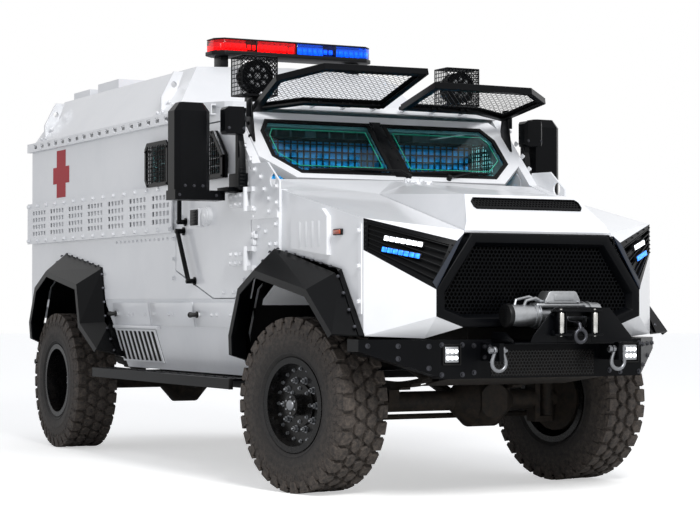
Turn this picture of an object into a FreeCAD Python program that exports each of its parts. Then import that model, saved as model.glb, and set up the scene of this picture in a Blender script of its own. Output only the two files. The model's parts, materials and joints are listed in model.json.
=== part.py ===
"""Armoured 4x4 field ambulance, built from separate steel sub-assemblies.

Millimetres, +Z up, the front faces -Y and +X is the vehicle's left.  Everything is laid out from a
datum on the ground below the front axle: x = 0 on the centre line, y = 0 at the axle.  export()
moves it all by FRONT_AXLE_Y, so that the part's origin is under the middle of the vehicle.
Pieces that come in pairs are drawn on the left (+X) and mirrored.
"""
import FreeCAD
import Part
import math
import os

# ---------------------------------------------------------------- running gear
WHEELBASE = 4190
FRONT_AXLE_Y = -1884         # from the part's origin, under the vehicle's middle
TYRE_RADIUS = 522            # to the tips of the lugs, 335/80 R20
TYRE_WIDTH = 335
LUG_HEIGHT = 22
LUGS_ROUND = 16              # lugs in each row
LUG_SHARE = 0.62             # part of the pitch that is lug
TREAD_BORE = 440             # radius where the tread's rings meet the sidewall
CENTRE_LUG_X = 70            # half the width of the centre row of lugs
SHOULDER_LUG_X = 6           # the shoulder rows' edge, in from the tyre's full width
RIM_SEAT_RADIUS = 254
RIM_FLANGE_RADIUS = 281
RIM_WIDTH = 300
RIM_WALL = 9
FRONT_TRACK = 1870           # between the tyres' middles
REAR_TRACK = 1840
STEER_AT_REST = 11.5         # front wheels parked turned to the left, degrees
KINGPIN_X = 745
HUB_RADIUS = 82
AXLE_TUBE_RADIUS = 62
AXLE_CASE_RADIUS = 165
SPRING_CLAMP = 30            # how far a spring's clamp grips up its leaves
BRAKE_RADIUS = 205
FRONT_DISC_X = 60            # a front rim's disc, out from the rim's middle
REAR_DISC_X = -62
FRONT_HUB_OUT = 70           # how far a hub's nose stands out of its cap
REAR_HUB_OUT = 80
AXLE_CASE_X = 250            # the front differential, left of the middle
PINION_REACH = 260
STEER_ARM = 170              # from a kingpin back to the tie rod
TIE_ROD_EYE = 22
TIE_ROD_RADIUS = 17

# ---------------------------------------------------------------- chassis
RAIL_OUT = 430
RAIL_WIDTH = 75
RAIL_WALL = 10
RAIL_BOTTOM = 790
RAIL_TOP = 990
RAIL_FRONT_Y = -1000
REAR_OVERHANG = 770          # from the rear axle to the back of the body
RAIL_REAR_Y = WHEELBASE + REAR_OVERHANG - 80
CROSS_MEMBERS_Y = (-900, 1500, 2500, WHEELBASE - 840, RAIL_REAR_Y - 60)
BODY_MOUNTS_Y = (700, 1800, 2900, RAIL_REAR_Y - 130)

# ---------------------------------------------------------------- body
BODY_HALF = 1020
WALL = 60
SHEET = 12
SEAM = 0.3                   # between fixed pieces that meet
CAB_ROOF_FRONT_Y = 765
CAB_ROOF_THICK = 40
CAB_ROOF_RISE = 80           # from its front edge to the box
SILL_Z = 1150
RAIL_LINE_Z = 2395           # where the upright side ends and the roof's slope starts
ROOF_CROWN_Z = 2805
ROOF_EDGE_X = BODY_HALF - 275
ROOF_EDGE_Z = ROOF_CROWN_Z - 30
BODY_REAR_Y = WHEELBASE + REAR_OVERHANG
BOX_FRONT_Y = 1960           # foot of the raised roof's sloping front
BOX_FRONT_LEAN = 0.70        # how far it leans back for each mm of height
BODY_FRONT_Y = 240           # front edge of the cab's side, where the fender ends
CAB_ROOF_Z = 2400
FLOOR_BOTTOM = 1090
FLOOR_TOP = 1150
LOWER_EDGE_Z = 660
LOWER_EDGE_X = BODY_HALF - 75
FLOOR_FRONT_Y = 640
ARCH_WALL_X = 690            # inner wall of a rear wheel arch
PARTITION_Y = 1890

# roof hatch
HATCH_HALF = 300
HATCH_FRONT_Y = 3500
HATCH_REAR_Y = 4100
HATCH_LID = 34
HATCH_HINGES_X = (-200, 200)
HATCH_HINGE_Y = HATCH_FRONT_Y - 60
HATCH_HINGE_Z = ROOF_CROWN_Z + 20

# vent boxes on the roof: x0, x1, y0, y1, height
ROOF_VENTS = ((-700, -480, BODY_REAR_Y - 1130, BODY_REAR_Y - 670, 52),
              (-700, -480, BODY_REAR_Y - 480, BODY_REAR_Y - 100, 34),
              (480, 700, BODY_REAR_Y - 480, BODY_REAR_Y - 100, 34))

# lifting lugs
LIFTING_LUGS_Y = (2260, BODY_REAR_Y - 180)
LUG_EYE_X = BODY_HALF - 135
LUG_EYE_Z = ROOF_CROWN_Z - 155
LUG_EYE_RADIUS = 22

# stowage band and air vent on the lower side
VENT_FRONT_Y = 2240
VENT_PITCH = 54
VENT_SLOTS = 14
VENT_SLANT = 90
VENT_BOTTOM = 705
VENT_TOP = 935
STOWAGE_LIDS = ((900, 1560), (1590, 2350), (2380, 3080))    # front and rear edge of each
ROD_HANDLES_Y = (1480, 3000)

# equipment panels
PANEL_FRONT_Y = 1885
PANEL_LOW_Z = 1600
PANEL_HIGH_Z = 1925
PANEL_GROUPS = 7
PANEL_COLUMNS = 3
PANEL_ROWS = 2
PANEL_SLOT = 80              # each slot is square
PANEL_SLOT_PITCH = 120

# windscreen: a flat plane leaning back
SCREEN_BASE_Y = 544
SCREEN_BASE_Z = 1932
SCREEN_LEAN = 1.016          # run back for each mm of height
GLASS = 40
PANE_OUTLINE = ((52, 1945), (712, 1945), (862, 2050), (862, 2215), (800, 2292), (52, 2292))   # x, z

# cab door, outline as seen from the side: y, z
DOOR_OUTLINE = ((645, 1245), (645, 1945), (985, 2290), (1870, 2290), (1870, 1345), (1590, 1262),
                (1230, 1155), (905, 1155))
DOOR_WINDOW = ((1010, 1945), (1010, 2065), (1150, 2210), (1780, 2210), (1780, 1945))
DOOR_GAP = 10
DOOR_HINGE_X = BODY_HALF + 32
DOOR_HINGE_Y = 655
DOOR_HINGES_Z = (1400, 1770)
HINGE_LEAF = 30              # height of each fixed barrel
HINGE_HALF = 45              # half the height of a door hinge's moving barrel
HINGE_BARREL = 17
REAR_WINDOW = ((1960, 1945), (1960, 2210), (2330, 2210), (2330, 1945))
WINDOW_GUARD = ((985, 1925), (985, 2070), (1140, 2235), (1835, 2235), (1835, 1925))
WINDOW_GUARD_HOLE = ((1015, 1953), (1015, 2058), (1152, 2205), (1807, 2205), (1807, 1953))
WINDOW_GUARD_BARS_Z = (2003, 2054, 2105, 2156)
WINDOW_GUARD_STUDS = ((1000, 1937), (1823, 1937), (1823, 2223), (1160, 2223))   # y, z
GRAB_BARS = (((1700, 1665), (1700, 1880)), ((1733, 1604), (1540, 1267)))        # ends as y, z
GRAB_BAR_OUT = 48            # from the door's face to the bar's middle
GRAB_BAR_RADIUS = 13

# rear doors
REAR_OPENING_X = 610
REAR_OPENING_BOTTOM = 1200
REAR_OPENING_TOP = 2290
REAR_HINGE_X = 628
REAR_HINGE_Y = BODY_REAR_Y + 30
REAR_HINGES_Z = (1330, 1760, 2170)

# nose
FENDER_REAR_Z = 1809
FENDER_SLOPE = 0.204         # rise of the fender's top for each mm rearwards
FENDER_FALL = 0.024          # fall of the fender's top for each mm towards the middle
FENDER_HALF = 1000
CORNER_X = 978
CORNER_Y = -785
NOSE_LOW_Z = 937
HOOD_REAR_Y = 300
HOOD_KNEE_X = 300
HOOD_CROWN_X = 84
HOOD_CROWN_REAR_Z = 1874
HOOD_GAP = 6
HOOD_HINGE_Y = 300
HOOD_HINGE_Z = 1886
HINGE_PLATE_X = (22, 50, 78)  # the hood's barrel lies between the first two, the cowl's after it
GRILLE_Y = -1095
GRILLE_DEPTH = 85
GRILLE_RIM = 66
GRILLE_OUTLINE = ((457, 1512), (682, 1198), (682, 1048), (514, 988))   # x, z
GRILLE_PITCH = 92
GRILLE_WEB = 16
LAMP_DEPTH = 46

# bumper and winch
BUMPER_TOP = 918
BUMPER_BOTTOM = 711
BUMPER_FACE_Y = -1112
BUMPER_WALL = 70
WINCH_HALF = 330
WINCH_FACE_Y = -1345
FAIRLEAD_X = 60
SHACKLE_X = 396
SHACKLE_PIN_Z = 862
SHACKLE_REACH = 170          # from the bumper's face to the pin

# mirrors
MIRROR_IN = BODY_HALF + 170  # inner and outer edge of the main head
MIRROR_OUT = MIRROR_IN + 240
MIRROR_PLAN = ((MIRROR_IN, 905), (MIRROR_IN + 35, 870), (MIRROR_OUT - 35, 870), (MIRROR_OUT, 905),
               (MIRROR_OUT, 1010), (MIRROR_IN, 1010))      # x, y
MIRROR_CAP = ((MIRROR_IN + 40, 915), (MIRROR_IN + 60, 895), (MIRROR_OUT - 60, 895),
              (MIRROR_OUT - 40, 915), (MIRROR_OUT - 40, 985), (MIRROR_IN + 40, 985))
MIRROR_LOW_Z = 1830
MIRROR_SHOULDER_Z = 2330     # where the cap's chamfer starts
MIRROR_TOP_Z = 2385

# windscreen guards
GUARD_HINGE_Y = 712
GUARD_HINGE_Z = 2392
GUARD_TUBE = 13
GUARD_PIN = 8
GUARD_FRAME = 42             # width and depth of the frame's channel
GUARD_BRACKETS_X = (110, 330, 550)
GUARD_WIRE_PITCH = 96
GUARD_RAISED = {"right": 18.7, "left": 9.9}      # degrees above level
GUARD_OUTLINE = ((18, 574), (739, 562), (975, 354), (935, -120), (640, 18), (65, 30))   # x, reach

# flares: where they meet the body, and their lip (y, z)
FLARE_LIP_X = BODY_HALF + 130
FLARE_SHEET = 14
FLARE_RIM = 44
FRONT_FLARE_ROOT = ((-800, 940), (-528, 1318), (299, 1455), (610, 1300), (770, 960), (745, 745))
FRONT_FLARE_LIP = ((-730, 950), (-400, 1200), (320, 1322), (560, 1210), (700, 920), (690, 800))
REAR_FLARE_ROOT = ((WHEELBASE - 1205, 735), (WHEELBASE - 990, 975), (WHEELBASE - 890, 1385),
                   (WHEELBASE - 65, 1505), (WHEELBASE + 380, 1330), (WHEELBASE + 580, 985),
                   (WHEELBASE + 550, 770))
REAR_FLARE_LIP = ((WHEELBASE - 1110, 790), (WHEELBASE - 750, 970), (WHEELBASE - 670, 1262),
                  (WHEELBASE + 30, 1372), (WHEELBASE + 310, 1245), (WHEELBASE + 450, 970),
                  (WHEELBASE + 420, 840))

# side steps
STEP_IN = BODY_HALF - 10
STEP_OUT = BODY_HALF + 175
STEP_FRONT_Y = 590
STEP_REAR_Y = WHEELBASE - 1150
STEP_BOTTOM = 590
STEP_TOP = 655
STEP_SLOT_PITCH = 150

# rear steps: a bar under each rear corner, hung on two arms; ends as y, z
CORNER_STEP_X = (520, 900)
CORNER_STEP_TOP = (BODY_REAR_Y, 880)
CORNER_STEP_FOOT = (BODY_REAR_Y + 190, 640)
CORNER_STEP_RADIUS = 17


# ---------------------------------------------------------------- helpers
def vec(x, y, z):
    return FreeCAD.Vector(x, y, z)


def polygon(points):
    return Part.Face(Part.makePolygon(list(points) + [points[0]]))


def side_prism(outline, x0, x1):
    """A side view outline (y, z), from x0 to x1."""
    return polygon([vec(x0, y, z) for y, z in outline]).extrude(vec(x1 - x0, 0, 0))


def front_prism(outline, y0, y1):
    """A front view outline (x, z), from y0 to y1."""
    return polygon([vec(x, y0, z) for x, z in outline]).extrude(vec(0, y1 - y0, 0))


def plan_prism(outline, z0, z1):
    """A plan outline (x, y), from z0 to z1."""
    return polygon([vec(x, y, z0) for x, y in outline]).extrude(vec(0, 0, z1 - z0))


def box(x0, x1, y0, y1, z0, z1):
    return Part.makeBox(x1 - x0, y1 - y0, z1 - z0, vec(x0, y0, z0))


def rod(start, end, radius):
    """A round bar between two points."""
    axis = end - start
    return Part.makeCylinder(radius, axis.Length, start, axis)


def plate(points, thickness, outward):
    """A flat facet through the points, as thick as given, its outer face on the points."""
    face = polygon(points)
    normal = (points[1] - points[0]).cross(points[2] - points[0]).normalize()
    if normal.dot(outward) > 0:
        normal = normal.negative()
    return face.extrude(normal * thickness)


def fused(shapes):
    shapes = list(shapes)
    if len(shapes) == 1:
        return shapes[0]
    return shapes[0].multiFuse(shapes[1:]).removeSplitter()


def folded(points, facets, inward):
    """Sheet metal folded along shared edges: named points, facets as lists of their names."""
    return fused(polygon([points[name] for name in facet]).extrude(inward) for facet in facets)


def mirrored(shape):
    return shape.mirror(vec(0, 0, 0), vec(1, 0, 0))


def both(shape):
    return Part.makeCompound([shape, mirrored(shape)])


def both_ways(outline):
    """A half outline (x, z) or (x, y) and its mirror, as one closed outline."""
    return list(outline) + [(-x, other) for x, other in reversed(outline) if x > 0.001]


def inset(outline, distance):
    """The outline of a convex polygon with every side moved inwards."""
    area = sum(a[0] * b[1] - b[0] * a[1] for a, b in zip(outline, outline[1:] + outline[:1]))
    turn = 1 if area > 0 else -1
    lines = []
    for (ax, ay), (bx, by) in zip(outline, outline[1:] + outline[:1]):
        length = math.hypot(bx - ax, by - ay)
        nx, ny = -(by - ay) / length * turn, (bx - ax) / length * turn
        lines.append((nx, ny, nx * ax + ny * ay + distance))
    corners = []
    for (a, b, c), (d, e, f) in zip(lines[-1:] + lines[:-1], lines):
        det = a * e - b * d
        corners.append(((c * e - b * f) / det, (a * f - c * d) / det))
    return corners


def turned(shape, angle, centre, axis):
    copy = shape.copy()
    copy.rotate(centre, axis, angle)
    return copy


def screen_y(z):
    """Where the windscreen's outer plane lies at a height."""
    return SCREEN_BASE_Y + (z - SCREEN_BASE_Z) * SCREEN_LEAN


def fender_z(x, y):
    return FENDER_REAR_Z + FENDER_SLOPE * (y - BODY_FRONT_Y) - FENDER_FALL * (FENDER_HALF - abs(x))


def fender_x(y):
    """The nose's side, which draws in a little towards its front corner."""
    return FENDER_HALF - (FENDER_HALF - CORNER_X) * (BODY_FRONT_Y - y) / (BODY_FRONT_Y - CORNER_Y)


# ---------------------------------------------------------------- wheels
def around(radius, angle):
    """A point (y, z) at an angle from straight down."""
    return radius * math.sin(angle), -radius * math.cos(angle)


def lug_row(x0, x1, phase):
    """One row of tread lugs, as a toothed ring across part of the tyre."""
    pitch = 2 * math.pi / LUGS_ROUND
    half = pitch * LUG_SHARE / 2
    root = TYRE_RADIUS - LUG_HEIGHT
    teeth, bore = [], []
    for count in range(LUGS_ROUND):
        middle = (count + phase) * pitch
        teeth += [around(root, middle - half), around(TYRE_RADIUS, middle - half),
                  around(TYRE_RADIUS, middle + half), around(root, middle + half)]
        bore.append(around(TREAD_BORE, count * pitch))
    return side_prism(teeth, x0, x1).cut(side_prism(bore, x0, x1))


def tyre_rest_height():
    """Height of the wheel's middle when the lug rows stand on the ground."""
    pitch = 2 * math.pi / LUGS_ROUND
    return TYRE_RADIUS * math.cos(pitch * (1 - LUG_SHARE) / 2)


def faceted_ring(profile, sides):
    """A closed profile (x, radius) carried round the X axis in flat facets."""
    faces = []
    for count in range(sides):
        near, far = (2 * math.pi * (count + step) / sides for step in (0, 1))
        for (xa, ra), (xb, rb) in zip(profile, profile[1:] + profile[:1]):
            faces.append(polygon([vec(xa, ra * math.sin(near), ra * math.cos(near)),
                                  vec(xb, rb * math.sin(near), rb * math.cos(near)),
                                  vec(xb, rb * math.sin(far), rb * math.cos(far)),
                                  vec(xa, ra * math.sin(far), ra * math.cos(far))]))
    return outward_solid(Part.Shell(faces))


def outward_solid(shell):
    solid = Part.Solid(shell)
    if solid.Volume < 0:
        solid.reverse()
    return solid


def make_tyre():
    """A tyre about the X axis, its outer side towards +X, with three rows of staggered lugs."""
    half = TYRE_WIDTH / 2
    seat = (RIM_SEAT_RADIUS + 0.5) / math.cos(math.pi / LUGS_ROUND)
    bead = RIM_WIDTH / 2 - RIM_WALL - 1
    lip = (RIM_FLANGE_RADIUS + 2) / math.cos(math.pi / LUGS_ROUND)
    side = [(bead, seat), (bead, lip), (half, lip + 40), (half, TREAD_BORE), (half - 30, TREAD_BORE + 30)]
    profile = side + [(-x, radius) for x, radius in reversed(side)]
    carcass = faceted_ring(profile, LUGS_ROUND)
    outer = half - SHOULDER_LUG_X
    rows = [lug_row(-CENTRE_LUG_X, CENTRE_LUG_X, 0), lug_row(CENTRE_LUG_X, outer, 0.5),
            lug_row(-outer, -CENTRE_LUG_X, 0.5)]
    return fused([carcass] + rows)


def make_rim(disc_x, hub_out):
    """A pressed wheel about the X axis: barrel, flanges, disc at disc_x and a bore for the hub."""
    half = RIM_WIDTH / 2
    seat, wall = RIM_SEAT_RADIUS, RIM_WALL
    outline = [(-half, RIM_FLANGE_RADIUS), (wall - half, RIM_FLANGE_RADIUS), (wall - half, seat),
               (half - wall, seat), (half - wall, RIM_FLANGE_RADIUS), (half, RIM_FLANGE_RADIUS),
               (half, seat - wall), (disc_x + 24, seat - wall), (disc_x + 16, HUB_RADIUS + 0.5),
               (disc_x, HUB_RADIUS + 0.5), (disc_x + 8, seat - wall), (-half, seat - wall)]
    face = polygon([vec(x, 0, radius) for x, radius in outline])
    rim = face.revolve(vec(0, 0, 0), vec(1, 0, 0), 360)
    cap_x, nose_radius = disc_x + 16, HUB_RADIUS - 18
    cap = [(cap_x, 0), (cap_x, HUB_RADIUS + 42), (cap_x + 14, HUB_RADIUS + 42), (cap_x + 14, nose_radius),
           (cap_x + 14 + hub_out, nose_radius), (cap_x + 14 + hub_out, 0)]
    cap = polygon([vec(x, 0, radius) for x, radius in cap]).revolve(vec(0, 0, 0), vec(1, 0, 0), 360)
    return fused([rim, cap])


def place_wheel(shape, side, y, half_track, steer=0.0):
    """Stands a wheel on the ground: side is +1 on the left."""
    copy = shape.copy() if side > 0 else mirrored(shape)
    copy.translate(vec(side * half_track, y, tyre_rest_height()))
    if steer:
        copy.rotate(vec(side * KINGPIN_X, y, 0), vec(0, 0, 1), steer)
    return copy


# ---------------------------------------------------------------- axles
def make_knuckle():
    """The left steering knuckle, straight ahead, with its pins, arm, spindle and brake."""
    z = tyre_rest_height()
    x = KINGPIN_X
    disc_face = FRONT_TRACK / 2 + FRONT_DISC_X
    post = Part.makeCylinder(44, 2 * 108, vec(x, 0, z - 108), vec(0, 0, 1))
    pins = Part.makeCylinder(20, 2 * 142, vec(x, 0, z - 142), vec(0, 0, 1))
    spindle = rod(vec(x, 0, z), vec(disc_face - 60, 0, z), 46)
    brake = rod(vec(x + 62, 0, z), vec(x + 94, 0, z), BRAKE_RADIUS)
    hub = rod(vec(x + 90, 0, z), vec(disc_face - 0.5, 0, z), 120)
    nose = rod(vec(disc_face - 1, 0, z), vec(disc_face + 15.5, 0, z), HUB_RADIUS)
    caliper = box(x + 48, x + 116, -70, 70, z + BRAKE_RADIUS - 45, z + BRAKE_RADIUS + 18)
    arm = box(x - 22, x + 22, 30, STEER_ARM + 30, z - 84, z - 60)
    return fused([post, pins, spindle, brake, hub, nose, caliper, arm])


def make_tie_rod():
    """The cross rod between the two steering arms, in its place with the wheels straight."""
    z = tyre_rest_height()
    low = z - 84 - 0.5
    eyes = [Part.makeCylinder(TIE_ROD_EYE, 26, vec(side * KINGPIN_X, STEER_ARM, low - 26), vec(0, 0, 1))
            for side in (1, -1)]
    bar = rod(vec(-KINGPIN_X, STEER_ARM, low - 18), vec(KINGPIN_X, STEER_ARM, low - 18), TIE_ROD_RADIUS)
    return fused([bar] + eyes)


def leaf_spring(y, x, length, seat_z):
    """A pack of leaves from hanger to hanger, resting on its axle seat, with both hangers."""
    thick, half = 13, length / 2
    leaves = []
    for count, share in enumerate((1.0, 0.8, 0.58, 0.36)):
        reach = half * share
        rise = 62 * share * share
        low = seat_z + thick * (3 - count)
        edges = []
        for bottom in (low, low + thick):
            edges.append(Part.Arc(vec(x, y - reach, bottom + rise), vec(x, y, bottom),
                                  vec(x, y + reach, bottom + rise)).toShape())
        ends = [Part.LineSegment(edges[0].Vertexes[side].Point, edges[1].Vertexes[side].Point)
                for side in (0, 1)]
        wire = Part.Wire(Part.__sortEdges__([edges[0], ends[1].toShape(), edges[1],
                                             ends[0].toShape()]))
        leaf = Part.Face(wire).extrude(vec(66, 0, 0))
        leaves.append(leaf if leaf.Volume > 0 else leaf.reversed())
    top = seat_z + 4 * thick + 62
    hangers = [box(x, x + 66, end - 28, end + 28, top - 28, RAIL_BOTTOM)
               for end in (y - half, y + half)]
    return fused(leaves + hangers)


def axle_case(x, y, z, radius, nose):
    """The differential's case: a drum across the axle with a domed cover and a pinion nose."""
    drum = rod(vec(x - 90, y, z), vec(x + 90, y, z), radius)
    cover = Part.makeCone(radius - 10, radius - 60, 90, vec(x, y - nose * 90, z), vec(0, -nose, 0))
    pinion = Part.makeCone(110, 62, PINION_REACH, vec(x, y, z), vec(0, nose, 0))
    slopes = [Part.makeCone(radius, AXLE_TUBE_RADIUS, 120, vec(x + side * 89, y, z), vec(side, 0, 0))
              for side in (1, -1)]
    return [drum, pinion] + slopes + [cover.common(rod(vec(x - 90, y, z), vec(x + 90, y, z), radius + 90))]


def make_front_axle():
    z = tyre_rest_height()
    tube_end = KINGPIN_X - 105
    tube = rod(vec(-tube_end, 0, z), vec(tube_end, 0, z), AXLE_TUBE_RADIUS)
    parts = [tube] + axle_case(AXLE_CASE_X, 0, z, AXLE_CASE_RADIUS, 1)
    yoke = fused([box(tube_end - 12, tube_end + 22, -52, 52, z - 145, z + 145)]
                 + [fused([box(tube_end, KINGPIN_X, -42, 42, z + low, z + low + 34),
                           Part.makeCylinder(42, 34, vec(KINGPIN_X, 0, z + low))])
                    for low in (111, -145)])
    yoke = yoke.cut(Part.makeCylinder(20.4, 400, vec(KINGPIN_X, 0, z - 200), vec(0, 0, 1)))
    parts += [yoke, mirrored(yoke)]
    seat = box(RAIL_OUT - 72, RAIL_OUT - 2, -70, 70, z, z + AXLE_TUBE_RADIUS + 12 + SPRING_CLAMP)
    spring = leaf_spring(0, RAIL_OUT - 70, 1180, z + AXLE_TUBE_RADIUS + 12)
    parts += [seat, mirrored(seat), spring, mirrored(spring)]
    return fused(parts)


def make_rear_axle():
    z = tyre_rest_height()
    y = WHEELBASE
    disc_face = REAR_TRACK / 2 + REAR_DISC_X
    tube = rod(vec(-disc_face + 40, y, z), vec(disc_face - 40, y, z), AXLE_TUBE_RADIUS + 8)
    parts = [tube] + axle_case(0, y, z, AXLE_CASE_RADIUS + 20, -1)
    hub = fused([rod(vec(disc_face - 150, y, z), vec(disc_face - 120, y, z), BRAKE_RADIUS),
                 rod(vec(disc_face - 125, y, z), vec(disc_face - 0.5, y, z), 120),
                 rod(vec(disc_face - 1, y, z), vec(disc_face + 15.5, y, z), HUB_RADIUS)])
    parts += [hub, mirrored(hub)]
    seat_z = z + AXLE_TUBE_RADIUS + 20
    seat = box(RAIL_OUT - 72, RAIL_OUT - 2, y - 80, y + 80, z, seat_z + SPRING_CLAMP)
    spring = leaf_spring(y, RAIL_OUT - 70, 1300, seat_z)
    parts += [seat, mirrored(seat), spring, mirrored(spring)]
    return fused(parts)


# ---------------------------------------------------------------- chassis
def make_chassis():
    inner = RAIL_OUT - RAIL_WIDTH
    section = ((RAIL_OUT, RAIL_BOTTOM), (RAIL_OUT, RAIL_TOP), (inner, RAIL_TOP),
               (inner, RAIL_TOP - RAIL_WALL), (RAIL_OUT - RAIL_WALL, RAIL_TOP - RAIL_WALL),
               (RAIL_OUT - RAIL_WALL, RAIL_BOTTOM + RAIL_WALL), (inner, RAIL_BOTTOM + RAIL_WALL),
               (inner, RAIL_BOTTOM))
    rail = front_prism(section, RAIL_FRONT_Y, RAIL_REAR_Y)
    parts = [rail, mirrored(rail)]
    for y in CROSS_MEMBERS_Y:
        parts.append(box(-RAIL_OUT + RAIL_WALL, RAIL_OUT - RAIL_WALL, y - 40, y + 40,
                         RAIL_BOTTOM + 60, RAIL_TOP - RAIL_WALL - 0.5 + 1))
    for y in BODY_MOUNTS_Y:
        mount = box(RAIL_OUT - 60, RAIL_OUT, y - 60, y + 60, RAIL_TOP - 1, FLOOR_BOTTOM)
        parts += [mount, mirrored(mount)]
    return fused(parts)


def make_engine():
    block = box(-250, 250, -560, 150, RAIL_TOP - 250, 1480)
    sump = box(-150, 150, -420, 60, 720, RAIL_TOP - 240)
    mounts = box(-RAIL_OUT + RAIL_WALL + SEAM, RAIL_OUT - RAIL_WALL - SEAM, -260, -200, 840, 940)
    return fused([block, sump, mounts])


def make_driveline():
    """Gearbox, transfer case and the two propeller shafts, from the engine to the axles."""
    z = tyre_rest_height()
    gearbox = fused([rod(vec(0, 150 + SEAM, 980), vec(0, 300, 980), 150),
                     rod(vec(0, 280, 976), vec(0, 560, 920), 140),
                     rod(vec(0, 550, 900), vec(0, 760, 860), 110)])
    transfer = box(-90, 330, 980, 1240, 700, 930)
    link = rod(vec(0, 740, 860), vec(60, 1000, 830), 40)
    front_y, rear_y = PINION_REACH + SEAM, WHEELBASE - PINION_REACH - SEAM
    front_shaft = fused([rod(vec(AXLE_CASE_X, 1000, 740), vec(AXLE_CASE_X, front_y + 40, z), 36),
                         rod(vec(AXLE_CASE_X, front_y, z), vec(AXLE_CASE_X, front_y + 70, z), 46)])
    rear_shaft = fused([rod(vec(60, 1220, 800), vec(0, rear_y - 40, z), 42),
                        rod(vec(0, rear_y, z), vec(0, rear_y - 70, z), 52)])
    carrier = box(-RAIL_OUT + RAIL_WALL + SEAM, RAIL_OUT - RAIL_WALL - SEAM, 1060, 1150, 905, 960)
    return fused([gearbox, transfer, link, front_shaft, rear_shaft, carrier])


# ---------------------------------------------------------------- body shell
def arch_cut(root, x0, x1):
    """The space under a flare, to cut through the panels behind it."""
    outline = inset(list(root) + [(root[-1][0], 300), (root[0][0], 300)], FLARE_SHEET + 16)
    return side_prism(outline, x0, x1)


def make_side_wall():
    """The left side of cab and box as one thick wall, with door and window openings."""
    under_y = BOX_FRONT_Y - (cab_roof_under(BOX_FRONT_Y) - RAIL_LINE_Z) * (
        BOX_FRONT_Y - CAB_ROOF_FRONT_Y) / CAB_ROOF_RISE
    pillar_z = cab_roof_under(screen_y(2377)) - SEAM
    outline = [(BODY_FRONT_Y, SILL_Z), (BODY_FRONT_Y, 1812), (screen_y(1905) + 20, 1905),
               (screen_y(pillar_z) + 20, pillar_z), (under_y, RAIL_LINE_Z - SEAM),
               (BODY_REAR_Y - WALL, RAIL_LINE_Z), (BODY_REAR_Y - WALL, SILL_Z)]
    wall = side_prism(outline, BODY_HALF - WALL, BODY_HALF)
    opening = side_prism(inset(list(DOOR_OUTLINE), -DOOR_GAP), 0, 2 * BODY_HALF)
    wall = wall.cut(opening)
    wall = wall.cut(side_prism(REAR_WINDOW, 0, 2 * BODY_HALF))
    for root in (FRONT_FLARE_ROOT, REAR_FLARE_ROOT):
        wall = wall.cut(arch_cut(root, 0, 2 * BODY_HALF))
    ear = side_prism(((207, 1640), (207, 1860), (380, 1985), (600, 1990), (628, 1940), (628, 1640)),
                     BODY_HALF, BODY_HALF + SHEET)
    ear = ear.cut(Part.makeCylinder(42, 60, vec(BODY_HALF - 10, 300, 1870), vec(1, 0, 0)))
    ear = ear.cut(box(BODY_HALF - 10, BODY_HALF + 50, 200, 240, 1640, 1700))
    leaves = []
    for z in DOOR_HINGES_Z:
        for low in (z - HINGE_HALF - SEAM - HINGE_LEAF, z + HINGE_HALF + SEAM):
            high = low + HINGE_LEAF
            leaves.append(rod(vec(DOOR_HINGE_X, DOOR_HINGE_Y, low),
                              vec(DOOR_HINGE_X, DOOR_HINGE_Y, high), HINGE_BARREL))
            leaves.append(box(BODY_HALF - 1, DOOR_HINGE_X, 565, 635, low, high))
            leaves.append(box(BODY_HALF + 8, DOOR_HINGE_X, 630, DOOR_HINGE_Y - 5, low, high))
    return fused([wall, ear] + leaves)


def lower_side_x(z):
    return LOWER_EDGE_X + (BODY_HALF - LOWER_EDGE_X) * (z - LOWER_EDGE_Z) / (SILL_Z - LOWER_EDGE_Z)


def make_lower_side():
    """The skirt between the wheels: leaning sheet, slanted louvres, stowage lids with rods."""
    low, high = LOWER_EDGE_Z, SILL_Z - 0.5
    corners = ((790, low), (700, high), (WHEELBASE - 930, high), (WHEELBASE - 1230, low))
    skirt = polygon([vec(lower_side_x(z), y, z) for y, z in corners]).extrude(vec(-36, 0, 0))
    skirt = skirt.cut(arch_cut(FRONT_FLARE_ROOT, 0, 2 * BODY_HALF))
    skirt = skirt.cut(arch_cut(REAR_FLARE_ROOT, 0, 2 * BODY_HALF))
    slots = []
    for count in range(VENT_SLOTS):
        y = VENT_FRONT_Y + count * VENT_PITCH
        outline = ((y, VENT_BOTTOM), (y + VENT_PITCH * 0.55, VENT_BOTTOM),
                   (y + VENT_PITCH * 0.55 + VENT_SLANT, VENT_TOP), (y + VENT_SLANT, VENT_TOP))
        slots.append(side_prism(outline, LOWER_EDGE_X - 100, BODY_HALF + 50))
    skirt = skirt.cut(Part.makeCompound(slots))
    parts = [skirt]
    for y0, y1 in STOWAGE_LIDS:
        z0, z1 = 962, 1128
        lid = plate([vec(lower_side_x(z) + 7, y, z) for y, z in
                     ((y0, z0), (y0, z1), (y1, z1), (y1, z0))], 7.5, vec(1, 0, 0))
        parts.append(lid)
    hood = side_prism(((VENT_FRONT_Y - 20, VENT_TOP + 8), (VENT_FRONT_Y - 10, VENT_TOP + 28),
                       (VENT_FRONT_Y + VENT_SLOTS * VENT_PITCH + VENT_SLANT, VENT_TOP + 28),
                       (VENT_FRONT_Y + VENT_SLOTS * VENT_PITCH + VENT_SLANT, VENT_TOP + 8)),
                      lower_side_x(VENT_TOP) - 10, lower_side_x(VENT_TOP) + 32)
    parts.append(hood)
    for y in ROD_HANDLES_Y:
        parts.append(rod(vec(lower_side_x(1045), y, 1045), vec(lower_side_x(1045) + 22, y, 1045), 14))
    return fused(parts)


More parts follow.
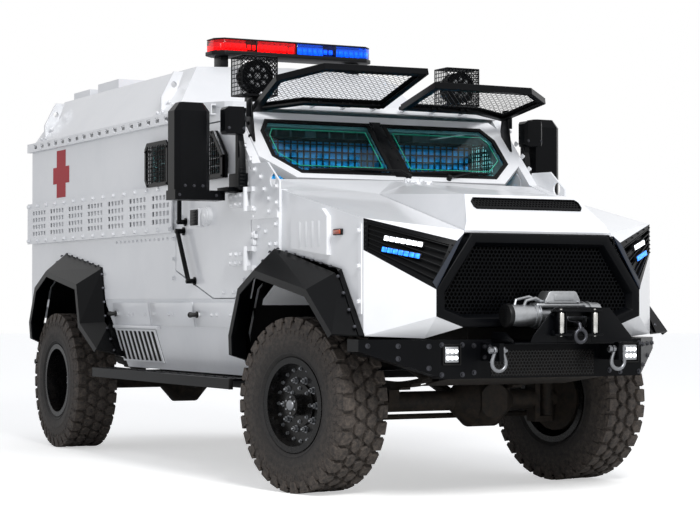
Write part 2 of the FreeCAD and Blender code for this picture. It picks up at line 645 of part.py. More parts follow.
def make_floor():
    """The flat floor, with housings over the rear wheels."""
    inner = BODY_HALF - WALL
    slab = box(-inner, inner, FLOOR_FRONT_Y, BODY_REAR_Y - WALL, FLOOR_BOTTOM, FLOOR_TOP)
    wheel_space = arch_cut(REAR_FLARE_ROOT, ARCH_WALL_X, inner + 5)
    slab = slab.cut(wheel_space).cut(mirrored(wheel_space))
    shell_outline = inset(list(REAR_FLARE_ROOT) + [(REAR_FLARE_ROOT[-1][0], 300),
                                                   (REAR_FLARE_ROOT[0][0], 300)], FLARE_SHEET)
    housing = side_prism(shell_outline, ARCH_WALL_X - 16, inner)
    housing = housing.cut(wheel_space)
    housing = housing.common(box(0, inner, 0, BODY_REAR_Y, FLOOR_BOTTOM, RAIL_LINE_Z))
    return fused([slab, housing, mirrored(housing)])


def make_firewall():
    """The bulkhead between nose and cab, with the front arches' rear walls."""
    inner = BODY_HALF - WALL
    wall = box(-inner, inner, BODY_FRONT_Y + 60, BODY_FRONT_Y + 90, 1290, 1785)
    slope = side_prism(((BODY_FRONT_Y + 60, 1300), (BODY_FRONT_Y + 90, 1290), (FLOOR_FRONT_Y, 1120),
                        (FLOOR_FRONT_Y, FLOOR_BOTTOM)), -inner, inner)
    tunnel = front_prism(((-200, 600), (-200, 1190), (200, 1190), (200, 600)), 0, FLOOR_FRONT_Y)
    return fused([wall, slope]).cut(tunnel)


def make_cowl():
    """The fixed panel between the hood and the windscreen, with the guards' rest."""
    rear_y, rear_z = screen_y(1905) - 4, 1905
    side = BODY_HALF - WALL - SEAM
    points = {
        "side_front": vec(side, BODY_FRONT_Y + 2 * SEAM, fender_z(side, BODY_FRONT_Y)),
        "knee": vec(HOOD_KNEE_X, HOOD_REAR_Y + 2 * SEAM, fender_z(HOOD_KNEE_X, HOOD_REAR_Y)),
        "crown": vec(HOOD_CROWN_X, HOOD_REAR_Y + 2 * SEAM, HOOD_CROWN_REAR_Z),
        "crown_mid": vec(0, HOOD_REAR_Y + 2 * SEAM, HOOD_CROWN_REAR_Z),
        "rear_side": vec(side, rear_y, rear_z - 14),
        "rear_crown": vec(HOOD_CROWN_X, rear_y, rear_z),
        "rear_mid": vec(0, rear_y, rear_z),
    }
    facets = (("side_front", "knee", "rear_side"), ("knee", "rear_crown", "rear_side"),
              ("knee", "crown", "rear_crown"), ("crown", "crown_mid", "rear_mid", "rear_crown"))
    half = folded(points, facets, vec(0, 0, -SHEET))
    skirt = plate([points["side_front"], points["side_front"] - vec(0, 0, 40),
                   points["rear_side"] - vec(0, 0, 40), points["rear_side"]], SHEET, vec(1, 0, 0))
    knuckle = hood_knuckle(HINGE_PLATE_X[1] + SEAM, HINGE_PLATE_X[2])
    foot = box(HINGE_PLATE_X[1] + SEAM, HINGE_PLATE_X[2], HOOD_REAR_Y, HOOD_HINGE_Y + 30,
               HOOD_CROWN_REAR_Z - 6, HOOD_HINGE_Z)
    half = fused([half, skirt, knuckle, foot])
    rest = box(-62, 62, 388, 400, HOOD_CROWN_REAR_Z, 1912)
    knobs = [rod(vec(x, 376, 1902), vec(x, 412, 1902), 12) for x in (-46, 46)]
    return fused([half, mirrored(half), rest] + knobs)


def screen_frame_outline():
    """Half outline of the windscreen panel in its own plane: x, height z."""
    edge = BODY_HALF - WALL - SEAM
    return ((0, 1908), (760, 1908), (edge, 2045), (edge, 2290), (905, 2352), (0, 2352))


def in_screen_plane(outline, forward, thickness):
    """A slab square to the leaning plane, its outer face that far before the windscreen's plane."""
    points = [vec(x, screen_y(z), z) for x, z in outline]
    slab = plate(points, thickness, vec(0, -1, 1))
    slab.translate(vec(0, -1, SCREEN_LEAN).normalize() * forward)
    return slab


def make_cab_front():
    """The windscreen's surround with its centre post, and the brackets of the guards' hinges."""
    frame = in_screen_plane(both_ways(screen_frame_outline()), 0, WALL)
    pane = in_screen_plane(PANE_OUTLINE, 50, 200)
    frame = frame.cut(pane).cut(mirrored(pane))
    return frame


def make_windscreen():
    pane = in_screen_plane(inset(list(PANE_OUTLINE), SEAM), -8, GLASS)
    return both(pane)


def cab_roof_under(y):
    """Height of the cab roof's underside."""
    slope = CAB_ROOF_RISE / (BOX_FRONT_Y - CAB_ROOF_FRONT_Y)
    return CAB_ROOF_Z - CAB_ROOF_THICK + (y - CAB_ROOF_FRONT_Y) * slope


def make_cab_roof():
    """The cab's roof: a plate with clipped front corners, rising slightly to the box."""
    profile = ((CAB_ROOF_FRONT_Y, CAB_ROOF_Z - CAB_ROOF_THICK), (CAB_ROOF_FRONT_Y, CAB_ROOF_Z),
               (BOX_FRONT_Y, CAB_ROOF_Z + CAB_ROOF_RISE),
               (BOX_FRONT_Y, CAB_ROOF_Z + CAB_ROOF_RISE - CAB_ROOF_THICK))
    slab = side_prism(profile, -BODY_HALF, BODY_HALF)
    plan = both_ways(((0, CAB_ROOF_FRONT_Y - 5), (600, CAB_ROOF_FRONT_Y - 5), (985, 1010),
                      (BODY_HALF, 1060), (BODY_HALF, BOX_FRONT_Y), (0, BOX_FRONT_Y)))
    slab = slab.common(plan_prism(plan, 2000, 3000))
    side_gap = side_prism(((1000, RAIL_LINE_Z + SEAM), (BOX_FRONT_Y, RAIL_LINE_Z + SEAM),
                           (BOX_FRONT_Y, CAB_ROOF_Z + CAB_ROOF_RISE - CAB_ROOF_THICK + 5),
                           (1000, CAB_ROOF_Z - 15)), BODY_HALF - WALL, BODY_HALF)
    shelf = fused([slab, side_gap, mirrored(side_gap)])
    lugs = []
    for x in GUARD_BRACKETS_X:
        outline = ((CAB_ROOF_FRONT_Y + 40, CAB_ROOF_Z - CAB_ROOF_THICK),
                   (GUARD_HINGE_Y - 12, GUARD_HINGE_Z - 16),
                   (GUARD_HINGE_Y - 16, GUARD_HINGE_Z + 8),
                   (GUARD_HINGE_Y, GUARD_HINGE_Z + 16),
                   (CAB_ROOF_FRONT_Y + 40, CAB_ROOF_Z + 2))
        lug = side_prism(outline, x - 6, x + 6)
        pin = rod(vec(x - 22, GUARD_HINGE_Y, GUARD_HINGE_Z), vec(x + 22, GUARD_HINGE_Y, GUARD_HINGE_Z),
                  GUARD_PIN)
        lugs += [lug, pin]
    half = fused(lugs)
    return fused([shelf, half, mirrored(half)])


def roof_section(drop):
    """Cross section of the raised roof, every wall moved in by drop: x, z."""
    foot = RAIL_LINE_Z + SEAM
    closed = [(BODY_HALF, foot - 200), (-BODY_HALF, foot - 200)]
    ring = [(ROOF_EDGE_X, ROOF_EDGE_Z), (BODY_HALF, foot)] + closed
    ring += [(-BODY_HALF, foot), (-ROOF_EDGE_X, ROOF_EDGE_Z), (0, ROOF_CROWN_Z)]
    return inset(ring, drop) if drop else ring


def box_front_cut(drop):
    """Everything before the raised roof's sloping front, moved in by drop."""
    foot = BOX_FRONT_Y + drop * math.hypot(1, BOX_FRONT_LEAN)
    low, high = RAIL_LINE_Z - 300, ROOF_CROWN_Z + 300
    return side_prism(((foot + (low - 2480) * BOX_FRONT_LEAN, low), (foot - 2000, low),
                       (foot - 2000, high), (foot + (high - 2480) * BOX_FRONT_LEAN, high)),
                      -2000, 2000)


def make_roof():
    """The raised roof of the box: sloped sides, a low crown and a leaning front."""
    floor_cut = box(-BODY_HALF - WALL, BODY_HALF + WALL, 0, BODY_REAR_Y + WALL, 0, RAIL_LINE_Z + SEAM)
    outer = front_prism(roof_section(0), BOX_FRONT_Y - 400, BODY_REAR_Y - WALL).cut(box_front_cut(0))
    inner = front_prism(roof_section(WALL), BOX_FRONT_Y - 400, BODY_REAR_Y).cut(box_front_cut(WALL))
    roof = outer.cut(inner).cut(floor_cut)
    cab_roof_space = box(-BODY_HALF - WALL, BODY_HALF + WALL, 0, BOX_FRONT_Y + SEAM, 0,
                         CAB_ROOF_Z + CAB_ROOF_RISE)
    roof = roof.cut(cab_roof_space)
    hatch = box(-HATCH_HALF, HATCH_HALF, HATCH_FRONT_Y, HATCH_REAR_Y, RAIL_LINE_Z, ROOF_CROWN_Z + 200)
    coaming = box(-HATCH_HALF - 24, HATCH_HALF + 24, HATCH_FRONT_Y - 24, HATCH_REAR_Y + 24,
                  ROOF_CROWN_Z - 30, ROOF_CROWN_Z + 5.7)
    ears = []
    for x in HATCH_HINGES_X:
        ears.append(hatch_knuckle(x + 50 + SEAM, x + 80))
        ears.append(box(x + 50 + SEAM, x + 80, HATCH_HINGE_Y - 12, HATCH_HINGE_Y + 6, ROOF_CROWN_Z - 20,
                        HATCH_HINGE_Z))
    vents = [box(x0, x1, y0, y1, ROOF_EDGE_Z, ROOF_CROWN_Z + height) for x0, x1, y0, y1, height in ROOF_VENTS]
    return fused([roof, coaming] + ears + vents).cut(hatch)


def make_roof_hatch():
    """The escape hatch's lid, hinged at its front edge, overlapping the opening all round."""
    base = ROOF_CROWN_Z + 6
    lid = box(-HATCH_HALF - 40, HATCH_HALF + 40, HATCH_FRONT_Y - 40, HATCH_REAR_Y + 40, base,
              base + HATCH_LID)
    plug = box(-HATCH_HALF + 12, HATCH_HALF - 12, HATCH_FRONT_Y + 12, HATCH_REAR_Y - 12,
               base - 30, base + 1)
    uprights = [edge for edge in lid.Edges if abs(edge.Vertexes[0].Z - edge.Vertexes[-1].Z) > 1]
    lid = lid.makeFillet(40, uprights)
    leaves = [box(x - 40, x + 40, HATCH_HINGE_Y, HATCH_FRONT_Y - 30, HATCH_HINGE_Z - 6,
                  HATCH_HINGE_Z + 8) for x in HATCH_HINGES_X]
    hinges = [hatch_knuckle(x - 50, x + 50) for x in HATCH_HINGES_X]
    return fused([lid, plug] + leaves + hinges)


def hatch_knuckle(x0, x1):
    """One barrel of the hatch's hinge, from x0 to x1."""
    return rod(vec(x0, HATCH_HINGE_Y, HATCH_HINGE_Z), vec(x1, HATCH_HINGE_Y, HATCH_HINGE_Z), 12)


def make_rear_frame():
    """The rear wall, with the opening for the two doors."""
    section = both_ways([(0, SILL_Z - 0.5), (BODY_HALF, SILL_Z - 0.5), (BODY_HALF, RAIL_LINE_Z),
                         (ROOF_EDGE_X, ROOF_EDGE_Z), (0, ROOF_CROWN_Z)])
    wall = front_prism(section, BODY_REAR_Y - WALL, BODY_REAR_Y)
    gap = DOOR_GAP
    opening = box(-REAR_OPENING_X - gap, REAR_OPENING_X + gap, BODY_REAR_Y - 2 * WALL, BODY_REAR_Y + WALL,
                  REAR_OPENING_BOTTOM - gap, REAR_OPENING_TOP + gap)
    wall = wall.cut(opening)
    lower = front_prism(((-BODY_HALF, 1000), (-BODY_HALF, SILL_Z), (BODY_HALF, SILL_Z),
                         (BODY_HALF, 1000)), BODY_REAR_Y - WALL, BODY_REAR_Y)
    leaves = []
    for side in (1, -1):
        for z in REAR_HINGES_Z:
            for low in (z - 50 - 36, z + 50 + SEAM):
                leaves.append(rod(vec(side * REAR_HINGE_X, REAR_HINGE_Y, low),
                                  vec(side * REAR_HINGE_X, REAR_HINGE_Y, low + 35.7), 18))
                ends = (side * (REAR_HINGE_X + 5), side * (REAR_HINGE_X + 90))
                leaves.append(box(min(ends), max(ends), BODY_REAR_Y - 1, REAR_HINGE_Y, low, low + 35.7))
    return fused([wall, lower] + leaves)


def make_rear_door():
    """The left rear leaf, with its hinges, lock rod and handle."""
    leaf = box(4, REAR_OPENING_X, BODY_REAR_Y - WALL, BODY_REAR_Y, REAR_OPENING_BOTTOM,
               REAR_OPENING_TOP)
    window = box(190, 430, BODY_REAR_Y - 2 * WALL, BODY_REAR_Y + WALL, 1880, 2120)
    hinges = []
    for z in REAR_HINGES_Z:
        hinges.append(rod(vec(REAR_HINGE_X, REAR_HINGE_Y, z - 50),
                          vec(REAR_HINGE_X, REAR_HINGE_Y, z + 50), 18))
        hinges.append(box(430, REAR_HINGE_X, BODY_REAR_Y, REAR_HINGE_Y, z - 42, z + 42))
    handle = fused([rod(vec(90, BODY_REAR_Y + 36, 1380), vec(90, BODY_REAR_Y + 36, 2140), 12)]
                   + [box(70, 110, BODY_REAR_Y, BODY_REAR_Y + 36, z - 20, z + 20)
                      for z in (1420, 1760, 2100)])
    return fused([leaf.cut(window), handle] + hinges)


def make_partition():
    """The grated bulkhead behind the seats."""
    inner = BODY_HALF - WALL
    y = PARTITION_Y
    frame = box(-inner + SEAM, inner - SEAM, y, y + 30, FLOOR_TOP, 2415)
    window = []
    for x0, x1 in ((-820, -40), (40, 820)):
        window.append(box(x0, x1, y - 10, y + 50, 1780, 2320))
    frame = frame.cut(Part.makeCompound(window))
    bars = []
    for x0, x1 in ((-820, -40), (40, 820)):
        count = 7
        for step in range(1, count):
            x = x0 + (x1 - x0) * step / count
            bars.append(box(x - 6, x + 6, y + 8, y + 20, 1775, 2325))
        for step in range(1, 5):
            z = 1780 + 540 * step / 5
            bars.append(box(x0 - 5, x1 + 5, y + 8, y + 20, z - 6, z + 6))
    return fused([frame] + bars)


# ---------------------------------------------------------------- nose


def nose_points():
    """The nose's named corners on the left side."""
    return {
        "hood_tip": vec(489, -1070, fender_z(489, -1070)),
        "crease_low": vec(465, -1051, 1581),
        "crease_up": vec(376, -878, 1744),
        "crown": vec(HOOD_CROWN_X, HOOD_REAR_Y, HOOD_CROWN_REAR_Z),
        "knee": vec(HOOD_KNEE_X, HOOD_REAR_Y, fender_z(HOOD_KNEE_X, HOOD_REAR_Y)),
        "mid_tip": vec(0, -1070, fender_z(489, -1070)),
        "mid_low": vec(0, -1051, 1581),
        "mid_up": vec(0, -878, 1744),
        "mid_crown": vec(0, HOOD_REAR_Y, HOOD_CROWN_REAR_Z),
        "rear_edge": vec(FENDER_HALF, BODY_FRONT_Y - SEAM, fender_z(FENDER_HALF, BODY_FRONT_Y - SEAM)),
        "corner_top": vec(CORNER_X, CORNER_Y, fender_z(CORNER_X, CORNER_Y)),
        "corner_lamp": vec(CORNER_X, CORNER_Y, 1420),
        "corner_low": vec(CORNER_X, CORNER_Y, NOSE_LOW_Z),
        "grille_top": vec(498, -1078, 1512),
        "lamp_in": vec(545, -1086, 1470),
        "grille_mid": vec(682 + SEAM, -1089, 1198),
        "grille_low": vec(682 + SEAM, -1089, 1048),
        "grille_foot": vec(514 + SEAM, -1092, 988 - SEAM - 0.1),
        "chin": vec(700, -985, 925),
    }


def make_hood():
    """The engine's lid: a flat crown between two creases, and steep cheeks down to its edge."""
    points = nose_points()
    for name in ("crown", "knee", "mid_crown"):
        points[name] = points[name] - vec(0, HOOD_GAP, 0)
    facets = (("mid_tip", "hood_tip", "crease_low", "mid_low"),
              ("mid_low", "crease_low", "crease_up", "mid_up"),
              ("mid_up", "crease_up", "crown", "mid_crown"),
              ("hood_tip", "crease_up", "crease_low"),
              ("hood_tip", "knee", "crease_up"),
              ("crease_up", "knee", "crown"))
    knuckle = hood_knuckle(HINGE_PLATE_X[0], HINGE_PLATE_X[1])
    leaf = box(HINGE_PLATE_X[0], HINGE_PLATE_X[1], HOOD_HINGE_Y - 36, HOOD_HINGE_Y,
               HOOD_CROWN_REAR_Z - 8, HOOD_HINGE_Z)
    half = fused([folded(points, facets, vec(0, SHEET / 2, -SHEET)), knuckle, leaf])
    return fused([half, mirrored(half)])


def hood_knuckle(x0, x1):
    """One barrel of the hood's hinge, from x0 to x1."""
    return rod(vec(x0, HOOD_HINGE_Y, HOOD_HINGE_Z), vec(x1, HOOD_HINGE_Y, HOOD_HINGE_Z), 9)


def make_fender():
    """Left fender: flat top, side with its vent plate, and the faceted front corner."""
    points = nose_points()
    tip, knee = points["hood_tip"], points["knee"]
    along = (knee - tip)
    across = vec(along.y, -along.x, 0).normalize() * HOOD_GAP
    edge_tip = tip + across
    edge_knee = edge_tip + along * ((HOOD_REAR_Y - 1 - edge_tip.y) / along.y)
    for point in (edge_tip, edge_knee):
        point.z = fender_z(point.x, point.y)
    inner = BODY_HALF - WALL
    wall_corner = vec(inner, BODY_FRONT_Y - SEAM, fender_z(inner, BODY_FRONT_Y - SEAM))
    top = polygon([points["rear_edge"], wall_corner, edge_knee, edge_tip, points["corner_top"]])
    top = top.extrude(vec(0, 0, -SHEET))
    side = polygon([points["rear_edge"], points["corner_top"], points["corner_low"],
                    vec(FENDER_HALF, BODY_FRONT_Y - SEAM, NOSE_LOW_Z)]).extrude(vec(-SHEET, 0, 0))
    side = side.cut(arch_cut(FRONT_FLARE_ROOT, 0, 2 * BODY_HALF))
    facets = (("corner_lamp", "corner_low", "grille_low", "grille_mid"),
              ("corner_top", "grille_top", "lamp_in"),
              ("corner_low", "chin", "grille_low"),
              ("chin", "grille_foot", "grille_low"))
    front = folded(points, facets, vec(0, SHEET, 0))
    link = plate([edge_tip, points["grille_top"], points["corner_top"]], SHEET, vec(0, -0.4, 1))
    vent = side_prism(((-395, 1400), (-395, 1625), (-330, 1672), (60, 1672), (85, 1650), (85, 1450)),
                      FENDER_HALF - 30, FENDER_HALF + 14)
    slots = [box(FENDER_HALF - 40, FENDER_HALF + 40, y - 12, y + 12, 1455, 1600)
             for y in (-300, -215, -130, -45)]
    vent = vent.cut(Part.makeCompound(slots))
    strip = plate([vec(fender_x(y) + 6, y, z) for y, z in
                   ((-768, 1060), (-768, 1570), (-730, 1575), (-730, 1060))], 6.5, vec(1, 0, 0))
    strip = strip.cut(arch_cut(FRONT_FLARE_ROOT, 0, 2 * BODY_HALF))
    return fused([top, side, front, link, vent, strip])


def make_headlamp():
    """Left lamp: a black housing between fender and grille, with its two LED bars."""
    points = nose_points()
    facets = (("corner_top", "corner_lamp", "grille_mid"), ("corner_top", "grille_mid", "lamp_in"))
    lamp = folded(points, facets, vec(0, LAMP_DEPTH, 0))
    return lamp.cut(make_fender())


def grille_outline(distance):
    outline = both_ways(GRILLE_OUTLINE)
    return inset(outline, distance) if distance else outline


def make_grille():
    """A deep frame with a honeycomb set back in it."""
    front, back = GRILLE_Y, GRILLE_Y + GRILLE_DEPTH
    frame = front_prism(grille_outline(0), front, back)
    frame = frame.cut(front_prism(grille_outline(GRILLE_RIM), front - 10, back + 10))
    screen_outline = grille_outline(GRILLE_RIM - 1)
    screen = front_prism(screen_outline, back - 24, back - 8)
    hole_radius = (GRILLE_PITCH - GRILLE_WEB) / math.sqrt(3)
    rows = int(560 / (GRILLE_PITCH * math.sqrt(3) / 2)) + 1
    holes = []
    opening = front_prism(grille_outline(GRILLE_RIM + 6), front, back + 20)
    for row in range(rows):
        z = 1030 + row * GRILLE_PITCH * math.sqrt(3) / 2
        for column in range(-8, 9):
            x = (column + 0.5 * (row % 2)) * GRILLE_PITCH
            hexagon = [(x + hole_radius * math.sin(math.radians(60 * k)),
                        z + hole_radius * math.cos(math.radians(60 * k))) for k in range(6)]
            holes.append(front_prism(hexagon, back - 40, back + 10).common(opening))
    holes = [hole for hole in holes if hole.Volume > 1000]
    screen = screen.cut(Part.makeCompound(holes))
    return fused([frame, screen])


# ---------------------------------------------------------------- bumper, winch
def make_bumper():
    """A folded steel bumper with raked wings, lamp pockets and shackle brackets."""
    face = BUMPER_FACE_Y
    plan = both_ways([(0, face), (679, face), (1006, -776), (1006, -640), (936, -640),
                      (930, -745), (645, face + BUMPER_WALL), (0, face + BUMPER_WALL)])
    beam = plan_prism(plan, BUMPER_BOTTOM - 10, BUMPER_TOP)
    wing = front_prism(((671, 600), (671, BUMPER_BOTTOM), (1010, 850), (1100, 850), (1100, 600)),
                       -1300, 0)
    beam = beam.cut(wing).cut(mirrored(wing))
    slots = [box(x - 20, x + 20, face - 10, face + 100, z, z + 14)
             for x in range(-300, 301, 75) for z in (770, 812)]
    lamps = [box(x - 46, x + 46, face - 10, face + 24, 790, 882) for x in (600, -600)]
    beam = beam.cut(Part.makeCompound(slots + lamps))
    brackets = [box(side * SHACKLE_X - 14, side * SHACKLE_X + 14, face - 200, face + 5, 800, 900)
                for side in (1, -1)]
    horn = box(RAIL_OUT - RAIL_WIDTH, RAIL_OUT, face + BUMPER_WALL - 5, RAIL_FRONT_Y, 815, 905)
    horns = [horn, mirrored(horn)]
    pin_holes = [rod(vec(side * SHACKLE_X - 40, face - SHACKLE_REACH, SHACKLE_PIN_Z),
                     vec(side * SHACKLE_X + 40, face - SHACKLE_REACH, SHACKLE_PIN_Z), 16)
                 for side in (1, -1)]
    shape = fused([beam] + brackets + horns)
    return shape.cut(Part.makeCompound(pin_holes))


def make_shackle():
    """A bow shackle hanging from its bracket's pin."""
    x, y, z = SHACKLE_X, BUMPER_FACE_Y - SHACKLE_REACH, SHACKLE_PIN_Z
    pin = rod(vec(x - 52, y, z), vec(x + 58, y, z), 15.5)
    bow = rod(vec(x, y - 12, z - 70), vec(x, y + 12, z - 70), 56)
    bow = fused([bow, box(x - 48, x + 48, y - 12, y + 12, z - 70, z + 18)])
    eye = fused([rod(vec(x, y - 20, z - 70), vec(x, y + 20, z - 70), 33),
                 box(x - 24, x + 24, y - 20, y + 20, z - 70, z + 40)])
    return fused([pin, bow.cut(eye)])


def make_winch():
    """Cradle, drum, motor and gearbox, and the roller fairlead with its hook."""
    face, top = WINCH_FACE_Y, 1100
    tray = fused([box(-WINCH_HALF, WINCH_HALF, face, BUMPER_FACE_Y + 20, BUMPER_TOP + SEAM, BUMPER_TOP + 14),
                  box(-WINCH_HALF, WINCH_HALF, face, face + 12, BUMPER_TOP, top)])
    window = box(FAIRLEAD_X - 115, FAIRLEAD_X + 115, face - 20, face + 40, 968, 1048)
    tray = tray.cut(window)
    y, z = -1225, 1052
    body = fused([rod(vec(-WINCH_HALF + 10, y, z), vec(-120, y, z), 66),
                  rod(vec(-125, y, z), vec(180, y, z), 44),
                  rod(vec(-130, y, z), vec(-118, y, z), 84),
                  rod(vec(175, y, z), vec(300, y, z), 80),
                  box(-90, 150, y - 50, y + 50, 1120, 1190),
                  box(-96, -84, y - 30, y + 30, z, 1130), box(144, 156, y - 30, y + 30, z, 1130),
                  box(-320, -130, y - 60, y + 60, BUMPER_TOP + 10, z),
                  box(180, 300, y - 60, y + 60, BUMPER_TOP + 10, z)])
    frame = fused([box(FAIRLEAD_X - 160, FAIRLEAD_X + 160, face - 10, face + 1, 946, 1080)]).cut(window)
    rollers = []
    for side in (1, -1):
        x = FAIRLEAD_X + side * 112
        rollers.append(rod(vec(x, face - 34, 956), vec(x, face - 34, 1068), 19))
    for height in (974, 1044):
        rollers.append(rod(vec(FAIRLEAD_X - 100, face - 34, height),
                           vec(FAIRLEAD_X + 100, face - 34, height), 15))
    ends = [box(FAIRLEAD_X - 140, FAIRLEAD_X + 140, face - 56, face, z0, z0 + 10)
            for z0 in (946, 1068)]
    eye = rod(vec(FAIRLEAD_X, face - 74, 940), vec(FAIRLEAD_X, face - 50, 940), 46)
    eye = eye.cut(rod(vec(FAIRLEAD_X, face - 80, 940), vec(FAIRLEAD_X, face - 40, 940), 24))
    hook = fused([eye, box(FAIRLEAD_X - 16, FAIRLEAD_X + 16, face - 74, face - 18, 972, 1030)])
    return fused([tray, body, frame, hook] + rollers + ends)


# ---------------------------------------------------------------- flares and steps
def body_x(y, z):
    """How far out the body's side lies at a place."""
    if y < BODY_FRONT_Y:
        return fender_x(y)
    return lower_side_x(z) if z < SILL_Z else BODY_HALF


def bent_quad(a, b, c, d, thickness, outward):
    """A four-cornered facet, split along the diagonal that bends it outwards."""
    normal = (b - a).cross(c - a)
    if normal.dot(outward) < 0:
        normal = normal.negative()
    halves = ((a, b, c), (a, c, d)) if normal.dot(d - a) < 0 else ((a, b, d), (b, c, d))
    return [plate(list(corners), thickness, outward) for corners in halves]


def make_flare(root, lip):
    """A bolted wheel-arch flare: facets from the body out to a lip, and a flange on the body."""
    centre = vec(0, sum(y for y, z in root) / len(root), 700)
    inner = [vec(body_x(y, z), y, z) for y, z in root]
    outer = [vec(FLARE_LIP_X, y, z) for y, z in lip]
    plates = []
    for index in range(len(root) - 1):
        a, b, c, d = inner[index], inner[index + 1], outer[index + 1], outer[index]
        outward = vec(0.6, 0, 0) + ((a + b) * 0.5 - centre).normalize()
        if index + 2 < len(root) and (b - a).cross(inner[index + 2] - b).x > 0:
            # a hollow fold: this facet runs on behind the next, so that the sheets meet
            b, c = b + (b - a).normalize() * FLARE_SHEET, c + (c - d).normalize() * FLARE_SHEET
        plates += bent_quad(a, b, c, d, FLARE_SHEET, outward)
    ring = side_prism(list(lip) + list(reversed(inset(list(lip) + [(lip[-1][0], lip[-1][1] - 60),
                      (lip[0][0], lip[0][1] - 60)], FLARE_RIM)[:len(lip)])),
                      FLARE_LIP_X - 10, FLARE_LIP_X)
    return fused(plates + [ring])


def make_flares():
    flares = [make_flare(FRONT_FLARE_ROOT, FRONT_FLARE_LIP), make_flare(REAR_FLARE_ROOT, REAR_FLARE_LIP)]
    far = BODY_REAR_Y + 500
    nose = plan_prism(((0, RAIL_FRONT_Y - 500), (fender_x(RAIL_FRONT_Y - 500) + SEAM, RAIL_FRONT_Y - 500),
                       (FENDER_HALF + SEAM, BODY_FRONT_Y), (0, BODY_FRONT_Y)), 0, ROOF_CROWN_Z)
    hull = front_prism(((0, 0), (lower_side_x(0) + SEAM, 0), (BODY_HALF + SEAM, SILL_Z),
                        (BODY_HALF + SEAM, ROOF_CROWN_Z), (0, ROOF_CROWN_Z)), BODY_FRONT_Y, far)
    return Part.makeCompound([flare.cut(nose).cut(hull) for flare in flares])


def make_side_step():
    """Left running board: two tubes, a slotted tread and three arms from the chassis."""
    tread = box(STEP_IN, STEP_OUT, STEP_FRONT_Y, STEP_REAR_Y, STEP_TOP - 14, STEP_TOP)
    slots = []
    count = int((STEP_REAR_Y - STEP_FRONT_Y - 100) / STEP_SLOT_PITCH)
    for step in range(count):
        y = STEP_FRONT_Y + 80 + step * STEP_SLOT_PITCH
        slots.append(box(STEP_IN + 45, STEP_OUT - 45, y, y + STEP_SLOT_PITCH * 0.6, 0, 1000))
    tread = tread.cut(Part.makeCompound(slots))
    rails = [box(x, x + 28, STEP_FRONT_Y, STEP_REAR_Y, STEP_BOTTOM, STEP_TOP)
             for x in (STEP_IN, STEP_OUT - 28)]
    arms = []
    for y in (850, 1750, 2700):
        arms.append(box(RAIL_OUT + SEAM, STEP_IN + 10, y - 25, y + 25, STEP_BOTTOM + 5, STEP_TOP - 10))
        arms.append(box(RAIL_OUT + SEAM, RAIL_OUT + 30, y - 25, y + 25, STEP_BOTTOM + 5, RAIL_TOP - 60))
    return fused([tread] + rails + arms)


# ---------------------------------------------------------------- fittings
def make_side_panel():
    """A perforated equipment panel, bolted proud of the left side on spacers."""
    y0, y1, z0, z1 = PANEL_FRONT_Y, BODY_REAR_Y + 30, PANEL_LOW_Z, PANEL_HIGH_Z
    panel = box(BODY_HALF + 22, BODY_HALF + 30, y0, y1, z0, z1)
    slots = []
    group_pitch = (y1 - y0 - 30) / PANEL_GROUPS
    for group in range(PANEL_GROUPS):
        for column in range(PANEL_COLUMNS):
            y = y0 + 50 + group * group_pitch + column * PANEL_SLOT_PITCH
            for row in range(PANEL_ROWS):
                z = z0 + 55 + row * PANEL_SLOT_PITCH
                slots.append(box(BODY_HALF, BODY_HALF + 60, y, y + PANEL_SLOT, z, z + PANEL_SLOT))
    panel = panel.cut(Part.makeCompound(slots))
    spacers = [box(BODY_HALF + SEAM, BODY_HALF + 23, y0 + 2, BODY_REAR_Y - 2, z, z + 16)
               for z in (z0, z1 - 16)]
    return fused([panel] + spacers)


def make_roof_rail():
    """A slotted angle rail along the top of the left side."""
    y0, y1 = 1200, BODY_REAR_Y + 30
    rail = box(BODY_HALF + SEAM, BODY_HALF + 34, y0, y1, RAIL_LINE_Z - 50, RAIL_LINE_Z + 20)
    rail = rail.cut(box(BODY_HALF - 10, BODY_HALF + 26, y0 - 10, y1 + 10,
                        RAIL_LINE_Z - 42, RAIL_LINE_Z + 10))
    slots = []
    count = 22
    for step in range(count):
        y = y0 + 80 + step * (y1 - y0 - 160) / count
        slots.append(box(BODY_HALF, BODY_HALF + 60, y, y + 75, RAIL_LINE_Z - 30, RAIL_LINE_Z + 4))
    return rail.cut(Part.makeCompound(slots))


def roof_slope_x(z):
    return BODY_HALF - (z - RAIL_LINE_Z) * (BODY_HALF - ROOF_EDGE_X) / (ROOF_EDGE_Z - RAIL_LINE_Z)


def make_lifting_lug(y):
    """A lifting plate standing on the roof's slope, with its eye."""
    x = roof_slope_x(2500)
    outline = ((x - 30, 2470), (x + 34, 2470), (x + 34, 2560), (x - 60, 2742), (x - 130, 2742))
    plate_shape = front_prism(outline, y - 13, y + 13)
    shell = front_prism(roof_section(0), y - 40, y + 40)
    eye = rod(vec(LUG_EYE_X, y - 20, LUG_EYE_Z), vec(LUG_EYE_X, y + 20, LUG_EYE_Z), LUG_EYE_RADIUS)
    return plate_shape.cut(shell).cut(eye)


def lozenge(half, y, z_low, z_high, shrink):
    """A long flat block with cut corners, about x = 0, every side moved in by shrink."""
    corner = 70
    plan = both_ways([(0, y - 130 + shrink), (half - corner, y - 130 + shrink), (half - shrink, y - 60),
                      (half - shrink, y + 60), (half - corner, y + 130 - shrink), (0, y + 130 - shrink)])
    return plan_prism(plan, z_low, z_high)


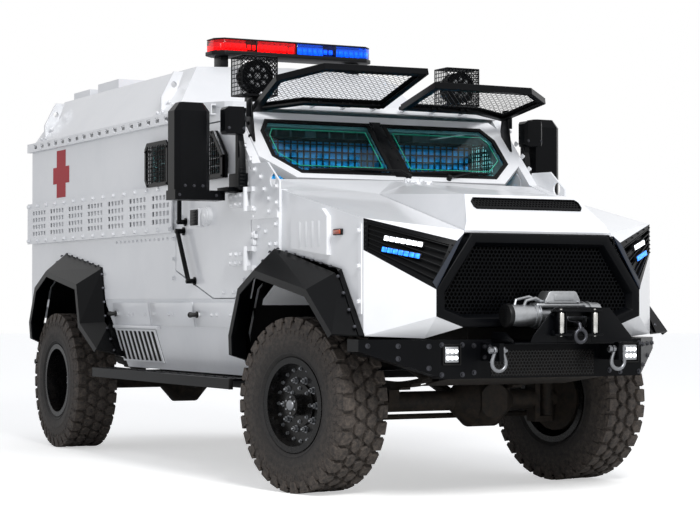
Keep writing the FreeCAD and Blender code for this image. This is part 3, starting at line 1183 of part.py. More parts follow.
def make_light_bar():
    """The beacon bar: base, two long lenses with rounded ends, and its feet."""
    half, y = 630, 2230
    z0, z1 = 2866, 2985
    base = lozenge(half, y, z0, z0 + 30, 0)
    lens = lozenge(half, y, z0 + 30, z1, 8)
    shell = front_prism(roof_section(0), y - 60, y + 120)
    feet = [box(side * 520 - 30, side * 520 + 30, y - 30, y + 90, 2700, z0 + 1).cut(shell)
            for side in (1, -1)]
    return fused([base, lens] + feet)


def make_spotlight():
    """A round searchlight in a wire cage, on the cab roof's corner."""
    x, y, z = 765, 1180, 2600
    lamp = fused([rod(vec(x, y - 70, z), vec(x, y + 20, z), 105),
                  rod(vec(x, y + 19, z), vec(x, y + 70, z), 60)])
    foot = box(x - 60, x + 60, y - 40, y + 60, 2432, z - 45)
    bars = []
    for offset in (-90, 0, 90):
        bars.append(box(x + offset - 5, x + offset + 5, y - 110, y - 100, z - 125, z + 125))
        bars.append(box(x - 125, x + 125, y - 110, y - 100, z + offset - 5, z + offset + 5))
    rims = box(x - 130, x + 130, y - 112, y - 98, z - 130, z + 130).cut(
        box(x - 118, x + 118, y - 120, y - 90, z - 118, z + 118))
    stays = [box(x + sx * 118 - 6, x + sx * 118 + 6, y - 100, y + 60, z + sz * 118 - 6, z + sz * 118 + 6)
             for sx in (1, -1) for sz in (1, -1)]
    back = box(x - 124, x + 124, y + 50, y + 62, z - 124, z + 124)
    return fused([lamp, foot, rims, back] + bars + stays)


# ---------------------------------------------------------------- cab
def make_seat():
    """Left front seat on its pedestal."""
    x0, x1 = 300, 780
    cushion = box(x0, x1, 1150, 1620, 1420, 1540)
    back = side_prism(((1560, 1539), (1680, 1539), (1800, 2080), (1700, 2080)), x0, x1)
    head = side_prism(((1712, 2079), (1798, 2079), (1830, 2240), (1750, 2240)), x0 + 110, x1 - 110)
    pedestal = box(x0 + 60, x1 - 60, 1200, 1570, FLOOR_TOP + SEAM, 1421)
    return fused([cushion, back, head, pedestal])


def make_dashboard():
    """Dashboard across the cab, with the steering wheel on its column at the left."""
    inner = BODY_HALF - WALL - 60
    dash = side_prism(((BODY_FRONT_Y + 90 + SEAM, 1560), (BODY_FRONT_Y + 90 + SEAM, 1790), (560, 1840), (700, 1790),
                       (700, 1640), (620, 1560)), -inner, inner)
    column = rod(vec(540, 640, 1680), vec(540, 905, 1795), 34)
    axis = vec(0, 905 - 640, 1795 - 1680).normalize()
    wheel = Part.makeCylinder(222, 30, vec(540, 905, 1795) - axis * 15, axis)
    wheel = wheel.cut(Part.makeCylinder(190, 60, vec(540, 905, 1795) - axis * 30, axis))
    spokes = [turned(box(540 - 200, 540 + 200, 905 - 8, 905 + 8, 1795 - 14, 1795 + 14), angle,
                     vec(540, 905, 1795), axis) for angle in (0, 90)]
    return fused([dash, column, wheel] + spokes)


# ---------------------------------------------------------------- doors, mirrors, guards
def make_door():
    """Left cab door: a thick leaf with its window, hinges, grab bars and window guard."""
    leaf = side_prism(DOOR_OUTLINE, BODY_HALF - WALL, BODY_HALF)
    leaf = leaf.cut(side_prism(DOOR_WINDOW, 0, 2000))
    hinges = []
    for z in DOOR_HINGES_Z:
        hinges.append(rod(vec(DOOR_HINGE_X, DOOR_HINGE_Y, z - HINGE_HALF),
                          vec(DOOR_HINGE_X, DOOR_HINGE_Y, z + HINGE_HALF), HINGE_BARREL))
        hinges.append(box(BODY_HALF - 1, DOOR_HINGE_X, DOOR_HINGE_Y, 930, z - HINGE_HALF, z + HINGE_HALF))
    bars = []
    out = BODY_HALF + GRAB_BAR_OUT
    for (ya, za), (yb, zb) in GRAB_BARS:
        bars.append(rod(vec(out, ya, za), vec(out, yb, zb), GRAB_BAR_RADIUS))
        for y, z in ((ya, za), (yb, zb)):
            bars.append(rod(vec(BODY_HALF - 1, y, z), vec(out, y, z), GRAB_BAR_RADIUS))
    handle = box(BODY_HALF - 1, BODY_HALF + 40, 1390, 1530, 1625, 1745)
    disc = rod(vec(BODY_HALF - 1, 1310, 1690), vec(BODY_HALF + 30, 1310, 1690), 62)
    outline = side_prism(WINDOW_GUARD, BODY_HALF + 30, BODY_HALF + 44)
    opening = side_prism(WINDOW_GUARD_HOLE, 0, 2 * BODY_HALF)
    wires = [box(BODY_HALF + 32, BODY_HALF + 42, 1000, 1820, z - 4, z + 4) for z in WINDOW_GUARD_BARS_Z]
    wires += [box(BODY_HALF + 32, BODY_HALF + 42, y - 4, y + 4, 1940, 2220) for y in range(1200, 1801, 100)]
    guard = fused([outline.cut(opening)] + wires)
    guard = guard.common(side_prism(WINDOW_GUARD, 0, 2 * BODY_HALF))
    studs = [box(BODY_HALF - 1, BODY_HALF + 31, y - 12, y + 12, z - 12, z + 12)
             for y, z in WINDOW_GUARD_STUDS]
    return fused([leaf, handle, disc, guard] + hinges + bars + studs)


def make_door_glass():
    return side_prism(inset(list(DOOR_WINDOW), SEAM), BODY_HALF - WALL + 8, BODY_HALF - 8)


def make_side_glass():
    """The pane of the box's front side window, held in the left wall."""
    return side_prism(inset(list(REAR_WINDOW), SEAM), BODY_HALF - WALL + 8, BODY_HALF - 8)


def make_mirror():
    """Left mirror: a tall housing on a tray arm, with a wide-angle head above the arm's root."""
    head = plan_prism(MIRROR_PLAN, MIRROR_LOW_Z, MIRROR_SHOULDER_Z)
    rings = [Part.makePolygon([vec(x, y, z) for x, y in plan + plan[:1]])
             for plan, z in ((MIRROR_PLAN, MIRROR_SHOULDER_Z), (MIRROR_CAP, MIRROR_TOP_Z))]
    top = Part.makeLoft(rings, True, True)
    glass_recess = box(MIRROR_IN + 15, MIRROR_OUT - 15, 1000, 1030, 1850, 2310)
    head = fused([head, top]).cut(glass_recess)
    tray = fused([box(MIRROR_IN - 90, MIRROR_OUT + 10, 865, 1015, 1770, 1831),
                  box(BODY_HALF + 20, MIRROR_IN - 60, 760, 920, 1819, 1850)])
    root = box(BODY_HALF + SEAM, BODY_HALF + 60, 690, 850, 1835, 1935)
    tray_root = box(BODY_HALF + SEAM, BODY_HALF + 40, 740, 900, 1819, 1850)
    post = box(BODY_HALF + 20, BODY_HALF + 56, 720, 760, 1930, 2200)
    small = box(BODY_HALF + 10, BODY_HALF + 150, 690, 800, 2180, 2350)
    square = [edge for edge in small.Edges if edge.Vertexes[0].X == edge.Vertexes[-1].X]
    small = small.makeChamfer(18, square)
    return fused([head, tray, root, tray_root, post, small])


def guard_slab(outline, low, high):
    """A solid lying level forward of the guard's hinge, from low to high above it: x, reach."""
    points = [vec(x, GUARD_HINGE_Y - reach, GUARD_HINGE_Z + low) for x, reach in outline]
    return polygon(points).extrude(vec(0, 0, high - low))


def make_guard(raised):
    """Left windscreen guard about its hinge: channel frame and woven wire, raised as given."""
    y, z = GUARD_HINGE_Y, GUARD_HINGE_Z
    frame = guard_slab(GUARD_OUTLINE, -GUARD_FRAME + 18, 18)
    frame = frame.cut(guard_slab(inset(GUARD_OUTLINE, GUARD_FRAME), -100, 100))
    wires = [box(x - 3, x + 3, y - 600, y + 200, z - 6, z) for x in range(90, 960, GUARD_WIRE_PITCH)]
    wires += [box(0, 1000, y - reach - 3, y - reach + 3, z - 6, z)
              for reach in range(-60, 560, GUARD_WIRE_PITCH)]
    wires = fused(wires).common(guard_slab(inset(GUARD_OUTLINE, GUARD_FRAME - 6), -100, 100))
    spaces, tubes, bores = [], [], []
    for x in GUARD_BRACKETS_X:
        spaces.append(box(x - 26, x + 26, y - 24, y + 60, z - 60, z + 60))
        bores.append(rod(vec(x - 30, y, z), vec(x + 30, y, z), GUARD_PIN + 0.5))
        for side in (1, -1):
            near, far = x + side * 8, x + side * 40
            tubes.append(rod(vec(near, y, z), vec(far, y, z), GUARD_TUBE))
            near, far = sorted((x + side * 9, x + side * 38))
            tubes.append(box(near, far, y - 40, y, z - 10, z + 10))
    shape = fused([frame, wires]).cut(Part.makeCompound(spaces))
    shape = fused([shape] + tubes).cut(Part.makeCompound(bores))
    return turned(shape, -raised, vec(0, y, z), vec(1, 0, 0))


def make_rear_bumper():
    """Rear cross beam with a folding-step ladder and the tow eye."""
    beam = box(90 - BODY_HALF, BODY_HALF - 90, RAIL_REAR_Y + SEAM, RAIL_REAR_Y + 160, 820, 960)
    ladder_rails = [rod(vec(side * 300, RAIL_REAR_Y + 180, 870), vec(side * 300, RAIL_REAR_Y + 250, 470), 19)
                    for side in (1, -1)]
    treads = [box(-300, 300, RAIL_REAR_Y + y - 55, RAIL_REAR_Y + y + 55, z - 12, z + 12)
              for y, z in ((225, 640), (252, 480))]
    arms = [box(side * 300 - 25, side * 300 + 25, RAIL_REAR_Y + 150, RAIL_REAR_Y + 205, 850, 900)
            for side in (1, -1)]
    receiver = box(-50, 50, RAIL_REAR_Y - 150 + 150.6, RAIL_REAR_Y + 240, 700, 800)
    receiver = receiver.cut(box(-26, 26, RAIL_REAR_Y + 20, RAIL_REAR_Y + 300, 724, 776))
    hanger = box(-50, 50, RAIL_REAR_Y + 10, RAIL_REAR_Y + 150, 795, 825)
    steps = []
    for x in CORNER_STEP_X:
        steps.append(rod(vec(x, *CORNER_STEP_TOP), vec(x, *CORNER_STEP_FOOT), CORNER_STEP_RADIUS))
    ends = [vec(x + out, *CORNER_STEP_FOOT) for x, out in zip(CORNER_STEP_X, (-30, 30))]
    steps.append(rod(*ends, CORNER_STEP_RADIUS + 3))
    steps = fused(steps)
    return fused([beam, receiver, hanger, steps, mirrored(steps)] + ladder_rails + treads + arms)


# ---------------------------------------------------------------- assembly
def build():
    nodes = {}
    tyre = make_tyre()
    front_rim, rear_rim = make_rim(FRONT_DISC_X, FRONT_HUB_OUT), make_rim(REAR_DISC_X, REAR_HUB_OUT)
    knuckle = make_knuckle()
    for name, side in (("left", 1), ("right", -1)):
        steer = STEER_AT_REST
        for axle, y, track, rim, turn in (("front", 0, FRONT_TRACK, front_rim, steer),
                                          ("rear", WHEELBASE, REAR_TRACK, rear_rim, 0.0)):
            nodes[f"tyre_{axle}_{name}"] = place_wheel(tyre, side, y, track / 2, turn)
            nodes[f"rim_{axle}_{name}"] = place_wheel(rim, side, y, track / 2, turn)
        shape = knuckle.copy() if side > 0 else mirrored(knuckle)
        nodes[f"knuckle_{name}"] = turned(shape, steer, vec(side * KINGPIN_X, 0, 0), vec(0, 0, 1))
    nodes["tie_rod"] = make_tie_rod()
    nodes["tie_rod"].translate(vec(-STEER_ARM * math.radians(STEER_AT_REST), 0, 0))
    nodes["chassis_frame"] = make_chassis()
    nodes["engine"] = make_engine()
    nodes["driveline"] = make_driveline()
    nodes["front_axle"] = make_front_axle()
    nodes["rear_axle"] = make_rear_axle()
    nodes["floor"] = make_floor()
    nodes["firewall"] = make_firewall()
    nodes["cab_front"] = make_cab_front()
    nodes["windscreen"] = make_windscreen()
    nodes["side_glass"] = both(make_side_glass())
    nodes["cab_roof"] = make_cab_roof()
    nodes["roof"] = make_roof()
    nodes["roof_hatch"] = make_roof_hatch()
    nodes["rear_frame"] = make_rear_frame()
    nodes["cowl"] = make_cowl()
    nodes["partition"] = make_partition()
    nodes["hood"] = make_hood()
    nodes["grille"] = make_grille()
    nodes["front_bumper"] = make_bumper()
    nodes["winch"] = make_winch()
    nodes["shackles"] = both(make_shackle())
    nodes["headlamps"] = both(make_headlamp())
    nodes["side_steps"] = both(make_side_step())
    nodes["side_panels"] = both(make_side_panel())
    nodes["roof_rails"] = both(make_roof_rail())
    nodes["lifting_lugs"] = Part.makeCompound([both(make_lifting_lug(y)) for y in LIFTING_LUGS_Y])
    nodes["light_bar"] = make_light_bar()
    nodes["spotlights"] = both(make_spotlight())
    nodes["seats"] = both(make_seat())
    nodes["dashboard"] = make_dashboard()
    nodes["rear_bumper"] = make_rear_bumper()
    for name, maker in (("side_wall", make_side_wall), ("lower_side", make_lower_side),
                        ("fender", make_fender), ("flares", make_flares), ("door", make_door),
                        ("door_glass", make_door_glass), ("mirror", make_mirror),
                        ("rear_door", make_rear_door)):
        nodes[f"{name}_left"] = maker()
        nodes[f"{name}_right"] = mirrored(nodes[f"{name}_left"])
    nodes["guard_left"] = make_guard(GUARD_RAISED["left"])
    nodes["guard_right"] = mirrored(make_guard(GUARD_RAISED["right"]))
    return nodes


def export(nodes):
    os.makedirs("parts", exist_ok=True)
    for name, shape in nodes.items():
        placed = shape.copy()
        placed.translate(vec(0, FRONT_AXLE_Y, 0))
        placed.exportStep(f"parts/{name}.step")


if __name__ == "__main__":
    export(build())
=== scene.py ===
"""Armoured field ambulance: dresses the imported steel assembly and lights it.

Every size is in millimetres from a datum on the ground below the front axle, as in the part's own
drawing: +X is the vehicle's left, the front faces -Y and +Z is up.  ``at`` turns such a place into
the row frame.  Each sub-assembly is a class that keeps its sizes as fields, builds its pieces with
bmesh operators and dresses the solids that it carries over.
"""
import json
import logging
import math
import random
from dataclasses import dataclass
from enum import Enum
from typing import Callable, Iterable, Mapping, Sequence

import bmesh
import bpy
from mathutils import Matrix, Vector


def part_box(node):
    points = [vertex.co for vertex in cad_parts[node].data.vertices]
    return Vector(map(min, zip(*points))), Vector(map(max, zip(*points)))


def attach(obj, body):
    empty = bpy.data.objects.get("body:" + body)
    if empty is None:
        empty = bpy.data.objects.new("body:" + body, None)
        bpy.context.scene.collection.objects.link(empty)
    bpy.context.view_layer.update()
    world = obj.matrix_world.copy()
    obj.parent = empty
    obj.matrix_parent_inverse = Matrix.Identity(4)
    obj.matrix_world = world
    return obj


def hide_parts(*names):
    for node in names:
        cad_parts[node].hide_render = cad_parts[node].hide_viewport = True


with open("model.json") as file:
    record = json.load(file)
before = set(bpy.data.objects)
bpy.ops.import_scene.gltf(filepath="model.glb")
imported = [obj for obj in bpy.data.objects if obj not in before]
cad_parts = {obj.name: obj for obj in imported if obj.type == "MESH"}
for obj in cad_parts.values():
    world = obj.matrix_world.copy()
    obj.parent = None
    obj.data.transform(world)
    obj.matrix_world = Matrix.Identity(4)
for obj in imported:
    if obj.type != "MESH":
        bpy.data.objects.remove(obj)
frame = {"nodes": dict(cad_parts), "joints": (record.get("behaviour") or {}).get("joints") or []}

log = logging.getLogger("ambulance")

Shape = bmesh.types.BMesh
Tree = bpy.types.NodeTree
Socket = bpy.types.NodeSocket
Pair = tuple[float, float]
Point = tuple[float, float, float]
Outline = Sequence[Pair]

MM = 0.001
UP = Vector((0, 0, 1))
FORWARD = Vector((0, -1, 0))
OUTWARD = Vector((1, 0, 0))    # pieces of a side are drawn on the left
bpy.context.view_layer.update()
STEERING = next(joint for joint in frame["joints"] if joint["name"] == "steering_left")
AXLE_Y = STEERING["pos_m"][1]


class Side(Enum):
    """The vehicle's two sides, as the sign of X."""

    LEFT = 1
    RIGHT = -1

    @property
    def tag(self) -> str:
        """The side's name, as the bodies and nodes end with it."""
        return self.name.lower()


# ---------------------------------------------------------------- places
def at(x: float, y: float, z: float) -> Vector:
    """A place in the row frame, in metres, from millimetres at the front axle's datum."""
    return Vector((x * MM, y * MM + AXLE_Y, z * MM))


def mm(*values: float) -> Vector:
    """A length or direction in metres from millimetres."""
    return Vector([value * MM for value in values])


def facing(origin: Vector, normal: Vector, up: Vector = UP) -> Matrix:
    """A placement on a surface.

    Args:
        origin: The place of the local origin.
        normal: Where the local Z axis points.
        up: Roughly where the local Y axis points.

    Returns:
        The matrix from local to row coordinates.
    """
    z = normal.normalized()
    x = up.cross(z).normalized()
    place = Matrix((x, z.cross(x), z)).transposed().to_4x4()
    place.translation = origin
    return place


# ---------------------------------------------------------------- finishes
def linear(code: str, alpha: float = 1.0) -> tuple[float, float, float, float]:
    """A linear colour from an sRGB hex code.

    Args:
        code: Six hex digits with a leading hash.
        alpha: The fourth channel.

    Returns:
        Red, green, blue and alpha.
    """
    channels = [int(code[i:i + 2], 16) / 255 for i in (1, 3, 5)]
    return (*(c / 12.92 if c <= 0.04045 else ((c + 0.055) / 1.055) ** 2.4 for c in channels), alpha)


def add_node(tree: Tree, kind: str, sockets: Mapping[str | int, object] | None = None,
             **settings: object) -> bpy.types.Node:
    """Adds a node with its settings, values and links.

    Args:
        tree: The node tree that it joins.
        kind: The node's type, without its ShaderNode prefix.
        sockets: A value or an output socket for each input, by name or number.
        settings: Attributes of the node.

    Returns:
        The new node.
    """
    node = tree.nodes.new("ShaderNode" + kind)
    for key, value in settings.items():
        setattr(node, key, value)
    for key, value in (sockets or {}).items():
        if isinstance(value, bpy.types.NodeSocket):
            tree.links.new(value, node.inputs[key])
        else:
            node.inputs[key].default_value = value
    return node


def per_metre(size_mm: float) -> float:
    """A texture's scale for features of a size in millimetres."""
    return 1000.0 / size_mm


def noise(tree: Tree, size_mm: float, detail: float, roughness: float = 0.5) -> Socket:
    """Noise from 0 to 1 with features of a size, in the piece's own coordinates."""
    place = add_node(tree, "TexCoord").outputs["Object"]
    return add_node(tree, "TexNoise", {"Vector": place, "Scale": per_metre(size_mm), "Detail": detail,
                                       "Roughness": roughness}).outputs["Fac"]


def spread(tree: Tree, value: Socket, low: float, high: float, to_low: float = 0.0,
           to_high: float = 1.0) -> Socket:
    """A value's range from low to high, mapped to another and clamped."""
    return add_node(tree, "MapRange", {"Value": value, "From Min": low, "From Max": high,
                                       "To Min": to_low, "To Max": to_high}).outputs[0]


def times(tree: Tree, first: Socket, second: Socket) -> Socket:
    """The product of two values."""
    return add_node(tree, "Math", {0: first, 1: second}, operation="MULTIPLY").outputs[0]


def mix(tree: Tree, share: Socket, first: Socket | str, second: Socket | str) -> Socket:
    """Two colours, each a socket or an sRGB code, mixed by a share."""
    pair = [linear(colour) if isinstance(colour, str) else colour for colour in (first, second)]
    return add_node(tree, "Mix", {0: share, 6: pair[0], 7: pair[1]}, data_type="RGBA").outputs[2]


def bump(tree: Tree, height: Socket, strength: float, distance: float) -> Socket:
    """A normal that follows a height, of a distance in metres."""
    return add_node(tree, "Bump", {"Height": height, "Strength": strength, "Distance": distance}).outputs[0]


def surface(tree: Tree, sockets: Mapping[str, object]) -> None:
    """Ends a tree in a principled surface with these values."""
    shader = add_node(tree, "BsdfPrincipled", sockets)
    add_node(tree, "OutputMaterial", {"Surface": shader.outputs[0]})


@dataclass(frozen=True)
class Finish:
    """A surface as it was made, with what use has left on it."""

    name: str
    colour: str
    roughness: float = 0.5

    def build(self) -> bpy.types.Material:
        """The finish's material, made once.

        Returns:
            The material.
        """
        made = bpy.data.materials.get(self.name)
        if made is None:
            made = bpy.data.materials.new(self.name)
            made.use_nodes = True
            made.node_tree.nodes.clear()
            self.lay(made.node_tree)
            made.diffuse_color = linear(self.colour)
        return made

    def lay(self, tree: Tree) -> None:
        """Lays the finish's nodes in an empty tree."""
        raise NotImplementedError


@dataclass(frozen=True)
class Coating(Finish):
    """A sprayed or stoved coat over steel, its film a little uneven, with road dust low down."""

    shade: str = "#D8DADC"       # the coat where the film is thin or soiled
    cloud_mm: float = 420.0      # size of the soiled patches
    grain_mm: float = 3.0        # pitch of the film's own texture
    grain_depth: float = 0.05
    dust: str = "#9C8B74"
    dust_mm: float = 55.0        # size of the dust's speckles
    dust_low: float = 0.35       # metres above the ground: full dust below here
    dust_top_mm: float = 1500.0  # dust fades out up to here
    dust_share: float = 0.3
    clear: float = 0.0           # strength of a clear coat
    shine: float = 0.5           # how strongly the film mirrors

    def lay(self, tree: Tree) -> None:
        """Lays the coat, its texture and its dust.

        Args:
            tree: The empty node tree.
        """
        clouds = spread(tree, noise(tree, self.cloud_mm, 5.0, 0.6), 0.42, 0.72)
        place = add_node(tree, "TexCoord").outputs["Object"]
        height = add_node(tree, "SeparateXYZ", {"Vector": place}).outputs["Z"]
        low = spread(tree, height, self.dust_low, self.dust_top_mm * MM, self.dust_share, 0.0)
        dusty = times(tree, low, spread(tree, noise(tree, self.dust_mm, 6.0, 0.75), 0.35, 0.7))
        surface(tree, {
            "Base Color": mix(tree, dusty, mix(tree, clouds, self.colour, self.shade), self.dust),
            "Roughness": spread(tree, dusty, 0.0, 0.4, self.roughness, min(self.roughness + 0.35, 0.95)),
            "Normal": bump(tree, noise(tree, self.grain_mm, 2.0), self.grain_depth, 0.001),
            "Coat Weight": self.clear, "Coat Roughness": 0.08, "IOR": 1.5,
            "Specular IOR Level": self.shine})


@dataclass(frozen=True)
class Metal(Finish):
    """Bare or plated metal with fine tooling marks and a thin film of dirt."""

    stain: str = "#3A3632"
    stain_share: float = 0.35
    mark_mm: float = 9.0
    mark_depth: float = 0.12

    def lay(self, tree: Tree) -> None:
        """Lays the metal and its stains.

        Args:
            tree: The empty node tree.
        """
        film = noise(tree, 38.0, 7.0, 0.7)
        share = spread(tree, film, 0.45, 0.75, 0.0, self.stain_share)
        surface(tree, {
            "Base Color": mix(tree, share, self.colour, self.stain), "Metallic": 1.0,
            "Roughness": spread(tree, film, 0.3, 0.8, self.roughness, self.roughness + 0.2),
            "Normal": bump(tree, noise(tree, self.mark_mm, 3.0), self.mark_depth, 0.0006)})


@dataclass(frozen=True)
class Rubber(Finish):
    """Vulcanised rubber about a wheel's middle, dusted brown where it meets the road."""

    middle: Point = (0.0, 0.0, 0.5)
    dust: str = "#8F8175"
    tread_radius: float = 0.5

    def lay(self, tree: Tree) -> None:
        """Lays the rubber and the dust that grows towards the tread.

        Args:
            tree: The empty node tree.
        """
        place = add_node(tree, "TexCoord").outputs["Object"]
        reach = add_node(tree, "VectorMath", {0: place, 1: self.middle},
                         operation="DISTANCE").outputs["Value"]
        road = spread(tree, reach, self.tread_radius - 0.16, self.tread_radius + 0.03, 0.06, 0.42)
        grit = noise(tree, 26.0, 8.0, 0.78)
        share = times(tree, road, spread(tree, grit, 0.34, 0.68))
        surface(tree, {
            "Base Color": mix(tree, share, self.colour, self.dust), "Roughness": self.roughness,
            "Normal": bump(tree, grit, 0.35, 0.002), "Specular IOR Level": 0.3})


@dataclass(frozen=True)
class Glazing(Finish):
    """Clear or tinted glass or moulded polycarbonate, which lets light through to what lies behind."""

    index: float = 1.52

    def lay(self, tree: Tree) -> None:
        """Lays the glass, its smears and its clear shadow.

        Args:
            tree: The empty node tree.
        """
        tint = linear(self.colour)
        deeper = tuple(c * 0.9 for c in tint[:3]) + (1.0,)
        smeared = add_node(tree, "Mix", {0: noise(tree, 160.0, 4.0), 6: tint, 7: deeper}, data_type="RGBA")
        glass = add_node(tree, "BsdfPrincipled",
                         {"Base Color": smeared.outputs[2], "Transmission Weight": 1.0,
                                                  "Roughness": self.roughness, "IOR": self.index})
        clear = add_node(tree, "BsdfTransparent", {"Color": tint})
        shadow = add_node(tree, "LightPath").outputs["Is Shadow Ray"]
        both = add_node(tree, "MixShader", {0: shadow, 1: glass.outputs[0], 2: clear.outputs[0]})
        add_node(tree, "OutputMaterial", {"Surface": both.outputs[0]})


@dataclass(frozen=True)
class Luminous(Finish):
    """Light-emitting diodes under a moulded optic, brighter in the middle of each cell."""

    power: float = 3.0
    cell_mm: float = 30.0
    rest: str = "#202428"        # the reflector between the cells

    def lay(self, tree: Tree) -> None:
        """Lays the lit cells.

        Args:
            tree: The empty node tree.
        """
        place = add_node(tree, "TexCoord").outputs["Object"]
        cells = add_node(tree, "TexVoronoi", {"Vector": place, "Scale": per_metre(self.cell_mm),
                                              "Randomness": 0.25}).outputs["Distance"]
        surface(tree, {
            "Base Color": linear(self.rest), "Roughness": 0.25, "Emission Color": linear(self.colour),
            "Emission Strength": spread(tree, cells, 0.15, 0.75, self.power, self.power * 0.35)})


@dataclass(frozen=True)
class Textile(Finish):
    """Woven polyester, its two yarns crossing at the thread pitch."""

    thread_mm: float = 6.0       # real thread 1 mm: drawn coarser so that it shows
    yarn: str = "#1C2A36"

    def lay(self, tree: Tree) -> None:
        """Lays the weave.

        Args:
            tree: The empty node tree.
        """
        place = add_node(tree, "TexCoord").outputs["Object"]
        warp, weft = (add_node(tree, "TexWave", {"Vector": place, "Scale": per_metre(self.thread_mm) / 6.28,
                                                 "Distortion": 0.6}, wave_type="BANDS",
                               bands_direction=way).outputs["Fac"] for way in "XZ")
        cross = times(tree, warp, weft)
        share = times(tree, cross, noise(tree, 90.0, 4.0))
        surface(tree, {
            "Base Color": mix(tree, share, self.colour, self.yarn), "Roughness": self.roughness,
            "Sheen Weight": 0.3, "Normal": bump(tree, cross, 0.4, 0.0008)})


# Two-pack polyurethane enamel, sprayed over primed armour plate: a glossy, slightly rippled white.
WHITE_ENAMEL = Coating("white_polyurethane_enamel", "#EDEEF0", 0.28, shade="#E3E5E8", cloud_mm=900.0,
                       clear=0.3, grain_mm=9.0, grain_depth=0.03, dust="#B9AD98", dust_share=0.10,
                       dust_top_mm=1050.0)
# The same enamel with a red pigment, masked and sprayed: a flat-edged crimson cross.
RED_ENAMEL = Coating("red_polyurethane_enamel", "#B3001E", 0.4, shade="#A6001B",
                     grain_mm=7.0, grain_depth=0.04, dust_share=0.0, shine=0.12)
# Polyester powder coat, stoved: satin black with a fine pebbled skin.
POWDER_COAT = Coating("black_powder_coat", "#050608", 0.3, shade="#08090C", grain_mm=2.2, grain_depth=0.12,
                      dust="#3A332C", dust_share=0.03, dust_top_mm=1200.0, shine=0.1)
# Chassis black, brushed on over rolled sections: dull and dusty underneath.
CHASSIS_PAINT = Coating("chassis_black_paint", "#0C0C0C", 0.6, shade="#151311", cloud_mm=120.0,
                        grain_mm=5.0, grain_depth=0.3, dust="#5C5044", dust_share=0.4,
                        dust_top_mm=1100.0, shine=0.2)
# Sand-cast iron, painted thin: rough, dark brown-grey.
CAST_IRON = Coating("painted_cast_iron", "#121110", 0.6, shade="#1D1916", cloud_mm=90.0, grain_mm=4.0,
                    grain_depth=0.45, dust="#5C5044", dust_share=0.4, dust_top_mm=1100.0, shine=0.25)
# Wheel enamel, sprayed gloss black over pressed steel.
WHEEL_ENAMEL = Coating("black_wheel_enamel", "#060708", 0.24, shade="#0A0A0D", cloud_mm=150.0, grain_mm=4.0,
                       grain_depth=0.08, dust="#4A4036", dust_share=0.1, dust_top_mm=1050.0, shine=0.3)
# Acrylonitrile butadiene styrene, moulded with a leather grain: matt black trim.
MOULDED_ABS = Coating("moulded_black_abs", "#07080A", 0.42, shade="#0B0C0E", cloud_mm=200.0, grain_mm=1.8,
                      grain_depth=0.25, dust_share=0.02, shine=0.2)
# Gloss acrylic, moulded and polished: dark, its blue a painted reflection of the sky.
ACRYLIC_WITH_PAINTED_REFLECTION = Coating("tinted_gloss_acrylic", "#081424", 0.1, shade="#0B1C30", cloud_mm=200.0,
                        dust_share=0.0, shine=0.7)
# Natural rubber extrusion: dull black seals; the same black also makes the sheets of painted shade in the
# hood's slot and behind the skirt's vent.
SEAL_RUBBER_AND_PAINTED_SHADE = Coating("rubber_seal_and_painted_shade", "#08080A", 0.7, shade="#0F0F10", grain_mm=3.0,
                      grain_depth=0.2, dust_share=0.05, shine=0.15)
# Die-cast aluminium, bead-blasted and lacquered silver: soft even grey.
CAST_ALUMINIUM = Metal("cast_aluminium", "#A9ABAE", 0.34, stain="#5C5A57", mark_mm=3.0)
# Stainless bar, ground and polished: bright rollers and pins.
POLISHED_STEEL = Metal("polished_stainless_steel", "#D5D4D0", 0.16, stain="#6A6560", mark_depth=0.05)
# Zinc-plated steel: small bright glints on the wheel nuts, the winch drum and the shackles.
ZINC_STEEL = Metal("zinc_plated_steel", "#8E9094", 0.3, stain="#4A4540", mark_depth=0.15)
# Forged alloy steel with a dark oxide: bolts and the winch hook.
FORGED_STEEL = Metal("forged_steel", "#4A4B50", 0.36, stain="#2E2A27", mark_mm=5.0, mark_depth=0.3)
# Laminated armour glass, coated against reflection: thick plies that read teal through their depth.
ARMOUR_GLASS = Glazing("laminated_armour_glass", "#B2E3E6", 0.02, index=1.2)
# The same glass seen on its cut edge, where the plies stack up to green.
GLASS_EDGE = Coating("armour_glass_edge", "#1FB893", 0.2, shade="#128A70", cloud_mm=60.0, dust_share=0.0)
# Moulded clear polycarbonate over a lamp.
CLEAR_LENS = Glazing("clear_polycarbonate", "#EEF2F4", 0.03, index=1.3)
RED_LENS = Glazing("red_polycarbonate", "#F01420", 0.08, index=1.3)
BLUE_LENS = Glazing("blue_polycarbonate", "#0F5CF5", 0.08, index=1.3)
AMBER_LENS = Coating("amber_polycarbonate", "#B4420A", 0.2, shade="#7A2404", clear=0.6, dust_share=0.1)
WHITE_LED = Luminous("white_led_cells", "#F6FAFF", 0.3, power=4.0, cell_mm=22.0)
BLUE_LED = Luminous("blue_led_cells", "#1E7BFF", 0.3, power=4.0, cell_mm=22.0)
RED_LED = Luminous("red_led_cells", "#FF1A1A", 0.3, power=4.5, cell_mm=30.0)
# Woven polyester seat cover over foam: dark navy.
SEAT_WEAVE = Textile("woven_polyester_seat_cloth", "#27425C", 0.85)
# Quilted polyester lining behind the seats: strong blue.
BLUE_LINING = Textile("blue_polyester_lining", "#2FA8F5", 0.8, thread_mm=14.0, yarn="#2390DC")
# Nylon webbing, woven flat: black net over the lining.
BLACK_WEBBING = Textile("black_nylon_webbing", "#0E0F12", 0.8, yarn="#1B1C20")


# ---------------------------------------------------------------- making pieces
def dress(node: str, finish: Finish) -> None:
    """Gives a carried-over solid its finish.

    Args:
        node: The solid's name.
        finish: What it is coated with or made of.
    """
    solid = frame["nodes"][node]
    for slot in solid.material_slots:
        slot.material = finish.build()


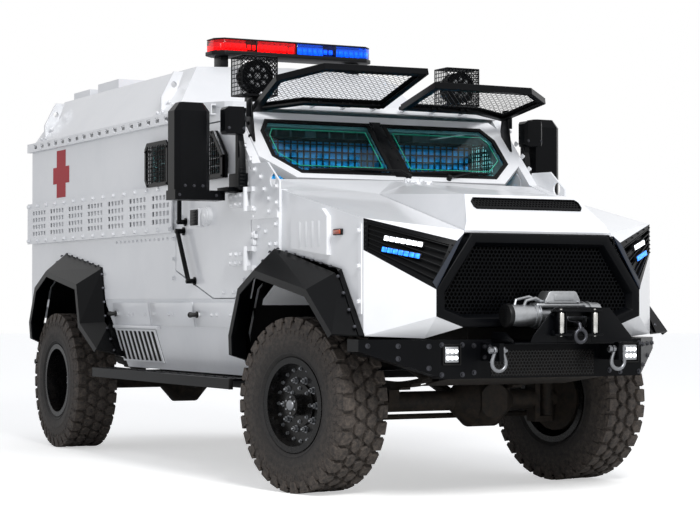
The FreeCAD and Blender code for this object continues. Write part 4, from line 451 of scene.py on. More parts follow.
def piece(name: str, bm: Shape, finish: Finish, body: str = "hull",
          crease_deg: float = 32.0) -> bpy.types.Object:
    """Turns a finished bmesh into a piece that rides on a body.

    Args:
        name: The piece's name.
        bm: Its shape, in the row frame; it is freed.
        finish: Its finish.
        body: The body that carries it.
        crease_deg: Edges sharper than this stay sharp in the shading.

    Returns:
        The new object, at the origin.
    """
    mesh = bpy.data.meshes.new(name)
    bm.to_mesh(mesh)
    bm.free()
    mesh.shade_smooth()
    mesh.set_sharp_from_angle(angle=math.radians(crease_deg))
    mesh.materials.append(finish.build())
    made = bpy.data.objects.new(name, mesh)
    bpy.context.scene.collection.objects.link(made)
    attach(made, body)
    log.info("%s: %d faces on %s", name, len(mesh.polygons), body)
    return made


def round_edges(bm: Shape, edges: Iterable[bmesh.types.BMEdge], width: float, segments: int = 2) -> None:
    """Rounds edges with a bevel.

    Args:
        bm: The shape.
        edges: The edges to round.
        width: The bevel's offset, in metres.
        segments: How many facets it takes.
    """
    bmesh.ops.bevel(bm, geom=list(edges), offset=width, offset_type="OFFSET", segments=segments,
                    profile=0.5,
                    affect="EDGES", material=-1, clamp_overlap=True)


def add_block(bm: Shape, low: Vector, high: Vector, edge: float = 0.0,
              place: Matrix | None = None) -> list[bmesh.types.BMVert]:
    """Adds a block with rounded edges.

    Args:
        bm: The shape it joins.
        low: Its lowest corner, in metres.
        high: Its highest corner.
        edge: How far its edges are rounded.
        place: Turns the corners' coordinates into the row frame.

    Returns:
        The block's corners, empty once its edges are rounded.
    """
    shape = Matrix.Translation((low + high) / 2) @ Matrix.Diagonal((*(high - low), 1.0))
    made = bmesh.ops.create_cube(bm, size=1.0, matrix=(place or Matrix.Identity(4)) @ shape)
    if not edge:
        return made["verts"]
    round_edges(bm, {e for v in made["verts"] for e in v.link_edges}, edge)
    return []


def cap_edges(made: Mapping[str, list]) -> set[bmesh.types.BMEdge]:
    """The edges round the end caps of a rod that was just made."""
    return {e for v in made["verts"] for e in v.link_edges if any(len(f.verts) > 4 for f in e.link_faces)}


def add_rod(bm: Shape, start: Vector, end: Vector, radius: float, sides: int = 16,
            end_radius: float | None = None, edge: float = 0.0) -> None:
    """Adds a round bar or a cone between two points.

    Args:
        bm: The shape it joins.
        start: The middle of its first end.
        end: The middle of its other end.
        radius: Its radius at the start.
        sides: How many flats make its round.
        end_radius: Its radius at the end, where that differs.
        edge: How far its end edges are rounded.
    """
    axis = end - start
    turn = axis.to_track_quat("Z", "Y").to_matrix().to_4x4()
    made = bmesh.ops.create_cone(bm, cap_ends=True, cap_tris=False, segments=sides, radius1=radius,
                                 radius2=radius if end_radius is None else end_radius, depth=axis.length,
                                 matrix=Matrix.Translation((start + end) / 2) @ turn)
    if edge:
        round_edges(bm, cap_edges(made), edge)


def add_pipe(bm: Shape, points: Sequence[Vector], radius: float, sides: int = 12) -> None:
    """Adds a bent tube, mitred at its corners and capped.

    Args:
        bm: The shape it joins.
        points: The corners of its middle line.
        radius: Its radius.
        sides: How many flats make its round.
    """
    loops = []
    guide = (points[1] - points[0]).orthogonal().normalized()
    for index, point in enumerate(points):
        before = (point - points[index - 1]).normalized() if index else None
        after = (points[index + 1] - point).normalized() if index + 1 < len(points) else None
        run = after if before is None else before if after is None else (before + after).normalized()
        guide = (guide - run * guide.dot(run)).normalized()
        place = Matrix((guide, run.cross(guide), run)).transposed().to_4x4()
        place.translation = point
        ends = before is None or after is None
        made = bmesh.ops.create_circle(bm, cap_ends=ends, segments=sides, radius=radius, matrix=place)
        loops.append([e for v in made["verts"] for e in v.link_edges])
    for first, second in zip(loops, loops[1:]):
        bmesh.ops.bridge_loops(bm, edges=list(set(first)) + list(set(second)))


def add_sheet(bm: Shape, outline: Sequence[Vector], depth: Vector, edge: float = 0.0) -> None:
    """Adds a flat plate of any outline.

    Args:
        bm: The shape it joins.
        outline: Its corners in order.
        depth: Its thickness, as the way to its other face.
        edge: How far its edges are rounded.
    """
    face = bm.faces.new([bm.verts.new(point) for point in outline])
    made = bmesh.ops.extrude_face_region(bm, geom=[face])
    verts = new_verts(made)
    bmesh.ops.translate(bm, verts=verts, vec=depth)
    faces = set(f for v in verts for f in v.link_faces) | {face}
    bmesh.ops.recalc_face_normals(bm, faces=list(faces))
    if edge:
        round_edges(bm, {e for f in faces for e in f.edges}, edge)


def pattern(build: Callable[[Shape], object]) -> bpy.types.Mesh:
    """A mesh to be repeated.

    Args:
        build: A function that shapes an empty bmesh at the local origin.

    Returns:
        The mesh, which no object uses.
    """
    bm = bmesh.new()
    build(bm)
    mesh = bpy.data.meshes.new("pattern")
    bm.to_mesh(mesh)
    bm.free()
    return mesh


def repeat(bm: Shape, mesh: bpy.types.Mesh, places: Iterable[Matrix]) -> None:
    """Adds a copy of a mesh at each place, and turns mirrored ones the right way out.

    Args:
        bm: The shape they join.
        mesh: What is repeated.
        places: Where, from local to row coordinates.
    """
    for place in places:
        copy = mesh.copy()
        copy.transform(place)
        if place.determinant() < 0:
            copy.flip_normals()
        bm.from_mesh(copy)
        bpy.data.meshes.remove(copy)


def trim(bm: Shape, outline: Sequence[Vector], normal: Vector) -> None:
    """Cuts away what lies outside a convex outline.

    Args:
        bm: The shape that is cut.
        outline: The outline's corners in order.
        normal: The way that the outline faces.
    """
    middle = sum(outline, Vector()) / len(outline)
    for start, end in zip(outline, list(outline[1:]) + [outline[0]]):
        outward = (end - start).cross(normal)
        if outward.dot(middle - start) > 0:
            outward.negate()
        bmesh.ops.bisect_plane(bm, geom=bm.verts[:] + bm.edges[:] + bm.faces[:], dist=1e-6, plane_co=start,
                               plane_no=outward, clear_outer=True)


def inset(bm: Shape, face: bmesh.types.BMFace, width: float, depth: float = 0.0) -> None:
    """Moves a face's edges in, which leaves a ring round it.

    Args:
        bm: The shape.
        face: The face, which stays as the middle.
        width: The ring's width, in metres.
        depth: How far the middle rises.
    """
    face.normal_update()
    bmesh.ops.inset_region(bm, faces=[face], thickness=width, depth=depth, use_boundary=True,
                           use_even_offset=True)


def moved_in(points: Outline, width: float) -> list[Pair]:
    """A flat outline with its sides moved in.

    Args:
        points: The outline's corners, either way round.
        width: How far, or outwards where it is negative.

    Returns:
        The new corners.
    """
    ring = [Vector(point) for point in points]
    area = sum(a.x * b.y - b.x * a.y for a, b in zip(ring, ring[1:] + ring[:1]))
    turn = math.copysign(1.0, area)
    moved = []
    for index, here in enumerate(ring):
        first = (here - ring[index - 1]).normalized()
        second = (ring[(index + 1) % len(ring)] - here).normalized()
        inward = Vector((-first.y, first.x)) * turn
        bisector = (inward + Vector((-second.y, second.x)) * turn).normalized()
        moved.append(tuple(here + bisector * width / max(bisector.dot(inward), 0.2)))
    return moved


def joined(bm: Shape, shape: Shape) -> None:
    """Adds one shape to another and frees it."""
    mesh = bpy.data.meshes.new("joined")
    shape.to_mesh(mesh)
    shape.free()
    bm.from_mesh(mesh)
    bpy.data.meshes.remove(mesh)


def new_verts(made: Mapping[str, list]) -> list[bmesh.types.BMVert]:
    """The corners among what an extrusion made."""
    return [part for part in made["geom"] if isinstance(part, bmesh.types.BMVert)]


def sided(bm: Shape, side: Side) -> Shape:
    """A shape drawn on the left, mirrored where the right is wanted.

    Args:
        bm: The shape.
        side: The side that it is for.

    Returns:
        The same bmesh.
    """
    if side is Side.RIGHT:
        bmesh.ops.transform(bm, matrix=Matrix.Diagonal((-1, 1, 1, 1)), verts=bm.verts[:])
        bmesh.ops.reverse_faces(bm, faces=bm.faces[:])
    return bm


def thicken(bm: Shape, depth: Vector) -> None:
    """Gives an open shape a thickness.

    Args:
        bm: The shape.
        depth: The way to its other side.
    """
    made = bmesh.ops.extrude_face_region(bm, geom=bm.faces[:])
    bmesh.ops.translate(bm, verts=new_verts(made), vec=depth)
    bmesh.ops.recalc_face_normals(bm, faces=bm.faces[:])


def hollow(bm: Shape, face: bmesh.types.BMFace, width: float) -> None:
    """Leaves a ring of a width in place of a face."""
    inset(bm, face, width)
    bmesh.ops.delete(bm, geom=[face], context="FACES_ONLY")


def add_ring(bm: Shape, outline: Sequence[Vector], width: float, depth: Vector) -> None:
    """Makes a flat frame along the inside of an outline.

    Args:
        bm: The empty shape.
        outline: The frame's outer corners in order.
        width: Its width, in metres.
        depth: Its thickness, as the way to its other face.
    """
    hollow(bm, bm.faces.new([bm.verts.new(point) for point in outline]), width)
    thicken(bm, depth)


def add_frame(bm: Shape, outer: Sequence[Vector], inner: Sequence[Vector], depth: Vector) -> None:
    """Makes a flat frame between two outlines with as many corners.

    Args:
        bm: The empty shape.
        outer: The outer corners in order.
        inner: The inner corners in order.
        depth: The frame's thickness, as the way to its other face.
    """
    rings = [[bm.verts.new(point) for point in points] for points in (outer, inner)]
    for index in range(len(outer)):
        after = (index + 1) % len(outer)
        bm.faces.new((rings[0][index], rings[0][after], rings[1][after], rings[1][index]))
    thicken(bm, depth)


def add_turned(bm: Shape, points: Sequence[Vector], middle: Vector, axis: Vector, steps: int) -> None:
    """Makes a turned shape with closed ends.

    Args:
        bm: The empty shape.
        points: Half its section, from end to end.
        middle: A place on its axis.
        axis: Where its axis points.
        steps: How many flats make its round.
    """
    verts = [bm.verts.new(point) for point in points]
    edges = [bm.edges.new(pair) for pair in zip(verts, verts[1:])]
    bmesh.ops.spin(bm, geom=verts + edges, cent=middle, axis=axis, angle=2 * math.pi, steps=steps,
                   use_merge=True)
    bmesh.ops.holes_fill(bm, edges=[e for e in bm.edges if e.is_boundary], sides=steps + 1)
    bmesh.ops.recalc_face_normals(bm, faces=bm.faces[:])


def hex_bolt(across: float = 19.0, washer: float = 28.0, height: float = 12.0) -> bpy.types.Mesh:
    """A hexagon head on its washer, standing on local Z.

    Args:
        across: Width across the head's corners, in millimetres.
        washer: The washer's diameter.
        height: The head's height.

    Returns:
        The mesh to repeat.
    """
    def build(bm: Shape) -> None:
        add_rod(bm, Vector(), mm(0, 0, 3), washer / 2 * MM, 14)
        add_rod(bm, mm(0, 0, 3), mm(0, 0, height), across / 2 * MM, 6, across / 2.3 * MM)
    return pattern(build)


def dome_bolt(diameter: float = 18.0, height: float = 7.0) -> bpy.types.Mesh:
    """A round-headed bolt, standing on local Z.

    Args:
        diameter: The head's diameter, in millimetres.
        height: Its height.

    Returns:
        The mesh to repeat.
    """
    def build(bm: Shape) -> None:
        add_rod(bm, Vector(), mm(0, 0, height * 0.45), diameter / 2 * MM, 10)
        add_rod(bm, mm(0, 0, height * 0.45), mm(0, 0, height), diameter / 2 * MM, 10, diameter / 4 * MM)
    return pattern(build)


@dataclass
class Sided:
    """A sub-assembly of one side, whose pieces are drawn on the left."""

    side: Side

    def piece(self, name: str, bm: Shape, finish: Finish, slot: str, body: str = "hull",
              crease_deg: float = 32.0) -> bpy.types.Object:
        """Makes a piece that ends with the side's name, as the function of that name does."""
        return piece(f"{name}_{self.side.tag}", sided(bm, self.side), finish, body, crease_deg)


# ---------------------------------------------------------------- wheels
class Axle(Enum):
    """The two axles: how far a rim's disc stands out of its middle, and its hub's nose, in millimetres."""

    FRONT = (60.0, 70.0)
    REAR = (-62.0, 80.0)

    @property
    def tag(self) -> str:
        """The axle's name, as the bodies and nodes have it."""
        return self.name.lower()


@dataclass
class Wheel(Sided):
    """A block-tread tyre about local X, outwards positive, and the nuts of the wheel in it."""

    axle: Axle
    radius: float = 518.4
    tread_base: float = 499.0
    half_width: float = 167.0
    lugs_round: int = 32
    round_steps: int = 96
    steer_deg: float = 11.5
    centre_row_x: float = 41.0
    nut_circle: float = 150.0
    rim_bolt_circle: float = 214.0
    # the carcass from its outer bead to the middle of the tread: out, radius
    half_profile: Outline = (
        (139.5, 262), (139.5, 284), (149, 290), (157, 301), (160, 304), (160, 309), (158, 312), (163, 335),
        (165.5, 362), (166, 366), (166, 371), (165, 374), (165.5, 405), (163, 438), (158, 465), (150, 488),
        (132, 496), (80, 499), (0, 499))

    def place(self) -> Matrix:
        """From the wheel's own coordinates to the row frame."""
        low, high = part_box(f"tyre_{self.axle.tag}_{self.side.tag}")
        turn = math.radians(self.steer_deg) if self.axle is Axle.FRONT else 0.0
        mirror = Matrix.Diagonal((self.side.value, 1, 1, 1))
        return Matrix.Translation((low + high) / 2) @ Matrix.Rotation(turn, 4, "Z") @ mirror

    def carcass(self, bm: Shape) -> None:
        """Spins the tyre's closed section round local X.

        Args:
            bm: The empty shape.
        """
        outer = list(self.half_profile)
        ring = outer + [(-x, r) for x, r in reversed(outer[:-1])]
        verts = [bm.verts.new(mm(x, 0, r)) for x, r in ring]
        edges = [bm.edges.new(pair) for pair in zip(verts, verts[1:] + verts[:1])]
        bmesh.ops.spin(bm, geom=verts + edges, cent=(0, 0, 0), axis=(1, 0, 0), angle=2 * math.pi,
                       steps=self.round_steps, use_merge=True)
        bmesh.ops.remove_doubles(bm, verts=bm.verts[:], dist=1e-5)
        bmesh.ops.recalc_face_normals(bm, faces=bm.faces[:])

    def centre_lug(self) -> bpy.types.Mesh:
        """A hexagonal block of the two middle rows, standing on local Z."""
        def build(bm: Shape) -> None:
            add_rod(bm, Vector(), mm(0, 0, self.radius - self.tread_base + 3), 0.050, 6, 0.0445, 0.0025)
            bmesh.ops.scale(bm, vec=(0.80, 1.0, 1.0), verts=bm.verts[:])
        return pattern(build)

    def shoulder_lug(self) -> bpy.types.Mesh:
        """A block of the shoulder row, pointed inwards and running down the sidewall."""
        def build(bm: Shape) -> None:
            outline = [mm(79, 0, 0), mm(99, 40, 0), mm(158, 42, 0), mm(158, -42, 0), mm(99, -40, 0)]
            depth = self.radius - self.tread_base + 4
            add_sheet(bm, outline, mm(0, 0, depth))
            top = [v for v in bm.verts if v.co.z > depth * MM / 2]
            bmesh.ops.scale(bm, vec=(0.93, 0.88, 1.0), verts=top, space=Matrix.Translation(mm(-124, 0, 0)))
            low = add_block(bm, mm(146, -33, -44), mm(166.5, 33, 8))
            for vert in low:
                if vert.co.z < 0:
                    vert.co.y *= 0.72
                elif vert.co.x > 0.16:
                    vert.co.x -= 0.007
            round_edges(bm, bm.edges[:], 0.002, 1)
        return pattern(build)

    def sidewall_rib(self) -> bpy.types.Mesh:
        """A small raised bar of the ring below the shoulder."""
        return pattern(lambda bm: add_block(bm, mm(162, -4, 418), mm(166.8, 4, 440)))

    def tread(self, bm: Shape, place: Matrix) -> None:
        """Sets the four rows of blocks and the ribs round the carcass.

        Args:
            bm: The tyre's shape, in the row frame.
            place: From the wheel's own coordinates to the row frame.
        """
        pitch = 2 * math.pi / self.lugs_round
        lift = Matrix.Translation(mm(0, 0, self.tread_base - 3))
        centre, shoulder, rib = self.centre_lug(), self.shoulder_lug(), self.sidewall_rib()
        for sign in (1, -1):
            flip = Matrix.Diagonal((sign, 1, 1, 1))
            offset = 0.25 * sign
            turns = [Matrix.Rotation((step + offset) * pitch, 4, "X") for step in range(self.lugs_round)]
            half = Matrix.Rotation(0.5 * pitch, 4, "X")
            row = Matrix.Translation(mm(self.centre_row_x, 0, 0))
            repeat(bm, centre, [place @ turn @ lift @ flip @ row for turn in turns])
            repeat(bm, shoulder, [place @ turn @ half @ lift @ flip for turn in turns])
            ribs = 2 * self.lugs_round
            repeat(bm, rib, [place @ Matrix.Rotation(step * 2 * math.pi / ribs, 4, "X") @ flip
                             for step in range(ribs)])

    def nuts(self, bm: Shape, place: Matrix) -> None:
        """Sets the nuts, the rim's bolts and the hub's bolts, as rings about local X.

        Args:
            bm: An empty shape, in the row frame.
            place: From the wheel's own coordinates to the row frame.
        """
        def wheel_nut(shape: Shape) -> None:
            add_rod(shape, Vector(), mm(0, 0, 6), 0.021, 16)
            add_rod(shape, mm(0, 0, 6), mm(0, 0, 26), 0.0165, 6, None, 0.0015)
            add_rod(shape, mm(0, 0, 26), mm(0, 0, 40), 0.011, 12, 0.007, 0.002)

        disc, nose = self.axle.value
        out = Matrix.Rotation(math.radians(90), 4, "Y")
        cap = disc + 30
        bolt = hex_bolt(19, 24, 13)
        rings = ((pattern(wheel_nut), 10, self.nut_circle, disc + 18, 0.5),
                 (bolt, 20, self.rim_bolt_circle, disc + 22, 0.0),
                 (bolt, 8, 98.0, cap, 0.0), (dome_bolt(14, 7), 6, 47.0, cap + nose, 0.0))
        for mesh, count, circle, face, phase in rings:
            repeat(bm, mesh, [place @ Matrix.Rotation((step + phase) * 2 * math.pi / count, 4, "X")
                              @ Matrix.Translation(mm(face, 0, circle)) @ out for step in range(count)])
        made = bmesh.ops.create_cone(bm, cap_ends=True, segments=36, radius1=0.034, radius2=0.029,
                                     depth=0.012,
                                     matrix=place @ Matrix.Translation(mm(cap + nose + 4, 0, 0)) @ out)
        round_edges(bm, cap_edges(made), 0.002)

    def build(self) -> None:
        """Makes the tyre and the nuts and dresses the rim."""
        place = self.place()
        corner = f"{self.axle.tag}_{self.side.tag}"
        bm = bmesh.new()
        self.carcass(bm)
        bmesh.ops.transform(bm, matrix=place, verts=bm.verts[:])
        if place.determinant() < 0:
            bmesh.ops.reverse_faces(bm, faces=bm.faces[:])
        self.tread(bm, place)
        # Natural rubber compound, moulded under heat: charcoal, dusted brown from the road.
        rubber = Rubber(f"moulded_rubber_{corner}", "#202021", 0.7, middle=tuple(place.translation))
        tyre = piece(f"tread_tyre_{corner}", bm, rubber, f"wheel_{corner}", 28.0)
        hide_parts(f"tyre_{corner}")
        bm = bmesh.new()
        self.nuts(bm, place)
        piece(f"wheel_nuts_{corner}", bm, ZINC_STEEL, f"wheel_{corner}")
        dress(f"rim_{corner}", WHEEL_ENAMEL)


# ---------------------------------------------------------------- nose
def octagon(half: Outline) -> list[Pair]:
    """A symmetric outline from its left half: x, z from top to bottom."""
    return list(half) + [(-x, z) for x, z in reversed(half)]


def add_honeycomb(bm: Shape, outline: Sequence[Vector], normal: Vector, pitch: float, wall: float,
                  depth: float) -> None:
    """Fills a convex outline with hexagonal cells.

    Args:
        bm: The empty shape.
        outline: The outline's corners, in metres.
        normal: The way the cells face.
        pitch: From cell to cell, in millimetres.
        wall: How thick a wall is.
        depth: How deep the cells are, behind the outline's plane.
    """
    def cell(shape: Shape) -> None:
        made = bmesh.ops.create_circle(shape, cap_ends=True, segments=6, radius=pitch / math.sqrt(3) * MM)
        hollow(shape, made["verts"][0].link_faces[0], wall / 2 * MM)
        thicken(shape, mm(0, 0, -depth))

    middle = sum(outline, Vector()) / len(outline)
    up = UP if abs(normal.normalized().z) < 0.95 else Vector((0, 1, 0))
    place = facing(middle, normal, up)
    inverse = place.inverted()
    local = [inverse @ point for point in outline]
    reach_x = max(abs(p.x) for p in local)
    reach_y = max(abs(p.y) for p in local)
    step = pitch * MM
    rise = step * math.sqrt(3) / 2
    spots = []
    for row in range(-int(reach_y / rise) - 1, int(reach_y / rise) + 2):
        for column in range(-int(reach_x / step) - 1, int(reach_x / step) + 2):
            spots.append(place @ Matrix.Translation(((column + 0.5 * (row % 2)) * step, row * rise, 0)))
    repeat(bm, pattern(cell), spots)
    trim(bm, outline, normal)


@dataclass
class Nose:
    """The grille with its honeycomb, the hood's mesh slot and the dark strips beside the grille."""

    face_y: float = -1095.0
    depth: float = 84.0
    rim: float = 50.0            # flat face of the frame
    slope: float = 24.0          # from the face in to the honeycomb
    recess: float = 46.0
    outline: Outline = ((457, 1512), (682, 1198), (682, 1048), (514, 988))
    cell_pitch: float = 25.0
    cell_wall: float = 5.0
    cell_depth: float = 18.0
    slot_outline: Outline = ((345, 1716), (364, 1700), (364, 1668), (352, 1655))
    hood_low: Pair = (-1051.0, 1581.0)
    hood_run: Pair = (173.0, 163.0)
    radiator_in: float = 24.0    # its edge, inside the frame's outline
    fins: int = 31
    fin_low: float = 1030.0
    fin_pitch: float = 14.5

    def grille(self) -> None:
        """Makes the deep frame, its honeycomb and the radiator behind them."""
        bm = bmesh.new()
        corners = octagon(self.outline)
        face = bm.faces.new([bm.verts.new(at(x, self.face_y, z)) for x, z in corners])
        bmesh.ops.recalc_face_normals(bm, faces=[face])
        if face.normal.y > 0:
            face.normal_flip()
        inset(bm, face, self.rim * MM)
        inset(bm, face, self.slope * MM, -self.recess * MM)
        inner = [vert.co.copy() for vert in face.verts]
        bmesh.ops.delete(bm, geom=[face], context="FACES_ONLY")
        rear = [e for e in bm.edges if e.is_boundary]
        back = bmesh.ops.extrude_edge_only(bm, edges=rear)
        for vert in new_verts(back):
            vert.co.y = at(0, self.face_y + self.depth, 0).y
        loops = [e for e in bm.edges if e.is_boundary]
        bmesh.ops.bridge_loops(bm, edges=loops)
        bmesh.ops.recalc_face_normals(bm, faces=bm.faces[:])
        round_edges(bm, [e for e in bm.edges if e.calc_face_angle(0) > 0.3], 0.004)
        frame_piece = piece("grille_frame", bm, POWDER_COAT, crease_deg=50.0)
        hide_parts("grille")
        bm = bmesh.new()
        add_honeycomb(bm, inner, FORWARD, self.cell_pitch, self.cell_wall, self.cell_depth)
        piece("grille_honeycomb", bm, POWDER_COAT)
        bm = bmesh.new()
        back = moved_in(octagon(self.outline), self.radiator_in)
        add_sheet(bm, [at(x, self.face_y + 81, z) for x, z in back], mm(0, 2, 0))
        for row in range(self.fins):
            z = self.fin_low + row * self.fin_pitch
            half = 640 if z < 1200 else 640 - (z - 1200) * 0.72
            add_block(bm, at(-half, self.face_y + 72, z), at(half, self.face_y + 80, z + 6), 0.002)
        piece("radiator_fins", bm, CHASSIS_PAINT)

    def hood_slot(self) -> None:
        """Makes the honeycomb slot in the hood's front slope, over a black sheet of painted shade."""
        y0, z0 = self.hood_low
        run = Vector((0, *self.hood_run)).normalized()
        normal = Vector((0, -run.z, run.y))
        ratio = self.hood_run[0] / self.hood_run[1]
        outline = [at(x, y0 + (z - z0) * ratio, z) + normal * 0.0015 for x, z in octagon(self.slot_outline)]
        # a thin black sheet on the hood's face under the honeycomb: painted shade of the slot's opening
        bm = bmesh.new()
        add_sheet(bm, outline, normal * 0.001)
        piece("hood_slot_floor", bm, SEAL_RUBBER_AND_PAINTED_SHADE, "hood_lid")
        bm = bmesh.new()
        add_honeycomb(bm, [point + normal * 0.007 for point in outline], normal, 21.0, 5.0, 6.0)
        piece("hood_slot_honeycomb", bm, POWDER_COAT, "hood_lid")
        bm = bmesh.new()
        hollow(bm, bm.faces.new([bm.verts.new(point + normal * 0.006) for point in outline]), 0.007)
        bmesh.ops.solidify(bm, geom=bm.faces[:], thickness=0.006)
        piece("hood_slot_rim", bm, POWDER_COAT, "hood_lid")

    def strips(self) -> None:
        """Makes the dark bevelled strips between the lamps and the grille."""
        for side in Side:
            bm = bmesh.new()
            top, lamp = Vector((500, -1081, 1510)), Vector((548, -1088, 1470))
            foot, lamp_foot = Vector((681, -1091, 1200)), Vector((700, -1075, 1236))
            outline = [at(*p) + mm(2, -7, 2) for p in (top, lamp, lamp_foot, foot)]
            add_sheet(bm, outline, mm(-3, 9, -3), 0.0015)
            # the strips' dark blue colour is a painted reflection of the sky
            piece(f"grille_strip_{side.tag}", sided(bm, side), ACRYLIC_WITH_PAINTED_REFLECTION)

    def build(self) -> None:
        """Makes the nose's pieces and dresses its solids."""
        self.grille()
        self.hood_slot()
        self.strips()
        for node in ("hood", "fender_left", "fender_right", "cowl"):
            dress(node, WHITE_ENAMEL)


@dataclass
class Headlamp(Sided):
    """A lamp on the nose's corner: a dark well crossed by louvres, with a white and a blue LED bar."""

    corner_top: Point = (978, -785, 1599)
    corner_low: Point = (978, -785, 1420)
    inner_low: Point = (684, -1089, 1199)
    inner_top: Point = (547, -1086, 1469)
    outward: Point = (0.62, -0.77, 0.13)
    border: float = 0.055
    well: float = 26.0
    louvres: tuple[float, ...] = (0.13, 0.27, 0.41, 0.55, 0.69, 0.83)
    # each bar's ends across and down the lamp
    white_bar: tuple[Pair, Pair] = ((0.24, 0.40), (0.68, 0.27))
    blue_bar: tuple[Pair, Pair] = ((0.235, 0.72), (0.69, 0.53))

    def spot(self, across: float, down: float, out: float = 0.0) -> Vector:
        """A place on the lamp's face.

        Args:
            across: From the outer edge, 0, to the grille's edge, 1.
            down: From the top edge, 0, to the bottom edge, 1.
            out: How far before the face, in millimetres.

        Returns:
            The place in the row frame, on the left side.
        """
        outer = at(*self.corner_top).lerp(at(*self.corner_low), down)
        inner = at(*self.inner_top).lerp(at(*self.inner_low), down)
        return outer.lerp(inner, across) + Vector(self.outward).normalized() * out * MM

    def shell(self) -> None:
        """Makes the housing: a border round the edge and the well's floor."""
        bm = bmesh.new()
        ring = ((0, 0), (1, 0), (1, 1), (0, 1))
        near = ((self.border, self.border * 2), (1 - self.border, self.border * 2),
                (1 - self.border, 1 - self.border * 2), (self.border, 1 - self.border * 2))
        loops = []
        for corners, out in ((ring, -30.0), (ring, 0.0), (near, 2.0), (near, -self.well)):
            verts = [bm.verts.new(self.spot(u, v, out)) for u, v in corners]
            loops.append([bm.edges.new(pair) for pair in zip(verts, verts[1:] + verts[:1])])
        for first, second in zip(loops, loops[1:]):
            bmesh.ops.bridge_loops(bm, edges=first + second)
        bmesh.ops.holes_fill(bm, edges=loops[0] + loops[-1], sides=4)
        bmesh.ops.triangulate(bm, faces=bm.faces[:])
        bmesh.ops.recalc_face_normals(bm, faces=bm.faces[:])
        shell = self.piece("headlamp_shell", bm, POWDER_COAT, "lamp_lens")
        if self.side is Side.LEFT:
            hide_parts("headlamps")

    def blades(self) -> None:
        """Makes the louvres and the screws at their ends."""
        bm = bmesh.new()
        out = Vector(self.outward).normalized()
        for down in self.louvres:
            corners = [self.spot(0.05, down, 1), self.spot(0.95, down, 1), self.spot(0.95, down, -16),
                       self.spot(0.05, down, -16)]
            add_sheet(bm, corners, mm(0, 0, -5), 0.001)
        screw = dome_bolt(11, 5)
        spots = [self.spot(u, v, 2.0) for u in (0.028, 0.972) for v in (0.1, 0.24, 0.38, 0.52, 0.66, 0.8,
                                                                        0.92)]
        spots += [self.spot(u, 0.05, 2.0) for u in (0.2, 0.4, 0.6, 0.8)]
        repeat(bm, screw, [facing(spot, out) for spot in spots])
        self.piece("headlamp_louvres", bm, MOULDED_ABS, "lamp_lens")

    def bar(self, name: str, ends: tuple[Pair, Pair], lit: Finish) -> None:
        """Makes one LED bar: a row of square cells in a slim housing.

        Args:
            name: What the bar is called.
            ends: Its ends, across and down the lamp.
            lit: The cells' finish.
        """
        start, end = (self.spot(*place, 4.0) for place in ends)
        run = end - start
        out = Vector(self.outward).normalized()
        place = facing((start + end) / 2, out, run.cross(out) * -1)
        length = run.length
        bm = bmesh.new()
        add_block(bm, Vector((-length / 2 - 0.006, -0.017, -0.03)),
                  Vector((length / 2 + 0.006, 0.017, 0.0)), 0.003,
                  place)
        self.piece(f"{name}_housing", bm, MOULDED_ABS, "lamp_lens")
        bm = bmesh.new()
        cells = 7
        for cell in range(cells):
            x = -length / 2 + length * (cell + 0.5) / cells
            add_block(bm, Vector((x - length / cells * 0.44, -0.0135, -0.004)),
                      Vector((x + length / cells * 0.44, 0.0135, 0.005)), 0.003, place)
        self.piece(f"{name}_cells", bm, lit, "lamp_lens")

    def build(self) -> None:
        """Makes the lamp's pieces."""
        self.shell()
        self.blades()
        self.bar("white_led_bar", self.white_bar, WHITE_LED)
        self.bar("blue_led_bar", self.blue_bar, BLUE_LED)


